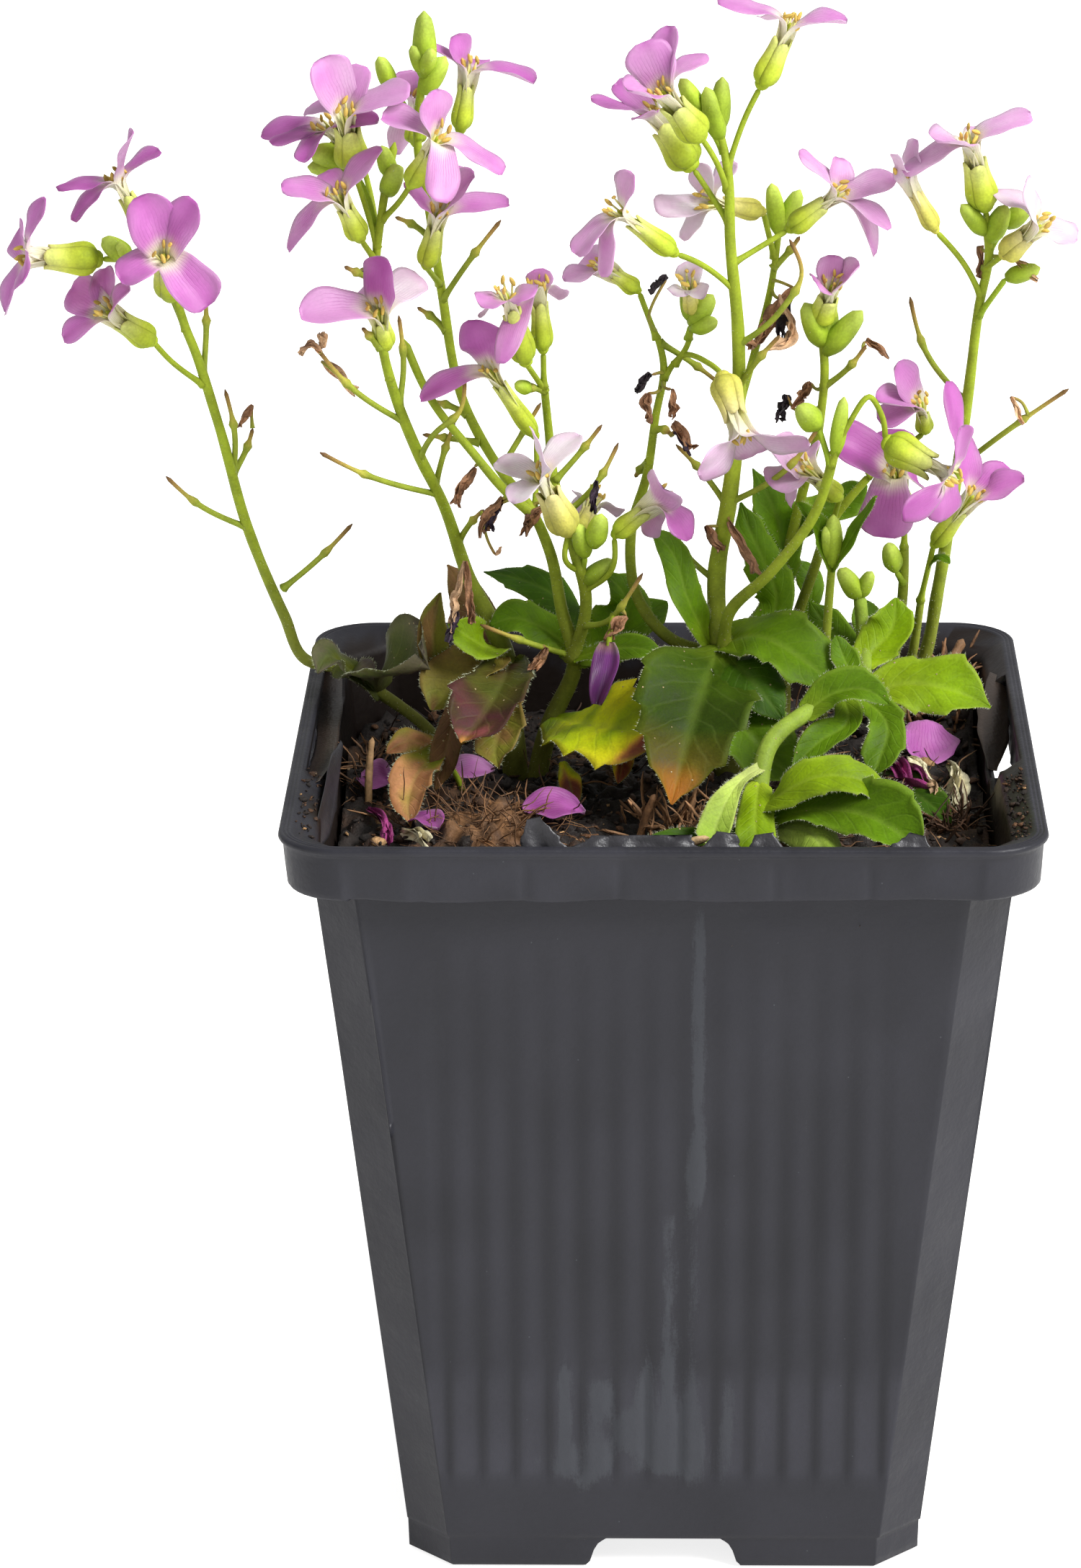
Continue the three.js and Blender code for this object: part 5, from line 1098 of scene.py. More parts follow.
def crumbs(surface, count):
    """Crumbs of peat and chips of bark: round lumps of a few faces, each pulled out of shape by
    its own random stretch and sunk into the bed. Some are spilt on the shoulder's front ends."""
    random = surface.random
    spots = scatter(random, count, 38.4)
    spots = spots[clump(spots[:, 0], spots[:, 1]) < random.uniform(0.15, 0.8, len(spots))]
    spilt = random.uniform(*SPILL, (SPILT_CRUMBS, 3))
    spilt[:, 0] *= np.where(spilt[:, 2] < 0.65, 1, -1)
    spilt[:, 2] = 96 + (np.abs(spilt[:, 0]) - 40.72) * SHOULDER_SLOPE
    bank = np.exp(-((spots[:, 0] - 33) ** 2 + (spots[:, 1] - 30) ** 2) / 12**2)
    size = 0.22 + 0.62 * random.uniform(size=len(spots)) ** 4 + bank * random.uniform(0, 1, len(spots))
    size = np.concatenate([size, 0.12 + 0.3 * random.uniform(size=len(spilt)) ** 3])
    spots = np.concatenate([spots, spilt])
    latitude = np.linspace(-pi / 2, pi / 2, 6)[1:-1, None]
    wide, angle = np.cos(latitude), turns(7)
    ball = grid(wide * np.cos(angle), wide * np.sin(angle), np.sin(latitude))
    stretch = random.uniform(0.55, 1.6, (len(spots), 1, 1, 3)) * [1, 1, 0.7]
    bumps = 1 + 0.36 * random.uniform(-1, 1, (len(spots), 4, 7, 1))
    skew = random.uniform(-0.5, 0.5, (len(spots), 1, 1, 3)) * ball[..., [2, 0, 1]]
    lumps = (ball * stretch * bumps + skew) * size[:, None, None, None]
    lumps = lumps + (spots + [0, 0, 0.1])[:, None, None]
    tone = random.uniform(0, 1, len(spots))
    dark, light, bark = linear(CRUMB_TINTS)
    tints = mix(mix(dark, light, tone**3), bark, (tone > 0.965).astype(float))
    points = np.concatenate([lumps.reshape(-1, 28, 3), lumps[:, [0, -1]].mean(2)], 1)
    surface.add(points.reshape(-1, 3), np.repeat(tints, 30, 0), (0, 0, 0),
        repeated(ring_faces(4, 7), len(spots), 30))


def threads(surface, starts, headings, lengths, radii, tints, curl, steps=7):
    """Fibres: three-sided tubes whose heading turns by a random amount at each step."""
    random = surface.random
    count = len(starts)
    turn = random.normal(0, curl, (count, steps, 3)).cumsum(1)
    ahead = unit(headings[:, None] + turn)
    middle = starts[:, None] + np.cumsum(ahead * (lengths / steps)[:, None, None], 1)
    side = unit(np.cross(ahead, [0.2, 0.3, 0.93]))
    over = np.cross(ahead, side)
    thin = np.sqrt(np.clip(1.05 - np.linspace(-1, 1, steps) ** 4, 0.1, 1))
    r = radii[:, None, None, None] * thin[:, None, None]
    rings = middle[:, :, None] + r * around(turns(3), side[:, :, None], over[:, :, None])
    last = 3 * steps - 1
    faces = [ring_faces(steps, 3)[0], [[2, 1, 0], [last - 2, last - 1, last]]]
    surface.add(rings.reshape(-1, 3), np.repeat(tints, 3 * steps, 0), (0, 0, 0),
        repeated(faces, count, 3 * steps))


def fibres(surface, count):
    """Fibres in the peat, lying or curling up out of it, with upright shreds in front of the
    crown, a matted lump at the front left and splinters on the bank at the back right."""
    random = surface.random
    spots = scatter(random, count, 38)
    headings = random.normal(0, 1, (len(spots), 3)) * [1, 1, 0.28]
    tone = random.uniform(0, 1, len(spots))
    tints = mix(*linear(FIBRE_TINTS), tone**1.5)
    threads(surface, spots + [0, 0, 0.2], unit(headings), random.uniform(1.5, 7, len(spots)),
        random.uniform(0.04, 0.13, len(spots)), tints, 0.22)
    for (x, y, spread, number), (low, high), lean, colour, thick in FIBRE_TUFTS:
        foot = np.stack([random.normal(x, spread, number), random.normal(y, spread * 0.7, number)], -1)
        foot = np.clip(foot, -37, 37)
        foot = np.concatenate([foot, peat_height(*foot.T)[:, None] - 0.4], 1)
        headings = unit(random.normal(0, 1, (number, 3)) * [1, 1, 0.4] + [0, 0, lean])
        tints = linear(colour) * random.uniform(0.5, 1.3, (number, 1))
        threads(surface, foot, headings, random.uniform(low, high, number),
            random.uniform(0.3, 1, number) * thick, tints, 0.24)


def straws(surface):
    """The bits of straw and bark that stick out of the peat."""
    for radii, tint, points in STRAWS:
        path, along, share = smooth(points, 0.5)
        thickness = reading(radii, share) * (1 + 0.12 * rough(along * 30, 0 * along, 2, 5))
        tints = linear(tint) * (1 + 0.3 * rough(along * 12, 0 * along, 1, 9))[:, None]
        tube(surface, path, thickness, tints, 9, 3, 0.14)


def numbers(text):
    """A list of numbers from words."""
    return [float(word) for word in text.split()]


def places(text):
    """A list of points from words between commas."""
    return [numbers(place) for place in text.split(",")]


def lines(table):
    """The lines of a table, where an indented line goes on from the one above."""
    return table.strip().replace("\n    ", " ").splitlines()


def organs(table):
    """Lists of the lines that give organs, each under the heading that stands above them."""
    lists = {}
    for line in lines(table):
        if line.split()[0] not in MAKERS:
            lists[line] = heading = []
        else:
            heading.append(line)
    return lists


def grow(surface, line):
    """Draws an organ from its line in a table: its kind, its widths and a colon if it has any, its
    points, and after a bar what sets it apart. A height below 10 starts from the peat."""
    line, _, options = line.partition("|")
    kind, line = line.split(" ", 1)
    widths, _, line = line.rpartition(":")
    widths = numbers(widths)
    points = np.array(places(line))
    x, y, z = points.T
    points[:, 2] = np.where(z < 10, z + peat_height(x, y), z)
    own = dict(option.split("=") for option in options.split())
    own = {name: value if value[0].isalpha() else float(value) for name, value in own.items()}
    MAKERS[kind](surface, *([widths] if kind in BROAD else widths), *points, **own)


def flowers(table):
    """The flowers by node, from lines with a name, the calyx's radius and the pallor, and after
    slashes the stalk's points, the mouth and the petals."""
    result = {}
    for line in lines(table):
        first, stalk_points, mouth, petals = line.split("/")
        name, radius, pallor = first.split()
        flower = places(stalk_points), numbers(mouth), float(pallor)
        result[name] = (name.rpartition("_")[0], float(radius), flower, places(petals))
    return result


MAKERS = {make.__name__: make for make in (stem, stalk, petiole, bud, leaf, husk, fallen, wilted)}
BROAD = ("stem", "leaf", "fallen")

# The shoots: the stems and stalks of each, then the leaves and buds that they bear, then bits too
# small for the solid model.
SHOOTS = organs("""
far_left stems
stem 0.8 0.75 0.7 0.6 0.5: -24 14 80, -29 16 92, -36 19.5 96.6, -40.5 20 99.4, -45 19.5 100.8,
    -47.5 18 107, -51.5 13 120, -54.5 8 135, -57.5 5 146.5, -62 2 156.5, -65 1 157
stalk -47.5 17 111, -42 14 116.5, -38.5 13 120.5
stalk -51.5 13 120, -57.5 10 124, -61 8 128
stalk -53 11 127.5, -52.5 9 133, -53.5 8 139
stalk -56 6.5 141, -55.5 7 147, -55.5 7 152
far_left bears
bud 1.2: -64 1 157, -67 -1 160
leaf 2 4 4 2: -38 19.5 97.5, -39.5 17 99.6, -38 14 101, -36 11 101 | hue=grey
leaf 3 7 9 7: -36 19.5 96.6, -35 12 101.5, -32 9 103, -29 5 104.5 | hue=grey fold=0.45 bite=0.05
far_left bits
stalk -53 11 127.5, -51.5 12 130, -50.5 12 133
bud 0.9: -64.5 1 157, -65 -1.5 159.5
husk -50.5 12 136, -51.4 11.4 134.8, -52 11 133.5 | hue=brown width=1
left stems
stem 1.7 1.5 0.8 0.7 0.6 0.55 0.5: -18 13 80, -19 12 94, -20 11.5 104.5, -24 12 113.5, -27 9 124,
    -30 5 132, -32.5 2 140, -34 -1 148.5, -34.5 0 154, -33.5 0 163.5, -32 2 171
stalk -27.5 8.5 125.5, -36.5 2 130, -41.5 -1 133.5
stalk -31.3 3.5 136, -38 -1 142, -41.5 -3 147
stalk -29.6 5.5 131, -27.5 1 135.5, -24.5 0 138.5, -24 1 143
stalk -32 2.6 138.5, -31.5 4 142, -32 5 149
stalk -34.5 0 154.5, -38 -3 157
stalk -25.4 11.5 118.5, -23.5 9 122, -22 7 124
left bears
bud 1.3: -33 1 165, -31.5 -2 169
bud 1.5: -34.2 0 160.5, -36 2.6 165.5, -38 3 168.5, -42 1.6 170
leaf 2.4 3.6 3.8 2: -20 10 97, -27.5 8 102, -28.5 9 108, -27.5 10 112.5 | hue=brown
leaf 3 7 8 3: -20 10.5 104, -23 7 104, -26.5 5 101.5, -28.5 4 99 | hue=brown bite=0.08
leaf 3 5 4 1.4: -20.4 11 105, -22.5 6 107, -25 5 109, -26.5 5 110 | hue=bright
leaf 3 5 4 1.2: -20.4 12.5 105, -23.5 16 108, -25.5 17 111.5, -27 17 114 | hue=dead
left bits
stalk -28 8 126.5, -26.5 8 132, -25.5 9 134.5
stalk -34 -1 146.5, -35 -2 148, -36 -3 149.5
bud 1: -32.5 1 167, -33.5 0 171
bud 1: -38 3 167.5, -42.5 2 168
husk -23 5 130, -24.2 4.5 128, -25.5 4 125.5 | hue=brown width=1.6
husk -41 2 144, -39.2 1.4 142.4, -37.5 1 140.5 | width=1.3
husk -41 -3 146.5, -42.4 -3.4 147.4, -43.4 -3.6 146.4 | width=1.2
husk -41 -3 146.8, -40.6 -4 148.4, -41 -5 149.6 | width=1.1
husk -36.5 3 155, -35.8 3 154.6, -35 3 154 | hue=purple width=1
middle stems
stem 1.3 1.2 0.8 0.65 0.6 0.55 0.5: -16 10 80, -15.5 10 90, -14 9 96, -11 8 104, -12.5 7 111, -14 5 119.5,
    -16 4.4 124.5, -20 9 128.5, -24 9 136, -27 9 151.5, -28.5 8 163, -29.5 8 168.5, -28.5 6 179
stem 0.6 0.5: -15.6 4.4 124, -18 4 126, -23.5 4 132.5, -28 4 138.5, -31.5 7 145.5
stem 0.8 0.5: -11.4 7.8 104.5, -9.5 5 113, -11 3 120.5, -13.5 8 128, -14 8 133.5, -14.5 5 140.5
stalk -11.5 8 105, -17 4 108, -22.5 3 110.5
stalk -26.8 9 150, -22.5 5 157, -19.5 4 161
stalk -22.5 9 132, -29.5 9 133
stalk -20 9 128.5, -17.5 10 132.5, -15 11 136.5
stalk -13.3 7.6 127.5, -11 8 130, -7.5 8 134.5
stalk -12 5 124, -8.5 5 127.5, -5.5 7 132.5
stalk -9.8 6 109.5, -6.5 2 111.5, -4 0 115.5, -2.5 0 118
middle bears
bud 1.3: -28.5 6 178, -28.5 6 186
bud 1.2: -28.8 6.6 176, -26 6 180.5
bud 1: -29.3 7.8 170, -31 8 174, -32.5 7 176.5, -34 6 180.5
bud 1.1: -10 4.2 116.5, -9.5 2 119.5, -10.5 1 124
bud 1.1: -9.8 4.4 115.5, -6 2 119
leaf 3 5 5 2: -11.5 8 105.5, -14.5 9 108, -18.5 9 109.5, -21.5 9 108.5
leaf 3 5 4.5 1.5: -11.4 8 104.5, -13.5 15 110.5, -18.5 18 112, -22.5 19 112.5 | hue=deep
leaf 3 8 6 2: -11 8 104.5, -6 10 107, -4.5 11 111, -7.5 12 114.5
leaf 3 4 4 2.5: -11 8 104, -4.5 12 106.5, -1.5 13 109, 0.5 14 110
leaf 2.6 3.6 3.2 1: -10.6 7 105, -6 3 107.5, -2.5 1 108, 0.5 0 107
middle bits
stalk -26.4 9 146, -28 10 147.4, -30 11 148.5
stalk -24 9 135.5, -26 9.6 136.4, -28.5 10 137
stalk -28 8.4 157.5, -30 9.4 159, -32.5 10 160
stalk -14.4 5.4 139.5, -15.8 4 140.2, -17 3 140.5
bud 0.9: -28.5 6 178.5, -30 5 182
bud 0.9: -28.5 6 178.5, -27.5 3 182
bud 1.2: -8.5 1 121, -7.5 0 125.5
bud 0.8: -16 3.8 140, -18 3 141
husk -19.5 5 126, -21 4.4 124.4, -22 4 122 | hue=brown width=1.8
husk -19.7 4.8 125.4, -20.6 4.2 124, -21.2 3.6 122.6 | hue=purple width=1.1
husk -14.5 4 125.5, -16 3.4 124, -17 3 122 | hue=brown width=1.6
husk -20.5 4 119, -20 4 119.4, -19.5 4 119.8 | width=0.8
husk -14.5 5 107, -15.4 4.4 105.6, -16.5 4 104.5 | hue=brown width=1.4
husk -4.5 0 112.5, -5.8 -0.6 111.4, -7 -1 109.5 | hue=brown width=1.6
husk -8 4 128.5, -8.3 3.4 126.8, -8.5 3 125 | hue=purple width=1.2
centre stems
stem 2.2 3.2: 8 7 80, 8 6.6 96, 7.5 5.5 108
stem 0.8 0.4: 6 6 106, 1 5 108, -3 8 112, -4 9 120.5, -2 9 128, -1 9 135, 0 9 142, -1 9 146
stem 1.2 0.5: 7 5 106, 6.5 5 116, 8 3 126.5, 9 3 136.5, 9 2 147.5, 8 0 159, 7.5 0 169, 6.5 1 173
stem 0.5 0.4: 9 3.5 137.5, 11 9 143, 13 10 151, 14 9.5 159
stem 0.8 0.6: 7.5 4 107, 8 1 112.5, 13 -3 119, 18 -5 126.5, 20.5 -8 136
stalk -0.4 9 144.5, 3.5 11 141.5, 7 12 138.5
stalk 9 2.2 146, 14 -1 151, 16.5 -2 156, 15 -2 160
stalk 9 2.6 140.5, 12 0 145.5, 14 -1 148
stalk 8 3 126, 15.5 -1 132, 19 -2 137.5
stalk 7.8 3.2 125.5, 5 5 129, 1.5 8 132
centre bears
bud 1.2: 3 7 145.5, 3.3 6.3 147.5, 6 5 151.5
bud 1.1: 6.6 1 172.5, 7 1 179
bud 1.2: 6.8 0.8 171.5, 5 0 178
bud 1: 7.2 0.4 170, 4.4 1 175, 2 0 179
bud 1.2: 14 9.5 158, 13 8 164.5
bud 1.1: 14 9.5 158, 16.5 9 163.5
bud 1.4: 20 -7.5 133.5, 18.5 -8 138.5, 16 -9.5 141.5
bud 1: 20.5 -7.8 135, 21.5 -9 142.5
leaf 3 14.6 10.5 2: 7 3.5 107.5, 4.5 -6 104.5, 2.5 -13 99.5, 1 -17 94 | hue=orange_foot
leaf 5 8 8.5 1.5: 7.5 5 107.5, 12 0 110, 17 -3 108, 21.5 -6 104.5
leaf 4 8 6 2: 7.5 3 106, 10.5 -4 106, 12.5 -6 104, 14.5 -7 101.5 | hue=deep
leaf 3 8 9 3: 7.5 3 103.5, 9.5 -6 101, 12.5 -9 98, 16.5 -11 95
leaf 3 4.2 3.6 3: 6 5 107, 3 2 114, 1 4 119.5, -1.5 5 122
leaf 3 4.5 5 4 1.2: 8 7 106, 14 11 111, 12.5 11 116, 10.5 11 120.5, 9.5 12 123.5
leaf 3 3 6 5 1.4: 8 7.5 105, 14 14 111.5, 14.5 14 119, 13 14 123.5, 11 15 127
husk 12.6 -0.2 146, 15.5 5 147, 14 6 150.5
centre bits
stalk -1.2 9 133.5, 0 8 133.9, 1 7 133.5
stalk -1.8 9 129.5, -2.6 10 128.6, -3.5 11 127
stalk 6.5 5 115.5, 4 5.6 117.4, 2.5 6 119, 1.5 7 121.5
stalk 13.2 10 153.5, 15 10 155.4, 16.5 10 157.5
bud 1: 3.4 6.2 147, 6.5 4 148.5
bud 0.9: 3.4 6.2 148, 2.5 6 152
bud 1: 5 0.8 173.5, 3 2.5 176.5
husk 0.5 8 153, -0.4 7.4 152.4, -1.5 7 151.5 | hue=dark width=1.2
husk -1.5 7 141, -2.4 6.4 140.2, -3 6 139 | hue=dark width=1.3
husk -2 6 139, -1.9 5.4 137.4, -1.5 5 136 | hue=brown width=1.4
husk 1 6 139.5, 1.1 5.4 137.8, 1 5 136 | hue=brown width=1.4
husk 1 6 135, 2.4 5 134, 3.5 4 132.5 | hue=brown width=1.7
husk 1.4 5.6 134.4, 2.6 4.6 133.4, 3.2 3.8 132.2 | hue=purple width=1
husk 16 8 151.5, 13.5 7 148, 11 6 145 | hue=brown width=2.2
husk 15.4 7.6 150.4, 14.4 6.4 148.4, 14 6 146 | hue=dark width=1.4
husk 5 3 123, 6 2.4 121.4, 7 2 120 | hue=brown width=1.5
husk 8 2 124, 10 1 121, 11.5 0 118.5 | hue=brown width=1.6
front stems
stem 0.6 0.5: 19.5 -1 80, 19.5 -1 99.5, 20 0 112, 20.5 -2 120.5
front bears
bud 1.1: 20.5 -2 119.5, 20.5 -4 126.5
leaf 1.6 3 1.2: 20.5 -2 119, 19 -3 124, 16 -4 128
leaf 1.6 2 0.9: 20.5 -2 119, 23 -5 124.5, 25.5 -8 130
front bits
bud 0.9: 20.5 -2 120, 19.5 -4 125
back stems
stem 1.1 0.8 0.65 0.55 0.5: 15 16 80, 15 16 98, 15 15.5 113, 17 11.5 124.5, 19 7 135, 19.5 6 143, 19 6 147
stem 0.7 0.5: 15 16 103, 18.5 13.5 114, 20.5 10.5 121, 25.5 9 128
stalk 19.3 6.4 139.5, 22.5 5 142.5, 24.5 4 145.5
back bears
bud 1.3: 19.5 6 144, 24 5 149.5
bud 1.3: 19.3 6 145, 17 5 150.5
leaf 1.6 5 5 1.4: 17 12 123.5, 20.5 13 122.5, 23 13 124, 25 13 125.5
leaf 1.6 3.6 1.4: 16 13.5 118.5, 17.5 14 120, 18 15 123
leaf 1.6 2.6 3.6 1.2: 15.2 15.6 106, 18.5 17 110, 18 18 112.5, 16 19 114
back bits
bud 1.1: 19.5 6 145.5, 20.5 8.5 149
husk 15 9 138, 14.6 8.6 136.4, 14 8 135 | hue=dark width=1.2
husk 18 9 139.5, 17.2 8.6 138.2, 16 8 137 | hue=brown width=1.4
husk 24.5 6 145.5, 25.8 5.4 145, 27 5 144 | hue=brown width=1.3
far_right stems
stem 1.1 0.85 0.75 0.6 0.5: 27 16 80, 28 15 92, 32.5 16 102, 34 13 112, 35.5 10.5 124, 37 7 138.5,
    38 4.5 150, 39 3 158, 38.5 3 161
stem 0.85 0.6: 28.6 15 94, 28.5 12 102.5, 29.5 10 112, 29.5 7 120
stem 0.7 0.5: 29.4 15.2 95, 30.8 12.5 103, 31.8 9.5 112
stalk 36.8 7.4 137.5, 32 10 143, 30 12 149.5
stalk 36 9.4 128.5, 41.5 6 134, 49 4 140
far_right bears
bud 1.1: 29.6 9 114, 28.5 7.8 116, 27.5 6 120
bud 1: 38.6 3 159.5, 35.5 1 163.5
bud 1.2: 39 3 158.5, 41 3 163
leaf 0.9 1.6 0.9: 28.6 11.8 103, 28.5 9 107.5, 27.5 7 111
far_right bits
bud 1.1: 39 3 157.5, 41 4.6 160, 44 4 163
bud 1: 38 4.6 149, 41 1 154.5, 45 0 156
leaf 0.9 1.4 0.9: 32.4 7 116.5, 34 5 118.5, 35 4 118
husk 38 5 157.5, 38.1 4.4 155.6, 38 4 153.5 | hue=brown width=1.3
husk 42 1 156.5, 43.2 0.4 155.6, 44.5 0 154.5 | hue=tan width=1.3
husk 42 4 139, 42.6 3.4 137.6, 43 3 136 | hue=tan width=1.2
right stems
stem 1.3 0.8: 11.5 -24 80, 11.5 -23 92, 11.5 -20.5 98, 12.5 -18 101.5, 18 -12 104.5, 23 -8 106,
    24.5 -2 106, 24.5 4 109, 24 5 114 | fresh=1
right bears
bud 1.2: 24 5 113.5, 21.5 3.5 117.5
leaf 2.6 4 7.6 7.6 1.2: 22 -8.8 105.6, 25.5 -8 105.5, 29 -8 106.5, 35 -9 106, 39.5 -10 104 | hue=bright
leaf 2.6 5 5.6 2.6: 24.2 -2 106, 25.5 1 107.5, 28 3 110, 28.5 4.5 113.5 | hue=bright
leaf 3 4.6 4.4 1.6: 17 -13 104, 21 -13 107, 24 -13.5 107.5, 27 -15 106
leaf 3 3.6 4.4 1.2: 21.5 -9.2 105.4, 22 -13.5 103, 19 -15 101.5, 15.5 -17 98.5
leaf 3 4.4 4.6 1.6: 22.5 -8.6 105.6, 27 -14 102.6, 26 -17 100, 25 -19 98
leaf 2.4 3.4 1.6: 23.4 -6 106, 22 -3 108, 21 -1.6 110.5
leaf 2.4 4 4 1: 24.4 1 107.5, 22 6 107.5, 19.5 8.5 109.5, 18 9.5 111.5
leaf 2.4 3.6 4 1: 24.5 2 108, 26 7.5 107, 25 10 109.5, 24 11 112
leaf 3 4.4 5 5 1.6: 11.5 -22 95, 14 -26 98.5, 18.5 -27 101, 23.5 -27 100.5, 27 -26 96.5 | hue=bright
leaf 3 6 8 6: 11.5 -22.6 93.5, 19 -27 97, 25 -30.5 97, 30 -34 94.5
leaf 3 4.4 5: 11.5 -20.8 97.6, 11 -25.5 95.5, 11 -30.5 92 | hue=bright bite=0 thick=2.2
leaf 2.6 5 5: 11.8 -22.8 92.5, 17.5 -28 93.6, 19 -33.5 92.5 | hue=pale bite=0 thick=2.2
leaf 1.4 1.8 3.8 4: 11.8 -20 99.6, 9 -24 99, 6.5 -29 96, 5.5 -33 93.5
    | hue=pale bite=0.03 fold=0.3 thick=0.7
leaf 2 2.6 2.4 0.9: 11.2 -22.8 92.5, 5.5 -27 93, 1.5 -29 94, -2 -31 94.6 | hue=deep
right bits
bud 0.9: 24 5 113.5, 25.5 4 117""")

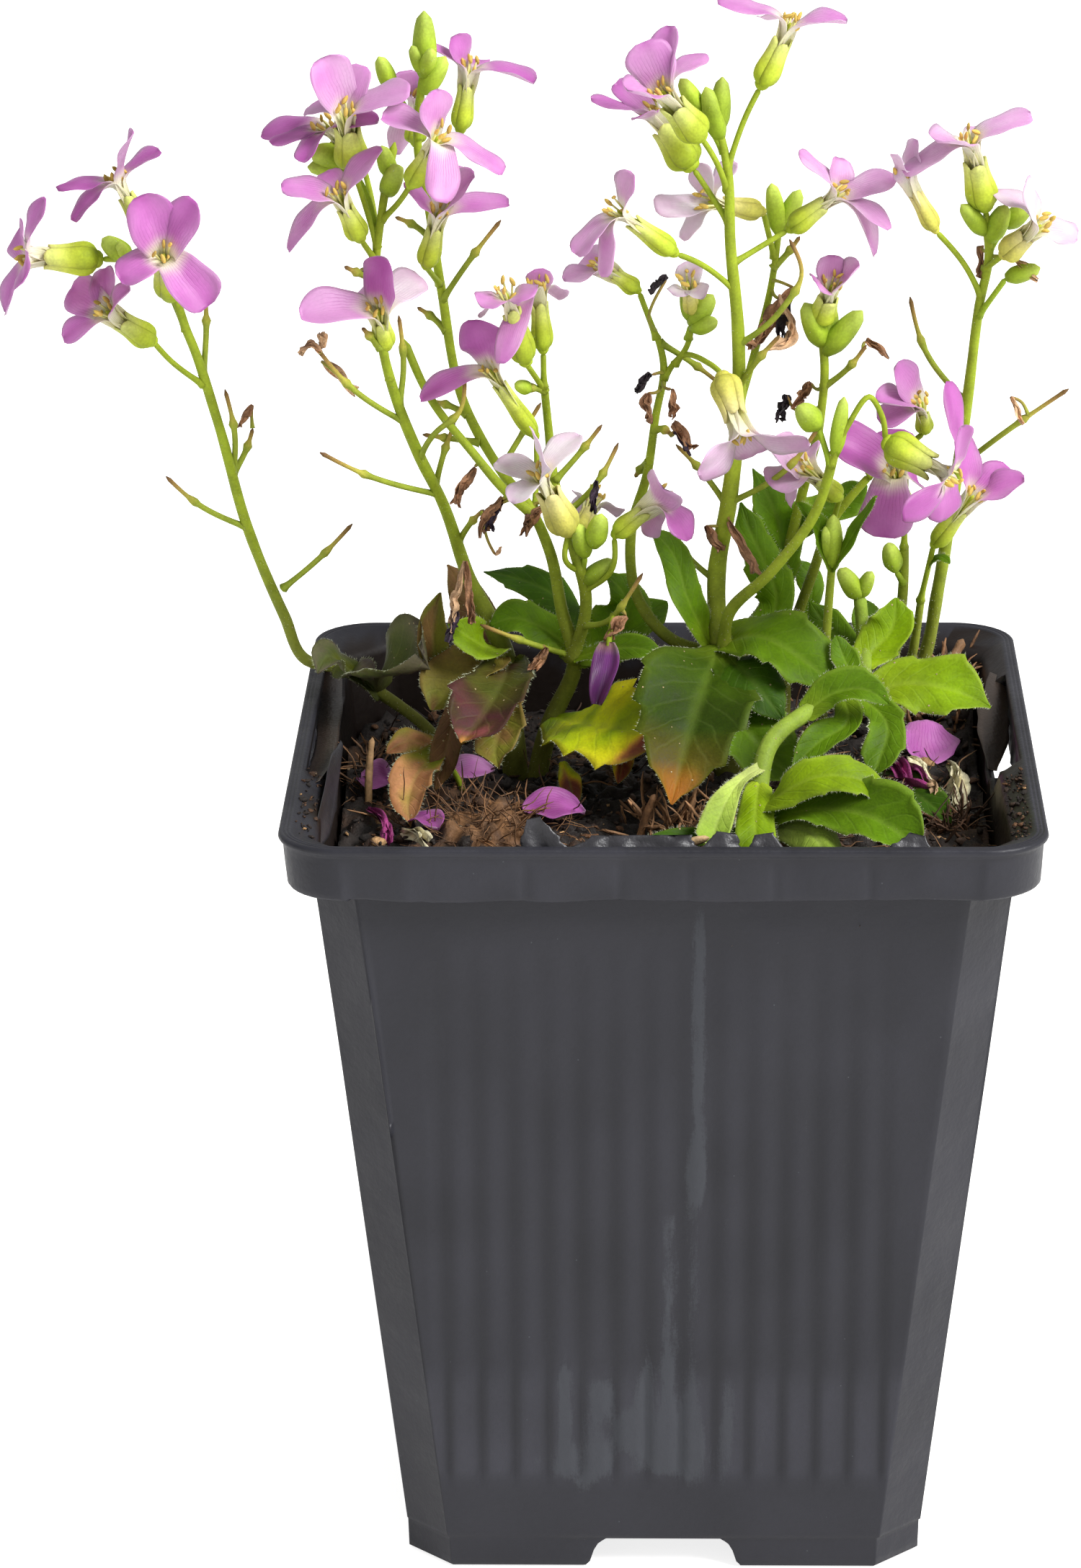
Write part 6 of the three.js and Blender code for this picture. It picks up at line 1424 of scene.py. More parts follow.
# The flowers: the name, the radius of the calyx and the pallor, then the stalk up to the foot of the
# calyx, the flower's mouth, and for each petal its tip, its width and, if it differs, its pallor.
FLOWERS = flowers("""
far_left_1 1.7 0.25 / -57.8 4.8 147.2, -59.5 5 151.5 / -59.5 -3 158 / -62 -5 166.5 5.6, -55.5 -5 166 4.6,
    -54 -6 152.5 5.6, -65 -6 156 4.2
far_left_2 1.3 0.1 / -61.8 2.1 156.2, -62 4 159.5 / -65 4 165 / -63 2 172.5 4, -60 6 169 3.4,
    -73 2 165.5 3.8, -71 1 161.5 3.6
far_left_3 1.9 0.3 / -64.5 1 157, -67.5 1 157 / -75 0 157.5 / -73.5 0 165 3.6, -77.5 7 159.5 3.6,
    -76 -7 156 4.2, -79.1 1 150 3.6
far_left_4 1.5 0.3 / -56 6.5 140, -59.5 4 143.5, -61.5 2 146.5 / -66 -1 150.5 / -72.5 -1 147.5 3.4,
    -71.5 4 152.5 4.8, -67 3 155.5 3.4, -63.5 -5 155 3.4
left_1 1.9 0.55 / -34.2 0 158.5, -35.5 0 163.5, -37 1 168 / -37.5 -2 174.5 / -40.5 -3 182.5 5.6,
    -35.5 0 181 3.4, -29.5 -5 179 4.4, -42.5 3 175 3.8
left_2 1.4 0.15 / -34.2 0 159.5, -35 4 163.5, -36 5 167.5 / -39.5 3 172 / -48.5 5 171.5 3.2, -47 0 171 3,
    -42.5 -4 169.5 3, -33.5 -3 174.5 3
left_3 1.3 0.5 / -33.6 0 162, -31.5 -2 164.5, -30 -4 167 / -27 -6 172.5 / -27 -7 179.5 4.6,
    -33.5 -6 175.5 4, -18.5 -6 169 3.6, -26 -12 166.5 3.8
left_4 1.3 0.45 / -34.4 0 157, -36 -2 160 / -38 -4 165 / -45.5 -6 167 5, -40.5 -1 168 3.4, -33 -5 172 4,
    -45 -4 159 3.2
left_5 1.3 0.5 / -33 0.8 142, -33.5 1 146 / -34 -3 151 / -33 -7 159.5 4.6 0.05, -43.5 -7 152 4.8 0.5,
    -29 2 154.5 4.8 0.85, -38.5 4 150.5 4.4
middle_1 1.3 0.4 / -27.2 8.8 152, -28.5 3 155.5 / -27 0 162 / -22.5 -4 168.5 5, -18 0 164 3.2,
    -31 -3 167 3.2, -24.5 4 168 3.4
middle_2 1.2 0.3 / -28.6 8 163, -27.5 9 166.5, -24.5 10 170.5 / -23.5 10 177 / -25.5 10 182.5 4.2,
    -30 8 182 3.2, -15 8 177 3.4, -23 17 178 3.8
middle_3 1.2 0.5 / -28.8 8 164.5, -30 12 168.5 / -30 13 172 / -31.5 14 177.5 4.4, -27.5 13 178 3.2,
    -32.5 17 166 3.4
middle_4 1 0.15 / -15.8 4.6 124.2, -15.5 6 129, -15.5 6 133.5 / -20.5 1 142.5 / -22.5 -1 150.5 5.4,
    -29.5 0 139.5 3.4
middle_5 1.5 0.5 / -14.4 5.4 139.5, -16.5 1 144 / -18.5 -2 152.5 / -22 -5 152.5 3.8, -15 -5 154.5 3.6,
    -21.5 2 149.5 3
middle_6 1.2 0.45 / -14.5 5 140, -14.5 3 145 / -15 3 152 / -15 4 155.5 3, -19.5 -6 145.5 3, -12.5 8 150 3
middle_7 1.9 0.95 / -10 4.2 117, -12 1.4 119.5, -11.5 2 122.5 / -14.5 -2 130 / -15 -6 137.5 5.6,
    -10 1 135.5 3.4, -20.5 0 132 3.4, -18.5 -6 128.5 3
middle_8 1.2 0.25 / -9.6 4.6 114.5, -6 1 119, -6 1 122.5 / -1.5 0 126.5 / 0 -5 130 5.2, 3.5 -2 122.5 5.2,
    -2.5 4 121.5 3
middle_9 1 0.85 / -10.6 3.5 118.5, -10.5 9 120.5 / -9 12 123 / -10.5 16 123 3.6, -5.5 15 121 3.8,
    -11 17 119.5 3.4
centre_1 1.9 0.5 / 7.6 0 165.5, 5.5 -3 171, 4.5 -3 172.5 / 0.5 -6 178 / -4.5 -10 179.5 5, -2.5 -6 185 5.4,
    1 -4 186.5 3.4, 5 0 182 3.4
centre_2 2.1 0.35 / 7.8 0 161.5, 4.5 1 166.5, 3.5 1 168 / -0.5 2 173.5 / -9 1 176 3.6, -3 -2 175 3,
    -6 6 177.5 3.4
centre_3 1.5 0.45 / 7.6 0 168, 10 0 175, 11.5 0 178 / 14.5 0 184.5 / 6 -1 188.2 3.2, 22 -1 186 3.8,
    12 7 184.5 3.6
centre_4 1.2 0.9 / 13.4 10 155, 12 6 161.5 / 6.5 4 163 / -1.5 2 163 4, 2 3 158.5 3.2, 4 5 168 3.4, 9 5 168 3
centre_5 1.2 0.6 / 8.6 1 153, 3.5 -2 157.5, 1.5 -3 158.5 / -4.5 -5 163.5 / -3 -6 169 4.4, -10.5 -7 159 4.2,
    -7 -8 156.5 3
centre_6 1 0.65 / -0.8 9 145, -3 9 151 / -6.5 9 153.5 / -12.5 8 152.5 4.4, -9.5 13 154.5 3.8
centre_7 1.3 0.6 / 8.3 0.4 156.5, 15 3 160 / 20 2 164 / 16 -1 170.5 3.4, 21 4 169 3.6, 28 3 166.5 3.2,
    27 -1 160.5 3.4, 25.5 3 156.5 3
centre_8 1.7 0.75 / 0 9 140, 2 8 143, 5.5 3 143.5, 7 0 143 / 9 -3 137.5 / 4 -7 132 4.6, 17.5 -8 137.5 4.8,
    11.5 1 132.5 4.6
centre_9 1.9 0.2 / 20 -7.5 133.5, 22 -9 139, 24.5 -9 142.5, 26 -8 140, 26.5 -7 136.5 / 33 -9.5 133.5 /
    35 -14 140.5 3.4, 28 -16 129.5 3.4, 34 -6 144 3.4, 33 -9 127 6
centre_10 0.9 0.95 / 1.4 8.4 142, 3 7 145, 3.5 6 149 / 3 4 152.5 / 3 3 156.5 3, 5 1 152 2.6, 1 1 152.5 2.6
back_1 1.6 0.5 / 19.2 6 146, 19 6 148 / 20 4 152 / 20.5 4 157 3.6, 24 1 156 3.6, 18 1 154.5 3.4
back_2 1.2 0.7 / 20.8 10.2 121.5, 21.5 5 126 / 18 2 130 / 12.5 -1 134.5 4.8, 12.5 -1 129 5,
    17.5 6 132.5 3.6, 15 4 125.5 3.6
back_3 1 0.4 / 25 9 127.6, 32 10 133 / 31.5 8 136.5 / 27.5 6 142.5 4.6, 25.5 3 138.5 3.6, 26 6 135 3.4
far_right_1 1.3 0.15 / 29.5 7.4 119, 29.5 5 124 / 28 -1 130.5 / 20 -4 136 6.2, 26.5 -5 123.5 6.4,
    28 0 136.5 5, 31 2 128.5 4
far_right_2 1.2 0.3 / 31.7 9.7 111.5, 33 5 120 / 37 3 126 / 44 1 129.5 5, 42 5 130.5 3.6, 35.5 4 134.5 4.2
far_right_3 1.8 0.65 / 38.8 3 160, 38.5 3 162.5 / 36.5 0 170.5 / 32 -5 172.5 5.4, 44 0 174.5 3.4,
    39.5 6 171.5 3.6, 28 -2 168 3.4
far_right_4 1 0.75 / 38.2 4 151.5, 36 2 156, 32.5 0 160.5 / 29.5 0 166 / 30 0 172 4.2, 27 -2 170.5 3
far_right_5 1.5 0.9 / 38.6 3.6 155, 40.5 0 157.5 / 44 -2 161 / 43 -5 168 5.2, 49.5 -2 160 4.4,
    39.5 3 165 3.6, 46 4 161.5 3.6""")

# Leaves of other colours, dropped petals and withered flowers, each with its slot.
LOOSE = organs("""
leaf_yellow yellowing_leaf
leaf 4.5 12.4 11.4 1.8: -13.5 8 97, -9 -2 99.5, -3.6 -8.4 100.7, 0.5 -12 100 | hue=yellow bite=0.3
leaf 3 3 1.2: -8 -1 99.2, -5 -6 96.5, -5.5 -9 94 | hue=yellow
leaf_maroon maroon_leaf
leaf 4 8.5 8.5 4: -19.2 11 103, -20.5 -1 103, -22.5 -6 101, -24.5 -9 99 | hue=maroon bite=0.24
leaf 3 6 4.5 1.2: -19.5 4 103, -20 -3 99, -20.5 -6 97, -20 -8 95.5 | hue=brown
leaf_grey grey_leaf
leaf 2 3.6 4 1.6: -35.8 19 96, -40 15 101.5, -42 12 103.5, -43 10 102 | hue=grey
leaf_orange dying_leaf
petiole -24 4 80, -26 2 92, -28 0.4 95
leaf 2.6 5 4.8 1.4: -27.5 1 94.6, -30 -5 94, -31 -10 92.4, -30.5 -15 90.5 | hue=orange bite=0.3 fold=0.3
leaf 2.6 4 1.4: -27.5 1 94.6, -31 0 96.5, -34 -2 95.5 | hue=orange
leaf_small yellowing_leaf
leaf 1 2.8 1.6: -12.5 4 92.4, -11.5 0 91, -11 -5 90 | hue=yellow
fallen_petal_1 petal
fallen 2 5.4 3.6: -37.4 2 91, -35.6 1 91.4, -33.4 1 91 | pallor=0.2
fallen_petal_2 petal
fallen 2 4 2.6: -31 -12 90.6, -28.6 -14.5 91.4, -27 -17 91 | pallor=0.05
fallen_petal_3 petal
fallen 2 4 2.4: -27.5 6 90.4, -24 5 91.2, -21 5.4 90.8 | pallor=0.4
fallen_petal_4 petal
fallen 2 5.2 2: -17 -12 91.6, -13 -12 92.2, -9.5 -12.5 91.4 | pallor=0.12
fallen_petal_5 petal
fallen 4 7.4 4: 33 20 92.6, 33.4 16 90.8, 33.8 12 89.4 | pallor=0.25
withered_flower_1 withered
husk -24.2 3.4 118.5, -25.5 2 113, -26 1.4 110.6 | hue=tan width=1.2
husk -24.2 3.4 118.5, -23.6 3 114, -23.2 2.8 110.4 | hue=brown width=1.1
husk -25.4 2 112.6, -26 1.4 110.4, -26.5 1 109 | hue=purple width=1.4
withered_flower_2 petal
petiole -6 1.6 112, -6.4 -0.4 111, -6.8 -1.4 108.5
wilted -6.8 -1 109.5, -7 -2 107, -7.6 -3.4 104.5, -8 -4 102.5""")

# What lies on the peat at the right: a dark leaf, a shrivelled bloom and a pod.
REMAINS = lines("""
leaf 2 5 5.4 2: 25 9 0.5, 28.5 3 1, 32 -4 1.2, 35 -9 0.6 | hue=deep bite=0.06
husk 27.5 8 1.2, 29 4.5 2.6, 30.5 1 1.6 | hue=magenta width=1.7
husk 28 4 1, 30 1 2.4, 32.6 -1.6 1.4 | hue=magenta width=1.6
husk 30.4 6.6 1, 31.4 3 2.8, 33.4 0.4 1.2 | hue=magenta width=1.5
husk 29.4 6 1, 31 5 3, 32.4 3 2 | hue=cream width=2
husk 32.4 1 1, 33 -1.6 2.4, 34 -4 1 | hue=tan width=2
husk 36 9 0.6, 36.4 3 2.4, 36.4 -4 1.2 | hue=cream width=2.6
husk -31.5 -16 0.6, -29.6 -19 2, -28.6 -22 1 | hue=cream width=1.8
husk -36 -8 0.4, -34 -13 1.6, -33.4 -18 0.6 | hue=magenta width=1.4
leaf 1.2 3.2 3.4 1: -24.6 4 103, -26 0 98.6, -27 -2 94.6, -28 -3 91 | hue=dead""")


def set_inputs(tree, node, values):
    """Sets or links a node's inputs by name or number."""
    for key, value in values.items():
        if isinstance(value, bpy.types.NodeSocket):
            tree.links.new(value, node.inputs[key])
        else:
            node.inputs[key].default_value = value


def add_node(tree, kind, values=(), **settings):
    """Adds a node, sets its properties, and sets or links its inputs."""
    node = tree.nodes.new(kind)
    for key, value in settings.items():
        setattr(node, key, value)
    set_inputs(tree, node, dict(values))
    return node


def maths(tree, operation, a, b=0.0):
    """The output of a Math node."""
    return add_node(tree, "ShaderNodeMath", {0: a, 1: b}, operation=operation).outputs[0]


def times(tree, a, b):
    """The product of two values."""
    return maths(tree, "MULTIPLY", a, b)


def plus(tree, a, b):
    """The sum of two values."""
    return maths(tree, "ADD", a, b)


def minus(tree, a, b):
    """The difference of two values."""
    return maths(tree, "SUBTRACT", a, b)


def blended(tree, factor, a, b, blend="MIX"):
    """The output of a Mix node of two colours."""
    node = add_node(tree, "ShaderNodeMix", {0: factor, 6: a, 7: b}, data_type="RGBA", blend_type=blend)
    return node.outputs[2]


def spread(tree, value, low, high, to_low=0.0, to_high=1.0):
    """The output of a Map Range node that steps smoothly."""
    values = {0: value, 1: low, 2: high, 3: to_low, 4: to_high}
    return add_node(tree, "ShaderNodeMapRange", values, interpolation_type="SMOOTHSTEP").outputs[0]


def noise(tree, place, scale, detail=2.0, roughness=0.5):
    """The value of a Noise Texture node. The scale is in waves per metre."""
    values = {"Vector": place, "Scale": scale, "Detail": detail, "Roughness": roughness}
    return add_node(tree, "ShaderNodeTexNoise", values).outputs[0]


def object_place(tree):
    """The surface's place in metres."""
    return add_node(tree, "ShaderNodeTexCoord").outputs["Object"]


def attribute(tree, name, output):
    """A mesh attribute's output."""
    return add_node(tree, "ShaderNodeAttribute", attribute_name=name).outputs[output]


def span_parts(tree):
    """How far along its organ a point is, how far across it, and whether it is on a blade."""
    split = add_node(tree, "ShaderNodeSeparateXYZ", {0: attribute(tree, "span", "Vector")})
    return split.outputs


def new_group(name, inputs, *outputs):
    """A shader node group whose inputs have these defaults. An input is a colour if its default
    is white, an output if it is named so, and all others are numbers."""
    group = bpy.data.node_groups.new(name, "ShaderNodeTree")
    for label, default in inputs.items():
        kind = "NodeSocketColor" if default == WHITE else "NodeSocketFloat"
        group.interface.new_socket(label, in_out="INPUT", socket_type=kind).default_value = default
    for label in outputs:
        kind = "NodeSocketColor" if label == "Colour" else "NodeSocketFloat"
        group.interface.new_socket(label, in_out="OUTPUT", socket_type=kind)
    return group, group.nodes.new("NodeGroupInput").outputs, group.nodes.new("NodeGroupOutput").inputs


WHITE = (1, 1, 1, 1)


def mottle_group():
    """Lightens and darkens a colour in blotches and in fine grain."""
    inputs = {"Colour": WHITE, "Blotches": 300.0, "Grain": 2500.0, "Amount": 0.3}
    group, given, result = new_group("mottle", inputs, "Colour", "Height")
    place = object_place(group)
    coarse = noise(group, place, given["Blotches"], 3.0)
    fine = noise(group, place, given["Grain"], 2.0)
    both = plus(group, times(group, coarse, 0.6), times(group, fine, 0.4))
    swing = times(group, minus(group, both, 0.5), given["Amount"])
    value = plus(group, times(group, swing, 4.0), 1.0)
    tone = add_node(group, "ShaderNodeHueSaturation", {"Color": given["Colour"], "Value": value}).outputs[0]
    group.links.new(tone, result["Colour"])
    group.links.new(both, result["Height"])


def fleck_group():
    """Scatters small round flecks, such as grit, over a colour, and raises them."""
    inputs = {"Colour": WHITE, "Fleck": WHITE, "Scale": 900.0, "Share": 0.3}
    group, given, result = new_group("fleck", inputs, "Colour", "Mask")
    place = object_place(group)
    grains = add_node(group, "ShaderNodeTexVoronoi", {"Vector": place, "Scale": given["Scale"]})
    lottery = add_node(group, "ShaderNodeSeparateColor", {0: grains.outputs["Color"]}).outputs[0]
    chosen = maths(group, "LESS_THAN", lottery, given["Share"])
    dot = spread(group, grains.outputs["Distance"], 0.3, 0.18)
    mask = times(group, chosen, dot)
    group.links.new(blended(group, mask, given["Colour"], given["Fleck"]), result["Colour"])
    group.links.new(mask, result["Mask"])


def leaf_vein_group():
    """Side veins that leave a leaf's midrib and run forward: thin lines where the place along
    the leaf less a share of the place across it passes a whole number of steps."""
    inputs = {"Count": 9.0, "Lean": 0.22, "Width": 0.14}
    group, given, result = new_group("leaf veins", inputs, "Mask")
    along, across, blade = span_parts(group)
    aside = maths(group, "ABSOLUTE", across)
    wobble = times(group, noise(group, object_place(group), 260.0), 0.08)
    lean = minus(group, along, times(group, aside, given["Lean"]))
    steps = times(group, plus(group, lean, wobble), given["Count"])
    off = maths(group, "PINGPONG", steps, 0.5)
    side = spread(group, maths(group, "DIVIDE", off, given["Width"]), 1.0, 0.0)
    side = times(group, side, spread(group, aside, 1.0, 0.6, 0.0, 0.8))
    middle = spread(group, aside, 0.16, 0.02)
    mask = times(group, maths(group, "MAXIMUM", side, middle), blade)
    group.links.new(mask, result["Mask"])


def petal_vein_group():
    """Fine veins that fan out along a petal: thin lines at even steps across it."""
    group, given, result = new_group("petal veins", {"Count": 7.0, "Width": 0.22}, "Mask")
    along, across, blade = span_parts(group)
    wobble = times(group, noise(group, object_place(group), 700.0, 2.0), 0.22)
    steps = times(group, plus(group, across, wobble), given["Count"])
    off = maths(group, "PINGPONG", steps, 0.5)
    line = spread(group, maths(group, "DIVIDE", off, given["Width"]), 1.0, 0.0)
    fade = spread(group, along, 0.98, 0.55)
    group.links.new(times(group, times(group, line, fade), blade), result["Mask"])


def dust_group():
    """Pale dust and residue: a mask from a wear value and noise that is stretched upwards."""
    inputs = {"Wear": 0.0, "Across": 900.0, "Upwards": 120.0}
    group, given, result = new_group("dust", inputs, "Mask")
    place = object_place(group)
    sizes = {0: given["Across"], 1: given["Across"], 2: given["Upwards"]}
    scale = add_node(group, "ShaderNodeCombineXYZ", sizes).outputs[0]
    stretched = add_node(group, "ShaderNodeVectorMath", {0: place, 1: scale}, operation="MULTIPLY")
    smears = noise(group, stretched.outputs[0], 1.0, 4.0, 0.7)
    grains = noise(group, place, 2600.0, 3.0, 0.8)
    both = plus(group, times(group, smears, 0.65), times(group, grains, 0.35))
    level = minus(group, 0.92, times(group, given["Wear"], 0.6))
    mask = spread(group, minus(group, both, level), -0.12, 0.12)
    group.links.new(mask, result["Mask"])


def place_group(tree, name, **values):
    """Adds a node group that was built before, and gives its outputs."""
    return add_node(tree, "ShaderNodeGroup", values, node_tree=bpy.data.node_groups[name]).outputs


def painted(tree, blotches, grain, amount):
    """The surface's painted tint, mottled: a colour and a height."""
    tint = attribute(tree, "tint", "Color")
    return place_group(tree, "mottle", Colour=tint, Blotches=blotches, Grain=grain, Amount=amount)


def new_material(name, **constants):
    """A material with one shader, whose constants are set by name. Gives it and its node tree."""
    material = bpy.data.materials.new(name)
    material.use_nodes = True
    shader = material.node_tree.nodes["Principled BSDF"]
    set_inputs(material.node_tree, shader, {key.replace("_", " "): value for key, value in constants.items()})
    return material, material.node_tree, shader


def bump(tree, shader, height, distance, strength=1.0):
    """Raises the surface by a height times a distance in millimetres."""
    values = {"Height": height, "Distance": distance * MM, "Strength": strength}
    tree.links.new(add_node(tree, "ShaderNodeBump", values).outputs[0], shader.inputs["Normal"])


def growth_finish():
    """Leaves, stems and calyces: the painted tint with blotches, paler veins and grit."""
    material, tree, shader = new_material("green growth", Roughness=0.5, Specular_IOR_Level=0.16,
        Subsurface_Weight=0.1, Subsurface_Scale=0.0015, Subsurface_Radius=(0.6, 1.0, 0.2))
    mottled = painted(tree, 420.0, 3200.0, 0.32)
    veins = place_group(tree, "leaf veins")["Mask"]
    pale = blended(tree, times(tree, veins, 0.04), mottled["Colour"], (0.4, 0.5, 0.14, 1))
    dusty = place_group(tree, "fleck", Colour=pale, Fleck=(0.4, 0.31, 0.17, 1), Scale=2000.0, Share=0.022)
    low = add_node(tree, "ShaderNodeSeparateXYZ", {0: object_place(tree)}).outputs[2]
    gritty = spread(tree, low, 0.135, 0.105)
    colour = blended(tree, gritty, pale, dusty["Colour"])
    dullness = spread(tree, mottled["Height"], 0.3, 0.7, 0.5, 0.7)
    set_inputs(tree, shader, {"Base Color": colour, "Roughness": dullness})
    height = plus(tree, mottled["Height"], times(tree, veins, -0.4))
    height = plus(tree, height, times(tree, times(tree, dusty["Mask"], gritty), 1.2))
    bump(tree, shader, height, 0.14, 0.7)
    return material


def petal_finish():
    """Petals: the painted tint with faint deeper veins and a soft sheen."""
    material, tree, shader = new_material("pink bloom", Roughness=0.5, Sheen_Weight=0.12,
        Subsurface_Weight=0.3, Subsurface_Scale=0.002, Subsurface_Radius=(1.0, 0.6, 0.9))
    mottled = painted(tree, 300.0, 2400.0, 0.1)
    veins = place_group(tree, "petal veins")["Mask"]
    deeper = blended(tree, 1.0, mottled["Colour"], (0.8, 0.55, 0.78, 1), "MULTIPLY")
    colour = blended(tree, times(tree, veins, 0.6), mottled["Colour"], deeper)
    tree.links.new(colour, shader.inputs["Base Color"])
    height = plus(tree, times(tree, mottled["Height"], 0.6), times(tree, veins, -0.5))
    bump(tree, shader, height, 0.1, 0.5)
    return material


def plain_finish(name, roughness, blotches, grain, amount, relief):
    """The painted tint, mottled, with the same mottling as its relief."""
    material, tree, shader = new_material(name, Roughness=roughness)
    mottled = painted(tree, blotches, grain, amount)
    tree.links.new(mottled["Colour"], shader.inputs["Base Color"])
    bump(tree, shader, mottled["Height"], relief)
    return material


def peat_finish():
    """Damp peat: brown with blotches and a gritty relief."""
    material, tree, shader = new_material("damp peat", Roughness=0.85)
    mottled = painted(tree, 600.0, 2600.0, 0.6)
    bits = place_group(tree, "fleck", Colour=mottled["Colour"], Fleck=(0.2, 0.13, 0.07, 1),
        Scale=1100.0, Share=0.12)
    dullness = spread(tree, mottled["Height"], 0.3, 0.7, 0.95, 0.65)
    set_inputs(tree, shader, {"Base Color": bits["Colour"], "Roughness": dullness})
    bump(tree, shader, plus(tree, mottled["Height"], bits["Mask"]), 0.5)
    return material


def plastic_finish(settings):
    """The pot's thin plastic: dark grey and satin, with pale dust, specks and fine scratches."""
    material, tree, shader = new_material("pot plastic", Roughness=0.45, Specular_IOR_Level=0.25)
    mottled = painted(tree, 160.0, 1500.0, 0.12)
    wear = add_node(tree, "ShaderNodeSeparateXYZ", {0: attribute(tree, "span", "Vector")}).outputs[0]
    smears = place_group(tree, "dust", Wear=wear)["Mask"]
    dust = screen_colour(settings.dust)
    dusted = blended(tree, times(tree, smears, 0.7), mottled["Colour"], dust)
    specks = place_group(tree, "fleck", Colour=dusted, Fleck=dust, Scale=2600.0, Share=0.002)
    dullness = plus(tree, spread(tree, mottled["Height"], 0.3, 0.7, 0.36, 0.5), times(tree, smears, 0.3))
    set_inputs(tree, shader, {"Base Color": specks["Colour"], "Roughness": dullness})
    place = object_place(tree)
    relief = plus(tree, noise(tree, place, 90.0, 3.0), times(tree, noise(tree, place, 1800.0, 2.0), 0.08))
    bump(tree, shader, plus(tree, relief, times(tree, smears, 0.06)), 0.5)
    return material


def screen_colour(colour):
    """A colour setting as a linear colour with an alpha of 1."""
    return (*linear(np.array(colour) * 255), 1)


# The finishes by name, with what the plain ones are given: papery dried sepals and petals, the
# streaked brown of fibres, straws and bark, and thin film, grey and slightly glossy.
FINISHES = {
    "green growth": (growth_finish,),
    "pink bloom": (petal_finish,),
    "damp peat": (peat_finish,),
    "pot plastic": (plastic_finish,),
    "dry growth": (plain_finish, "dry growth", 0.7, 700.0, 3600.0, 0.5, 0.35),
    "fibre": (plain_finish, "fibre", 0.75, 500.0, 3000.0, 0.45, 0.2),
    "torn film": (plain_finish, "torn film", 0.4, 500.0, 2500.0, 0.25, 0.15),
}


def finished(name, *settings):
    """The material of a finish, made only once, with the node groups."""
    for make in (mottle_group, fleck_group, leaf_vein_group, petal_vein_group, dust_group):
        if not bpy.data.node_groups.get(make.__name__.removesuffix("_group").replace("_", " ")):
            make()
    build, *values = FINISHES[name]
    return bpy.data.materials.get(name) or build(*values, *settings)


def plant_finishes():
    """The plant's materials, with the petals' and the dry bits' in the places PETAL and DRY."""
    return [finished(name) for name in ("green growth", "pink bloom", "dry growth")]


def put(thing, side, up, back, place):
    """Puts a light or the camera in the scene, turned by three axes."""
    matrix = Matrix.Identity(4)
    for row in range(3):
        matrix[row][:] = (side[row], up[row], back[row], place[row])
    thing.matrix_world = matrix
    bpy.context.scene.collection.objects.link(thing)


def soft_light(name, place, aim, size, power, colour=(1, 1, 1)):
    """A square area light at a place, turned to face a point."""
    light = bpy.data.lights.new(name, "AREA")
    light.size = size
    light.energy = power
    light.color = colour
    lamp = bpy.data.objects.new(name, light)
    towards = unit(np.subtract(place, aim))
    side = unit(np.cross([0, 0, 1], towards))
    put(lamp, side, np.cross(towards, side), towards, place)


def photo_camera():
    """The camera at the photograph's viewing angle: a long lens, just above the plant."""
    camera = bpy.data.cameras.new("camera")
    camera.lens = CAMERA_LENS
    camera.sensor_width = 36
    camera.clip_end = 50
    holder = bpy.data.objects.new("camera", camera)
    ahead = unit(np.array(CAMERA_AHEAD))
    level = unit(np.cross(ahead, [0, 0, 1]))
    upright = np.cross(level, ahead)
    side = level * np.cos(CAMERA_ROLL) - upright * np.sin(CAMERA_ROLL)
    up = upright * np.cos(CAMERA_ROLL) + level * np.sin(CAMERA_ROLL)
    put(holder, side, up, -ahead, [c * MM for c in CAMERA_PLACE])
    bpy.context.scene.camera = holder


def backdrop(settings):
    """A wide pale floor in fine plaster, as rings turned to face up, and an even pale sky."""
    angle = turns(96)
    radii = np.array([0.001, 0.4, 1.2, 3, 9])[:, None]
    places = grid(radii * np.cos(angle), radii * np.sin(angle), -0.0002).reshape(-1, 3)
    quads = ring_faces(len(radii), len(angle))[0][:, [0, 3, 2, 1]]
    mesh = bpy.data.meshes.new("floor")
    mesh.from_pydata(places.tolist(), [], [*quads.tolist(), list(range(len(angle)))])
    floor = bpy.data.objects.new("floor", mesh)
    material, tree, shader = new_material("pale floor", Roughness=0.9, Specular_IOR_Level=0.1,
        Emission_Strength=1.0)
    seen = add_node(tree, "ShaderNodeLightPath").outputs["Is Camera Ray"]
    glow = blended(tree, seen, (0.36, 0.36, 0.36, 1), (0.8, 0.8, 0.8, 1))
    tree.links.new(glow, shader.inputs["Emission Color"])
    tone = noise(tree, object_place(tree), 9.0, 4.0)
    colour = screen_colour(settings.floor_colour)
    dark = (*(0.97 * c for c in colour[:3]), 1)
    tree.links.new(blended(tree, tone, dark, colour), shader.inputs["Base Color"])
    mesh.materials.append(material)
    bpy.context.scene.collection.objects.link(floor)
    world = bpy.data.worlds.new("soft sky")
    world.use_nodes = True
    tree = world.node_tree
    sky = tree.nodes["Background"]
    sky.inputs["Color"].default_value = (1, 1, 1, 1)
    sky.inputs["Strength"].default_value = settings.sky_strength
    seen = add_node(tree, "ShaderNodeBackground", {"Color": (1, 1, 1, 1), "Strength": 1.0})
    direct = add_node(tree, "ShaderNodeLightPath").outputs["Is Camera Ray"]
    both = add_node(tree, "ShaderNodeMixShader", {0: direct, 1: sky.outputs[0], 2: seen.outputs[0]})
    tree.links.new(both.outputs[0], tree.nodes["World Output"].inputs["Surface"])
    bpy.context.scene.world = world


def loose_part(seed, organ_lines):
    """A surface of organs that no stem is near: the only one is far away."""
    surface = Surface(seed, [np.full((1, 3), FAR_OFF)])
    for line in organ_lines:
        grow(surface, line)
    return surface


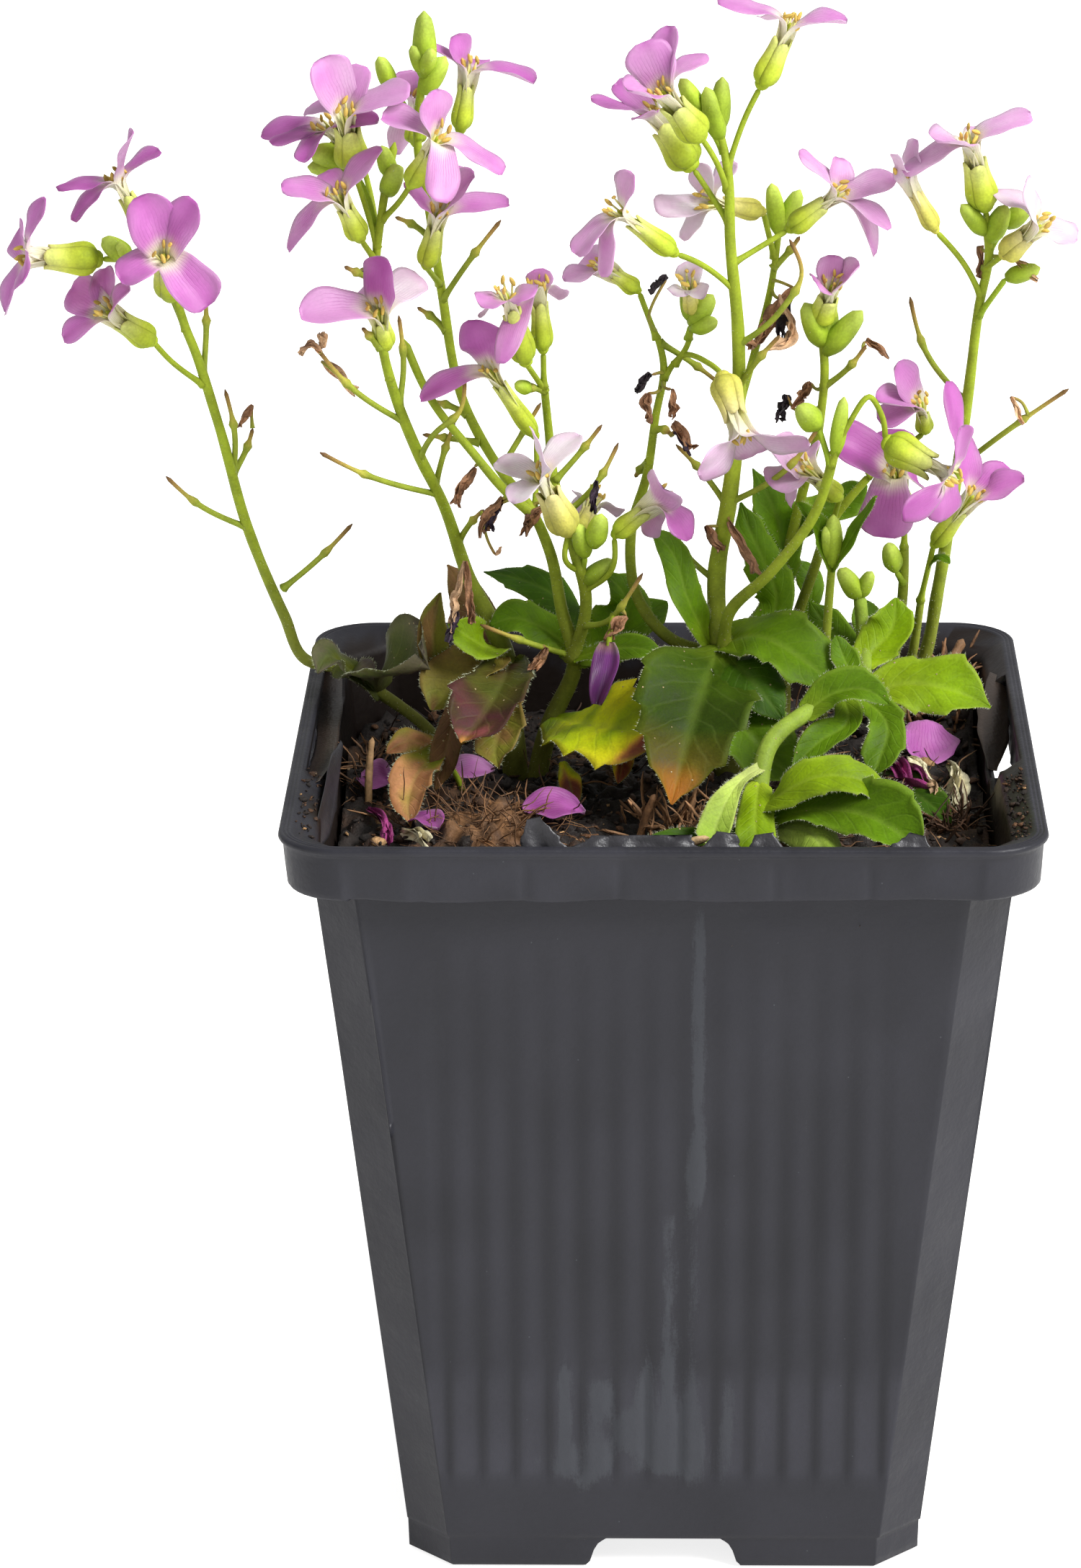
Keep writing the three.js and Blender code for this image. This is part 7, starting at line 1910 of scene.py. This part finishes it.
def colour_setting(name, description, default):
    """A colour that a user can change, from its screen values."""
    return FloatVectorProperty(name=name, description=description, size=3, subtype="COLOR_GAMMA",
        min=0, max=1, default=[c / 255 for c in default])


class RockCressPotSettings(bpy.types.PropertyGroup):
    """Sizes and colours of the nursery pot."""

    groove_depth: FloatProperty(
        name="Groove Depth", description="Depth of the grooves down the pot's sides",
        default=0.45 * MM, min=0, max=0.6 * MM, precision=5, unit="LENGTH")
    dust: colour_setting("Dust", "Colour of the dust and residue on the plastic", (66, 68, 73))


class RockCressPeatSettings(bpy.types.PropertyGroup):
    """How much lies on the peat."""

    crumbs: IntProperty(
        name="Crumbs", description="Number of loose crumbs on the peat", default=2800, min=0, max=3500)
    fibres: IntProperty(
        name="Fibres", description="Number of fibres in the peat", default=750, min=0, max=3000)


class RockCressStageSettings(bpy.types.PropertyGroup):
    """Light and backdrop."""

    floor_colour: colour_setting("Floor", "Colour of the floor", (238, 237, 234))
    sky_strength: FloatProperty(
        name="Sky", description="Strength of the even light", default=0.45, min=0, max=3)
    key_power: FloatProperty(
        name="Key Light", description="Power of the main light", default=34, min=0, max=100, unit="POWER")
    fill_power: FloatProperty(
        name="Fill Light", description="Power of the second light", default=0.4, min=0, max=50, unit="POWER")


class ROCKCRESS_OT_pot(bpy.types.Operator):
    """Build the nursery pot with its grooved walls, folded rim, floor and torn film"""

    bl_idname = "rock_cress.pot"
    bl_label = "Build Pot"

    def execute(self, context):
        settings = context.scene.rock_cress_pot
        wall = Surface(11)
        pot_wall(wall, settings.groove_depth / MM)
        pot_floor(wall)
        plastic = finished("pot plastic", settings)
        make_piece("nursery_pot", wall, [plastic], "pot_plastic", "pot")
        film = Surface(12)
        film_scraps(film)
        make_piece("rim_film", film, [plastic, finished("torn film")], "pot_plastic")
        return {"FINISHED"}


class ROCKCRESS_OT_peat(bpy.types.Operator):
    """Build the peat with its crumbs, fibres and straws"""

    bl_idname = "rock_cress.peat"
    bl_label = "Build Peat"

    def execute(self, context):
        settings = context.scene.rock_cress_peat
        bed, loose, shreds = Surface(21), Surface(22), Surface(23)
        peat_bed(bed)
        crumbs(loose, settings.crumbs)
        fibres(shreds, settings.fibres)
        straws(shreds)
        make_piece("peat_bed", bed, [finished("damp peat")], "peat", "peat")
        make_piece("peat_crumbs", loose, [finished("damp peat")], "peat")
        make_piece("peat_fibres", shreds, [finished("fibre")], "peat")
        return {"FINISHED"}


class ROCKCRESS_OT_shoots(bpy.types.Operator):
    """Build the shoots with their stems, stalks, leaves, buds and calyces"""

    bl_idname = "rock_cress.shoots"
    bl_label = "Build Shoots"

    def execute(self, context):
        axes = []
        names = dict.fromkeys(heading.split()[0] for heading in SHOOTS)
        surfaces = {name: Surface(100 + seed, axes) for seed, name in enumerate(names)}
        for kind in ("stems", "bears", "bits"):
            for name, surface in surfaces.items():
                for line in SHOOTS.get(f"{name} {kind}", ()):
                    grow(surface, line)
        for name, surface in surfaces.items():
            for shoot, radius, flower, _ in FLOWERS.values():
                if shoot == name:
                    calyx(surface, radius, *flower)
            make_piece(f"{name}_shoot", surface, plant_finishes(), "green_growth", f"shoot_{name}")
        return {"FINISHED"}


class ROCKCRESS_OT_flowers(bpy.types.Operator):
    """Build the flowers' petals and stamens"""

    bl_idname = "rock_cress.flowers"
    bl_label = "Build Flowers"

    def execute(self, context):
        for seed, (name, (_, _, flower, petals)) in enumerate(FLOWERS.items()):
            surface = Surface(200 + seed)
            corolla(surface, *flower, petals)
            make_piece(f"bloom_{name}", surface, plant_finishes(), "petal", f"flower_{name}")
        return {"FINISHED"}


class ROCKCRESS_OT_loose(bpy.types.Operator):
    """Build the discoloured leaves, the fallen petals and the withered flowers"""

    bl_idname = "rock_cress.loose"
    bl_label = "Build Discoloured and Fallen Parts"

    def execute(self, context):
        for seed, (heading, organ_lines) in enumerate(LOOSE.items()):
            node, slot = heading.split()
            make_piece(f"{node}_detail", loose_part(300 + seed, organ_lines), plant_finishes(), slot, node)
        make_piece("shrivelled_bloom", loose_part(390, REMAINS), plant_finishes(), "withered")
        return {"FINISHED"}


class ROCKCRESS_OT_stage(bpy.types.Operator):
    """Set up the floor, the lights and the camera"""

    bl_idname = "rock_cress.stage"
    bl_label = "Set Up Stage"

    def execute(self, context):
        settings = context.scene.rock_cress_stage
        backdrop(settings)
        soft_light("key", (0.95, -0.6, 1.15), (0, 0, 0.08), 0.7, settings.key_power)
        soft_light("fill", (-0.9, -0.8, 0.5), (0, 0, 0.1), 0.8, settings.fill_power)
        photo_camera()
        context.scene.view_settings.view_transform = "Standard"
        return {"FINISHED"}


OPERATORS = (ROCKCRESS_OT_pot, ROCKCRESS_OT_peat, ROCKCRESS_OT_shoots, ROCKCRESS_OT_flowers,
    ROCKCRESS_OT_loose, ROCKCRESS_OT_stage)


class ROCKCRESS_PT_build(bpy.types.Panel):
    """The rock cress's settings and the steps that build it"""

    bl_idname = "ROCKCRESS_PT_build"
    bl_label = "Rock Cress"
    bl_space_type = "VIEW_3D"
    bl_region_type = "UI"
    bl_category = "Rock Cress"

    def draw(self, context):
        for group in SETTINGS:
            settings = getattr(context.scene, group)
            for name in settings.__annotations__:
                self.layout.prop(settings, name)
        for operator in OPERATORS:
            self.layout.operator(operator.bl_idname)


SETTINGS = {
    "rock_cress_pot": RockCressPotSettings,
    "rock_cress_peat": RockCressPeatSettings,
    "rock_cress_stage": RockCressStageSettings,
}


def register():
    for kind in (*SETTINGS.values(), *OPERATORS, ROCKCRESS_PT_build):
        bpy.utils.register_class(kind)
    for name, kind in SETTINGS.items():
        setattr(bpy.types.Scene, name, PointerProperty(type=kind))


def unregister():
    for name in SETTINGS:
        delattr(bpy.types.Scene, name)
    for kind in reversed((*SETTINGS.values(), *OPERATORS, ROCKCRESS_PT_build)):
        bpy.utils.unregister_class(kind)


def main():
    register()
    for operator in OPERATORS:
        group, step = operator.bl_idname.split(".")
        getattr(getattr(bpy.ops, group), step)()


if __name__ == "__main__":
    main()
